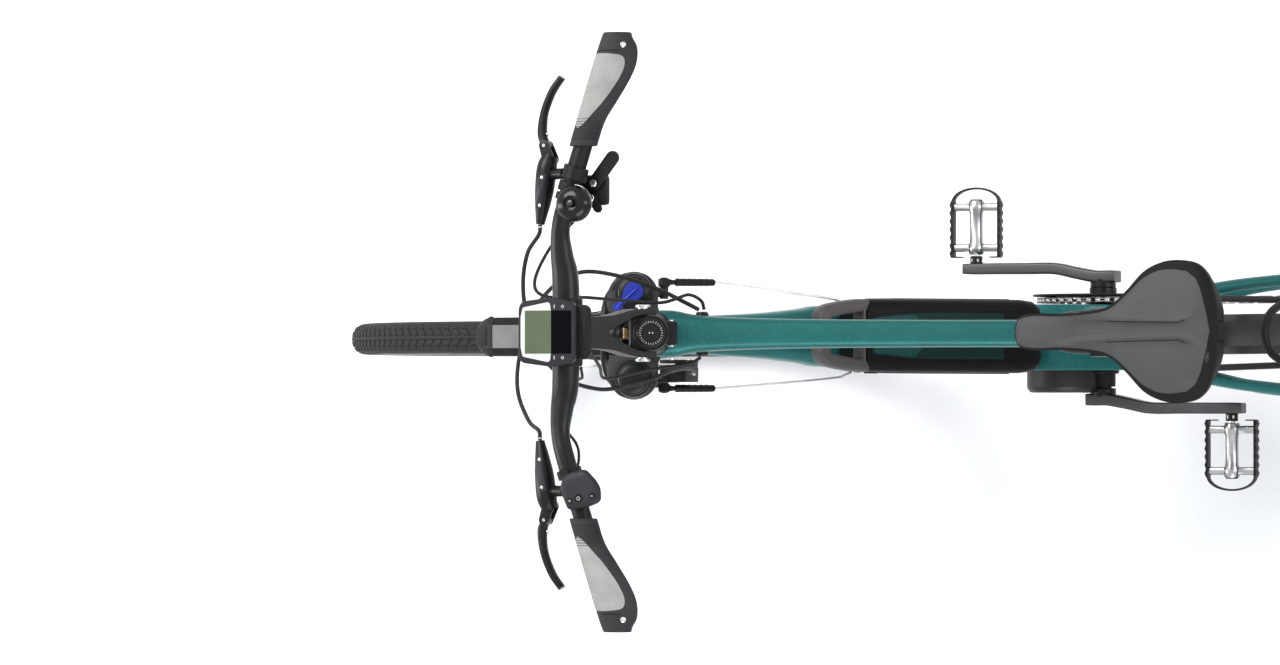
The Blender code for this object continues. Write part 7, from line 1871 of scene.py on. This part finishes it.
def inlay():
    end = FIRST + 0.200 - 0.0003
    line = both_sides([(FIRST + 0.0055, -0.0227), (FIRST + 0.070, -0.0287), (end, -0.0287)])
    line = rounded(line, [0.004, 0.05, 0.004] * 2, 5)
    top = plate(line, down(0, 0.1062), DOWN_DIR, Y, 0.0047, 0.0009, 3)
    # The lighter wedge by the handle is a painted highlight where the inlay curves down to the handle.
    highlight_wedge = [
        (FIRST + 0.0085, -0.0215), (FIRST + 0.066, -0.0265), (FIRST + 0.096, 0.0),
        (FIRST + 0.066, 0.0265), (FIRST + 0.0085, 0.0215)
    ]
    step = plate(rounded(highlight_wedge, 0.003, 4), down(0, 0.1069), DOWN_DIR, Y, 0.0010, 0.0006, 3)
    return [(top, TEAL_INLAY), (step, TEAL_PAINTED_HIGHLIGHT)]


def battery_handle():
    """A flat loop; its two arms flow into the case's shoulders."""
    half = [
        (BATTERY_AT + 0.0100, 0.0), (BATTERY_AT + 0.0100, 0.0180), (BATTERY_AT + 0.0135, 0.0275),
        (BATTERY_AT + 0.0300, 0.0325), (FIRST - 0.012, 0.0362), (FIRST + 0.004, 0.0370)
    ]
    path = [down(s, 0.0880, -y) for s, y in reversed(half)] + [down(s, 0.0880, y) for s, y in half[1:]]
    line = curve(path, 8)
    shares = [abs(2 * i / (len(line) - 1) - 1) for i in range(len(line))]
    loop = sweep(line, [oval(0.0130, 0.0096 - 0.0015 * t, 28, 0.62) for t in shares], DOWN_UP)
    back = box(down(FIRST - 0.0022, 0.0880), (0.0038, 0.082, 0.0255), 0.0016, DOWN_DIR, DOWN_UP)
    return [(merge([loop, back]), HANDLE_GREY)]


HANDLE_GREY = finish("handle_grey", (0.062, 0.054, 0.056), 0.50, 0.0, 0.10, 1300.0, 0.04, shine=0.35)
piece("motor_case", "frame", ["motor_housing"], motor(), 34)
piece("battery_shell", "battery", ["battery_case"], battery(), 40)
piece("battery_inlay", "battery", ["battery_panel"], inlay(), 40)
piece("battery_grip_loop", "battery", ["battery_handle"], battery_handle(), 50)

# %% [markdown]
# ## Drive
# Cranks are cold-forged and clamp on the motor's spindle. Ring and sprockets are stamped with
# teeth that fall in the gaps of the chain. The chain is stamped plates on pins, one inner link
# after one outer link, set down one after the other along its real path at the true pitch.

# %% Toothed wheels and chain
PITCH, CHAINLINE, CHAIN_W, CHAIN_H = 0.0127, 0.0478, 0.0066, 0.0082
RING_TEETH, SPROCKET_TEETH, PULLEY_TEETH = 40, 20, 11
GUIDE = REAR_AXLE + Vector((0.004, -CHAINLINE, -0.088))
TENSION = GUIDE + Vector((0.030, 0.0, -0.052))


def pitch_radius(teeth):
    return PITCH / (2 * SIN(PI / teeth))


def chain_joints():
    """Pins of the chain on every toothed wheel and between them, and each wheel's first angle."""
    wheels = (
        (BB, RING_TEETH, 1), (REAR_AXLE, SPROCKET_TEETH, 1), (GUIDE, PULLEY_TEETH, -1),
        (TENSION, PULLEY_TEETH, 1)
    )
    circles = [(Vector((at.x, at.z)), pitch_radius(teeth), sense) for at, teeth, sense in wheels]
    leaves, meets = [], []
    for i, (centre, radius, sense) in enumerate(circles):
        other, other_r, other_sense = circles[(i + 1) % 4]
        run = other - centre
        lean = math.atan2(run.y, run.x) - math.asin((other_sense * other_r - sense * radius) / run.length)
        across = Vector((-SIN(lean), COS(lean)))
        leaves.append(centre - sense * radius * across)
        meets.append(other - other_sense * other_r * across)
    groups, starts = [], []
    for i, (centre, radius, sense) in enumerate(circles):
        arrive, depart = meets[i - 1] - centre, leaves[i] - centre
        first = math.atan2(arrive.y, arrive.x)
        span = (sense * (math.atan2(depart.y, depart.x) - first)) % (2 * PI)
        step = 2 * math.asin(PITCH / 2 / radius)
        count = int(span / step)
        start = first + sense * (span - count * step) / 2
        starts.append(start)
        angles = [start + sense * step * k for k in range(count + 1)]
        groups.append([centre + radius * Vector((COS(angle), SIN(angle))) for angle in angles])
    joints = []
    for i, group in enumerate(groups):
        run = groups[(i + 1) % 4][0] - group[-1]
        count = max(1, round(run.length / PITCH))
        joints += group + [group[-1] + run * k / count for k in range(1, count)]
    return joints, starts


JOINTS, STARTS = chain_joints()
TOOTH = ((-0.5, 0.0), (-0.30, 0.12), (-0.14, 0.8), (-0.07, 1.0), (0.07, 1.0), (0.14, 0.8), (0.30, 0.12))


def gear(axle, side, teeth, start, thick, bore, drop=0.0047, rise=0.0020):
    """A toothed disc round an axle; each tooth is flat-topped with rounded gaps between."""
    radius, rings = pitch_radius(teeth), []
    for i in range(teeth):
        middle = start + 2 * PI * (i + 0.5) / teeth
        for share, height in TOOTH:
            angle, outer = middle + share * 2 * PI / teeth, radius - drop + (drop + rise) * height
            slim, root = thick * (0.5 - 0.22 * height), radius - drop - 0.001
            place = lambda r, y: axle + Vector((r * COS(angle), side + y, r * SIN(angle)))
            row = [(outer, slim), (root, thick / 2), (bore, thick / 2)]
            rings.append([place(r, y) for r, y in both_sides(row)])
    return rings_to_mesh(rings, True)


def link(wide, thick):
    """Two waisted plates of one link from its first pin along X, with pins or rollers."""
    line = []
    for i in range(28):
        a, b = COS(2 * PI * i / 28), SIN(2 * PI * i / 28)
        end = 1 if a > 0.02 else -1 if a < -0.02 else 0
        waist = 1 - 0.28 * max(0.0, 1 - abs(a) * 6)
        line.append((PITCH / 2 + (PITCH / 2) * end + CHAIN_H / 2 * a, CHAIN_H / 2 * b * waist))
    sides = (wide, -wide + thick)
    return [plate(line, Vector((0, side, 0)), X, Z, thick, 0.00025, 1) for side in sides]


def chain():
    outer, inner = link(CHAIN_W / 2, 0.0010), link(CHAIN_W / 2 - 0.0011, 0.0009)
    for along in (0, PITCH):
        outer.append(
            rod(Vector((along, -CHAIN_W / 2, 0)), Vector((along, CHAIN_W / 2, 0)), 0.0018, 12, 0.0002)
        )
        inner.append(rod(Vector((along, -0.0013, 0)), Vector((along, 0.0013, 0)), 0.0038, 14, 0.0003))
    places = ([], [])
    for i, here in enumerate(JOINTS):
        run = JOINTS[(i + 1) % len(JOINTS)] - here
        places[i % 2].append(((here.x, -CHAINLINE, here.y), (0, -math.atan2(run.y, run.x), 0)))
    return [
        (set_down(merge(outer), places[0], CHAIN), CHAIN),
        (set_down(merge(inner), places[1], SILVER), SILVER)
    ]


def chainring():
    ring = [gear(BB, -CHAINLINE, RING_TEETH, STARTS[0], 0.0021, 0.0625)]
    spider = []
    for i in range(4):
        turn = 2 * PI * i / 4
        arm = both_sides([(0.010, -0.015), (0.052, -0.0085), (0.0685, -0.0085)])
        way = Vector((-SIN(turn), 0, COS(turn)))
        spider.append(plate(arm, BB - 0.0462 * Y, ray(turn), way, 0.0040, 0.0010))
    spider.append(rod(BB - 0.0646 * Y, BB - 0.0440 * Y, 0.0175, 56, 0.0010))
    edge = [
        (0.0600, -0.0528), (0.0895, -0.0528), (0.0900, -0.0534), (0.0900, -0.0548), (0.0890, -0.0556),
        (0.0610, -0.0556), (0.0600, -0.0550)
    ]
    disc = lathe(edge, BB, Y, 120, True)
    posts = []
    for i in range(4):
        post = BB + 0.0665 * ray(PI * i / 2)
        spider.append(rod(post - 0.0470 * Y, post - 0.0540 * Y, 0.0050, 24))
        posts.append(bolt(post - 0.0555 * Y, -Y, 0.0046, 0.0007))
    return [(merge(ring), DARK_STEEL), (merge(spider), ANODISED), (disc, PLASTIC), (merge(posts), STEEL)]


def cassette():
    discs = []
    for i, teeth in enumerate([32, 28, 24, SPROCKET_TEETH, 17, 14, 12]):
        side = -CHAINLINE + (3 - i) * 0.0048
        start = STARTS[1] if teeth == SPROCKET_TEETH else 0.13 * i
        discs.append(gear(REAR_AXLE, side, teeth, start, 0.0018, 0.0165))
    spacer = bush(REAR_AXLE - 0.0303 * Y, REAR_AXLE - 0.0645 * Y, 0.0175, 0.0095, 48, 0.0006)
    ring = [(0.0095, -0.0638), (0.0165, -0.0638), (0.0165, -0.0652), (0.0130, -0.0658), (0.0095, -0.0658)]
    return [(merge(discs), STEEL), (spacer, ANODISED), (lathe(ring, REAR_AXLE, Y, 48, True), SILVER)]


def pulley(centre, start):
    toothed = gear(centre, 0.0, PULLEY_TEETH, start, 0.0021, 0.0060)
    hub_of = bush(centre - 0.0045 * Y, centre + 0.0045 * Y, 0.0065, 0.0027, 36, 0.0003)
    bearing = bush(centre - 0.0040 * Y, centre + 0.0040 * Y, 0.0045, 0.0025, 28, 0.0002)
    return [(merge([toothed, hub_of]), PLASTIC), (bearing, STEEL)]


def derailleur_body():
    hang = REAR_AXLE + Vector((-0.010, 0, -0.032))
    low = Vector((GUIDE.x - 0.002, 0, GUIDE.z + 0.004))
    out, cage_out = -0.0748, -0.0566
    case = [
        rod(hang + out * Y, hang + (out - 0.013) * Y, 0.0115, 40, 0.0015),
        rod(low + cage_out * Y, low + (cage_out - 0.016) * Y, 0.0135, 44, 0.0018)
    ]
    path = [hang + (out - 0.008) * Y, hang.lerp(low, 0.5) - 0.080 * Y, low + (cage_out - 0.009) * Y]
    case.append(sweep(curve(path, 8), [oval(0.0065, 0.010, 28, 0.7)] * (2 * 8 + 1), Y))
    steel = [
        bolt(hang + (out - 0.0130) * Y, -Y, 0.0062, 0.0016),
        bolt(low + (cage_out - 0.0160) * Y, -Y, 0.0050, 0.0014)
    ]
    return [(merge(case), ANODISED), (merge(steel), STEEL)]


def derailleur_cage():
    guide, offset = Vector((GUIDE.x, 0, GUIDE.z)), TENSION - GUIDE
    outline = lobe(0.0120, (offset.x, offset.z), 0.0100, 28)
    plates = [plate(outline, guide - side * Y, X, Z, 0.002, 0.0005) for side in (0.0543, 0.0393)]
    bolts = []
    for centre in (guide, guide + Vector((offset.x, 0, offset.z))):
        bolts.append(rod(centre - 0.0553 * Y, centre - 0.0401 * Y, 0.0025, 20))
        bolts.append(bolt(centre - 0.0560 * Y, -Y, 0.0040, 0.0012))
    return [(merge(plates), DARK_STEEL), (merge(bolts), STEEL)]


# %% [markdown]
# ## Cranks and pedals
# Each forged arm carries a steel axle. A polished block turns on it, between toothed plates
# that a bow joins at the far side.

# %% Cranks and pedals
CRANK_L, PEDAL_Y = 0.170, 0.1430


def crank(name, body, node, hand, ahead):
    rows = [
        (-0.0195, 0.0712, 0.0862, 0.0150), (-0.010, 0.0707, 0.0866, 0.0158),
        (0.008, 0.0707, 0.0866, 0.0162), (0.036, 0.0762, 0.0914, 0.0148), (0.064, 0.0818, 0.0968, 0.0132)
    ]
    rows += [
        (0.104, 0.0822, 0.0968, 0.0125), (0.148, 0.0824, 0.0968, 0.0125), (0.173, 0.0824, 0.0968, 0.0125),
        (0.1855, 0.0830, 0.0962, 0.0112)
    ]
    points = [BB + x * ahead * X + (inner + outer) / 2 * hand * Y for x, inner, outer, _ in rows]
    sizes = [(high, (outer - inner) / 2) for _, inner, outer, high in rows]
    arm = sweep(curve(points, 8), ovals(sizes, 8, 32, 0.28), Z)
    eye = BB + CRANK_L * ahead * X
    boss = [rod(BB + 0.0640 * hand * Y, BB + 0.0760 * hand * Y, 0.0165, 56, 0.0012)]
    boss.append(rod(eye + 0.0960 * hand * Y, eye + 0.1062 * hand * Y, 0.0080, 36, 0.0008))
    boss.append(bolt(BB + 0.0850 * hand * Y, hand * Y, 0.0095, 0.0014))
    steel = [rod(eye + 0.1000 * hand * Y, eye + 0.1780 * hand * Y, 0.0045, 24)]
    steel.append(rod(eye + 0.0985 * hand * Y, eye + 0.1030 * hand * Y, 0.0086, 6))
    if hand < 0:
        boss.append(rod(BB - 0.072 * Y, BB + 0.0790 * Y, 0.011, 32))
    parts = [(arm, CRANK_GREY), (merge(boss), ANODISED), (merge(steel), STEEL)]
    thing = piece(name, body, [node], parts, 30)
    for face in thing.data.polygons:
        if face.material_index == 0 and abs(face.normal.z) < 0.86:
            face.material_index = 1
    return thing


def pedal(name, body, node, hand, ahead):
    centre = BB + CRANK_L * ahead * X + PEDAL_Y * hand * Y
    half_l, wall, teeth, near, far = 0.0343, 0.0026, 7, -0.0390, 0.0345
    cage = []
    for end in (1, -1):
        line = []
        for i in range(teeth * 2 + 1):
            line.append((half_l - (0.0 if i % 2 else 0.0019), near + (far - near) * i / (teeth * 2)))
        inside, foot = half_l - 0.0019 - wall, half_l - 0.0150
        line += [(inside, far), (inside, near + 0.0016), (foot, near + 0.0016), (foot, near)]
        line = [(a * end, b * hand) for a, b in line]
        cage.append(plate(line, centre - 0.0075 * Z, X, Y, 0.015, 0.0005))
    bow = []
    for turn in (PI * i / 24 for i in range(25)):
        ahead_by, out = (half_l - 0.0032) * COS(turn), far - 0.002 + 0.0180 * SIN(turn)
        bow.append(centre + Vector((ahead_by, out * hand, 0)))
    cage.append(sweep(bow, oval(0.0070, 0.0013, 16, 0.6), Z))
    barrel = [
        (0, -0.0350), (0.0086, -0.0350), (0.0100, -0.0330), (0.0104, -0.0240), (0.0086, -0.0180),
        (0.0082, 0.0), (0.0086, 0.0180), (0.0104, 0.0240), (0.0100, 0.0330), (0.0086, 0.0350), (0, 0.0350)
    ]
    block = [lathe(barrel, centre, Y, 44)]
    for end in (1, -1):
        for side in (1, -1):
            arm_line = [
                centre + Vector((end * a, side * 0.0262, 0)) for a in (0.0060, 0.0110, 0.0200, 0.0305)
            ]
            shapes = [oval(wide, 0.0050, 20, 0.7) for wide in (0.0052, 0.0038, 0.0032, 0.0034)]
            block.append(sweep(arm_line, shapes, Z))
    caps = [rod(centre + 0.0345 * hand * Y, centre + 0.0362 * hand * Y, 0.0078, 36, 0.0006)]
    parts = [(merge(cage + caps), PLASTIC), (merge(block), PEDAL_ALLOY)]
    return piece(name, body, [node], parts, 34)


PEDAL_ALLOY = finish("polished_pedal_alloy", (0.42, 0.42, 0.43), 0.28, 1.0, 0.10, 1800.0, 0.008)
CRANK_GREY = finish("crank_grey", (0.062, 0.062, 0.064), 0.42, 0.35, 0.08, 700.0, 0.03, wear=0.12)
piece("chain_links", "frame", ["chain"], chain(), 40)
piece("chainring_and_guard", "crank", ["chainring"], chainring(), 30)
piece("sprockets", "cassette", ["cassette"], cassette(), 30)
piece("guide_wheel", "guide_pulley", ["pulley_guide"], pulley(GUIDE, STARTS[2]), 30)
piece(
    "tension_wheel", "tension_pulley", ["pulley_tension"], pulley(TENSION, STARTS[3]), 30
)
piece("derailleur_case", "frame", ["derailleur_body"], derailleur_body())
piece("derailleur_plates", "cage", ["derailleur_cage"], derailleur_cage())
crank("crank_arm_right", "crank", "crank_right", -1, 1)
crank("crank_arm_left", "crank", "crank_left", 1, -1)
pedal("pedal_cage_right", "right_pedal", "pedal_right", -1, 1)
pedal("pedal_cage_left", "left_pedal", "pedal_left", 1, -1)

# %% [markdown]
# ## Rack, lights and stand
# The rack is bent from black rod and welded, with a plate for the rear light. Both lamps are
# closed housings behind a lens, the front one with cooling fins. The kickstand is a tube on a
# bolted hub, with a broad foot.

# %% Rack, lights and stand
DECK_Z = 0.800


def rack():
    half = [
        (0.9890, 0.0), (0.9930, 0.0180), (1.0060, 0.0310), (1.0300, 0.0380), (1.1000, 0.0560),
        (1.1800, 0.0620), (1.3000, 0.0620), (1.3250, 0.0520), (1.3300, 0.0300)
    ]
    loop = [spot(x, y, DECK_Z) for x, y in half] + [spot(x, -y, DECK_Z) for x, y in reversed(half[1:])]
    tubes = [pipe(curve(loop + loop[:1], 5)[:-1], 0.005, 20, Z, True)]
    for behind, wide in ((1.0300, 0.038), (1.1800, 0.062), (1.2600, 0.062)):
        tubes.append(rod(spot(behind, wide, DECK_Z), spot(behind, -wide, DECK_Z), 0.0038, 20))
    bolts = []
    for hand in (1, -1):
        eye = REAR_AXLE + Vector((-0.001, EYE_Y * hand, 0.040))
        tubes.append(rod(eye, eye + 0.006 * hand * Y, 0.0062, 28))
        for behind, wide in ((1.1000, 0.056), (1.2200, 0.062)):
            tubes.append(rod(eye + 0.0048 * hand * Y, spot(behind, wide * hand, DECK_Z), 0.0042, 20))
        stay = seat_stay(0.15) + (0.031 + 0.0097) * hand * Y
        tubes.append(rod(stay, stay + 0.006 * hand * Y, 0.006, 24))
        tubes.append(rod(stay + 0.003 * hand * Y, spot(1.0300, 0.038 * hand, DECK_Z), 0.004, 20))
        bolts += [
            bolt(eye + 0.0058 * hand * Y, hand * Y, 0.0042, 0.0020),
            bolt(stay + 0.0058 * hand * Y, hand * Y, 0.0036, 0.0016)
        ]
    tubes.append(slab(spot(1.3360, -0.042, 0.742), spot(1.3320, 0.042, 0.803), 0.0012))
    return [(merge(tubes), PLASTIC), (merge(bolts), STEEL)]


def rear_lamp():
    back = spot(1.3363, 0.0, 0.765)
    corners = [(-0.040, -0.018), (0.040, -0.018), (0.040, 0.010), (0.032, 0.018)]
    corners += [(-0.032, 0.018), (-0.040, 0.010)]
    line = rounded(corners, 0.004, 5)
    small = [(a * 0.90, b * 0.86) for a, b in line]
    case = plate(line, back, Y, Z, -0.0120, 0.0010)
    lens = plate(small, back - 0.0115 * X, Y, Z, -0.0085, 0.0026, 4)
    bars = []
    for i in range(9):
        bars.append(box(back + Vector((-0.0198, -0.028 + 0.007 * i, 0)), (0.0006, 0.0024, 0.024), 0.0002))
    return [(case, PLASTIC), (merge([lens] + bars), RED)]


def head_lamp():
    back = steer(CROWN + 0.0039, 0.034)
    case = [
        (0, 0), (0.0115, 0), (0.0124, 0.0010), (0.0164, 0.0080), (0.0170, 0.0100), (0.0170, 0.0300),
        (0.0160, 0.0312), (0.0150, 0.0312), (0.0148, 0.0290), (0, 0.0270)
    ]
    lens = [(0, 0.0275), (0.0146, 0.0292), (0.0146, 0.0318), (0.0110, 0.0334), (0, 0.0340)]
    fins = []
    for rim, a in ((0.0146 + 0.0006 * k, a) for k, a in enumerate((0.0030, 0.0054, 0.0078))):
        fin = [(0.0120, a), (rim, a), (rim, a + 0.0012), (0.0120, a + 0.0012)]
        fins.append(lathe(fin, back, X, 48, True))
    arm = box(steer(CROWN - 0.0096, 0.0328), (0.0154, 0.012, 0.026), 0.0016, STEER_FWD, STEER_UP)
    return [(merge([lathe(case, back, X, 64), arm] + fins), ANODISED), (lathe(lens, back, X, 64), CLEAR)]


def kickstand():
    work = bmesh.new()
    work.from_mesh(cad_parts["kickstand_leg"].data)
    bmesh.ops.remove_doubles(work, verts=work.verts, dist=0.00002)
    bmesh.ops.dissolve_limit(work, angle_limit=math.radians(1), verts=work.verts, edges=work.edges)
    return [(soften(work, 0.0007, 2, 40), ANODISED)]


piece("rack_tubes", "frame", ["rear_rack"], rack(), 40)
piece("tail_lamp", "frame", ["rear_light"], rear_lamp(), 36)
piece("head_lamp", "steering", ["headlight"], head_lamp(), 36)
piece("stand_leg", "kickstand", ["kickstand_leg"], kickstand(), 36)

# %% [markdown]
# ## Hoses and leads
# Brake hoses are lined nylon under a smooth black jacket. They leave the lever housings, bow
# ahead of the bar so the steering can turn, and run to the fork's caliper or into the frame's
# ports. Their points are those of the frame's own cords.

# %% Hoses and leads
HOSE_R, LEAD_R = 0.0025, 0.0020
ROUTES = {
    "hose_front": (
        HOSE_R, "cockpit",
        [
            (0.1848, -0.1273, 1.0919), (0.1822, -0.1160, 1.0890), (0.1560, -0.0950, 1.0600),
            (0.1360, -0.0600, 1.0250), (0.1270, -0.0200, 0.9900), (0.1300, 0.0250, 0.9550),
            (0.1500, 0.0550, 0.9150), (0.1680, 0.0660, 0.8650), (0.1800, 0.0650, 0.8280),
            (0.2000, 0.0610, 0.8200), (0.2160, 0.0540, 0.8080), (0.2200, 0.0470, 0.7700),
            (0.2120, 0.0430, 0.7200), (0.1755, 0.0400, 0.5800), (0.1350, 0.0410, 0.4400),
            (0.1120, 0.0430, 0.3760)
        ]
    ),
    "hose_rear": (
        HOSE_R, "frame",
        [
            (0.1848, 0.1273, 1.0919), (0.1822, 0.1160, 1.0890), (0.1560, 0.1050, 1.0550),
            (0.1290, 0.0740, 1.0220), (0.1150, 0.0400, 0.9900), (0.1150, 0.0050, 0.9680),
            (0.1300, -0.0380, 0.9580), (0.1560, -0.0650, 0.9530), (0.1795, -0.0741, 0.9500),
            (0.2015, -0.0742, 0.9400), (0.2357, -0.0659, 0.9250), (0.2687, -0.0528, 0.9120),
            (0.3000, -0.0370, 0.9060), (0.3150, -0.0292, 0.9040)
        ]
    ),
    "shift_cable": (
        LEAD_R, "frame",
        [
            (0.2326, -0.1436, 1.0810), (0.2200, -0.1300, 1.0770), (0.1862, -0.1000, 1.0650),
            (0.1550, -0.0620, 1.0350), (0.1500, -0.0450, 0.9900), (0.1850, -0.0440, 0.9450),
            (0.2300, -0.0400, 0.9300), (0.2711, -0.0375, 0.9230), (0.2900, -0.0415, 0.9200),
            (0.3059, -0.0470, 0.9130), (0.3165, -0.0400, 0.9000), (0.3190, -0.0295, 0.8960)
        ]
    ),
    "motor_lead": (
        LEAD_R, "frame",
        [
            (0.2500, 0.0200, 1.1120), (0.2520, 0.0240, 1.1000), (0.2440, 0.0400, 1.0500),
            (0.2223, 0.0535, 0.9800), (0.2330, 0.0500, 0.9400), (0.2700, 0.0410, 0.9150),
            (0.3020, 0.0360, 0.9030), (0.3160, 0.0283, 0.9000)
        ]
    )
}
for node, (radius, body, points) in ROUTES.items():
    path = curve([spot(*point) for point in points], 6)
    cord = piece(node + "_jacket", body, [node], [(pipe(path, radius, 16, Z), RUBBER)], 60)

# %% [markdown]
# ## Floor, light and camera
# The object stands on a white sweep under broad soft lamps, as a shop photographs a bike. The
# camera hangs eight metres up, well behind the bike, and looks down and forward with a long
# lens, 21 degrees off the vertical.


# %% Stage
def sees_past(nodes, links):
    """1 for a ray from the camera, from a reflection or through glass, 0 for lighting."""
    light = nodes.new("ShaderNodeLightPath")
    total = light.outputs["Is Camera Ray"]
    for kind in ("Is Glossy Ray", "Is Transmission Ray"):
        either = nodes.new("ShaderNodeMath")
        either.operation = "MAXIMUM"
        links.new(total, either.inputs[0])
        links.new(light.outputs[kind], either.inputs[1])
        total = either.outputs["Value"]
    return total


def backdrop():
    """White where the camera or a reflection looks past the object, soft grey as a light."""
    world = bpy.data.worlds.new("studio")
    bpy.context.scene.world = world
    world.use_nodes = True
    nodes, links = world.node_tree.nodes, world.node_tree.links
    back = nodes["Background"]
    white = nodes.new("ShaderNodeBackground")
    white.inputs["Color"].default_value = (1.0, 1.0, 1.0, 1)
    white.inputs["Strength"].default_value = 1.0
    back.inputs["Color"].default_value = (0.80, 0.84, 0.90, 1)
    back.inputs["Strength"].default_value = 0.55
    mix = nodes.new("ShaderNodeMixShader")
    links.new(sees_past(nodes, links), mix.inputs["Fac"])
    links.new(back.outputs["Background"], mix.inputs[1])
    links.new(white.outputs["Background"], mix.inputs[2])
    links.new(mix.outputs["Shader"], nodes["World Output"].inputs["Surface"])


SHADOW_REACH, WHITE_FROM, FLOOR_HALF, FLOOR_Z = 1.25, 2.3, 14, -0.0006


def floor_finish():
    """Matt round the object, where its shadow falls, and plain white further out."""
    material = bpy.data.materials.new("studio_floor")
    material.use_nodes = True
    shader = material.node_tree.nodes["Principled BSDF"]
    shader.inputs["Base Color"].default_value = (0.93, 0.93, 0.93, 1)
    shader.inputs["Roughness"].default_value = 0.9
    nodes, links = material.node_tree.nodes, material.node_tree.links
    place, away = nodes.new("ShaderNodeTexCoord"), nodes.new("ShaderNodeVectorMath")
    fade, share = nodes.new("ShaderNodeMapRange"), nodes.new("ShaderNodeMath")
    glow, mix = nodes.new("ShaderNodeEmission"), nodes.new("ShaderNodeMixShader")
    away.operation, share.operation = "LENGTH", "MULTIPLY"
    fade.inputs["From Min"].default_value = SHADOW_REACH
    fade.inputs["From Max"].default_value = WHITE_FROM
    links.new(place.outputs["Object"], away.inputs[0])
    links.new(away.outputs["Value"], fade.inputs["Value"])
    links.new(fade.outputs["Result"], share.inputs[0])
    links.new(sees_past(nodes, links), share.inputs[1])
    links.new(share.outputs["Value"], mix.inputs["Fac"])
    links.new(shader.outputs["BSDF"], mix.inputs[1])
    links.new(glow.outputs["Emission"], mix.inputs[2])
    links.new(mix.outputs["Shader"], nodes["Material Output"].inputs["Surface"])
    return material


def lamp(name, at, aim, size, power, colour=(1, 1, 1)):
    data = bpy.data.lights.new(name, "AREA")
    data.shape, data.size, data.size_y = "RECTANGLE", size[0], size[1]
    data.energy, data.color = power, colour
    thing = bpy.data.objects.new(name, data)
    thing.location = at
    thing.rotation_mode = "QUATERNION"
    thing.rotation_quaternion = (Vector(aim) - Vector(at)).to_track_quat("-Z", "Y")
    bpy.context.scene.collection.objects.link(thing)


backdrop()
floor = bpy.data.objects.new("floor", bpy.data.meshes.new("floor"))
corners = [(a * FLOOR_HALF, b * FLOOR_HALF, FLOOR_Z) for a, b in ((-1, -1), (1, -1), (1, 1), (-1, 1))]
sheet = mesh_of(corners, [(0, 1, 2, 3)])
sheet.to_mesh(floor.data)
sheet.free()
floor.data.materials.append(floor_finish())
bpy.context.scene.collection.objects.link(floor)
floor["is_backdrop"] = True
lamp("key", (1.8, -2.2, 4.2), (0, 0, 0.6), (2.6, 2.2), 190, (1.0, 0.985, 0.96))
lamp("fill", (-1.6, 3.4, 3.2), (-0.1, 0, 0.6), (3.2, 2.4), 120, (0.95, 0.975, 1.0))
lamp("front_strip", (4.2, 0.3, 2.4), (0.2, 0, 0.7), (0.8, 3.0), 70)
lamp("rear_strip", (-4.4, -0.5, 2.6), (-0.3, 0, 0.6), (0.8, 3.0), 60)

# %% [markdown]
# ## Camera
# The place, the lean and the focal length were solved from points seen in the photo.

# %% Camera
CAMERA_AT = Vector((-2.3552, 0.0849, 7.8634))
OFF_VERTICAL, PITCH_BACK = math.radians(21.03), 0.01165
FOCAL_PX, PHOTO_PX, SENSOR = 6173.3, 1280, 36.0
forward = Vector((SIN(OFF_VERTICAL), 0, -COS(OFF_VERTICAL)))
right, up = Vector((-COS(OFF_VERTICAL), 0, -SIN(OFF_VERTICAL))), Vector((0, -1, 0))
view = forward * COS(PITCH_BACK) + up * SIN(PITCH_BACK)
over = up * COS(PITCH_BACK) - forward * SIN(PITCH_BACK)
lens = bpy.data.cameras.new("camera")
lens.sensor_width, lens.lens = SENSOR, FOCAL_PX * SENSOR / PHOTO_PX
lens.clip_start, lens.clip_end = 0.5, 60
camera = bpy.data.objects.new("camera", lens)
turn = Matrix((right, over, -view)).transposed().to_4x4()
camera.matrix_world = Matrix.Translation(CAMERA_AT) @ turn
bpy.context.scene.collection.objects.link(camera)
bpy.context.scene.camera = camera
bpy.context.scene.view_settings.view_transform = "Standard"
left_over = sorted(name for name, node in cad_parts.items() if not node.hide_render)
print("pieces", len(MADE), "not replaced", left_over)

# %% [markdown]
# ## Sizes and end
# The box round the finished pieces is measured.

# %% Sizes and end
low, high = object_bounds()
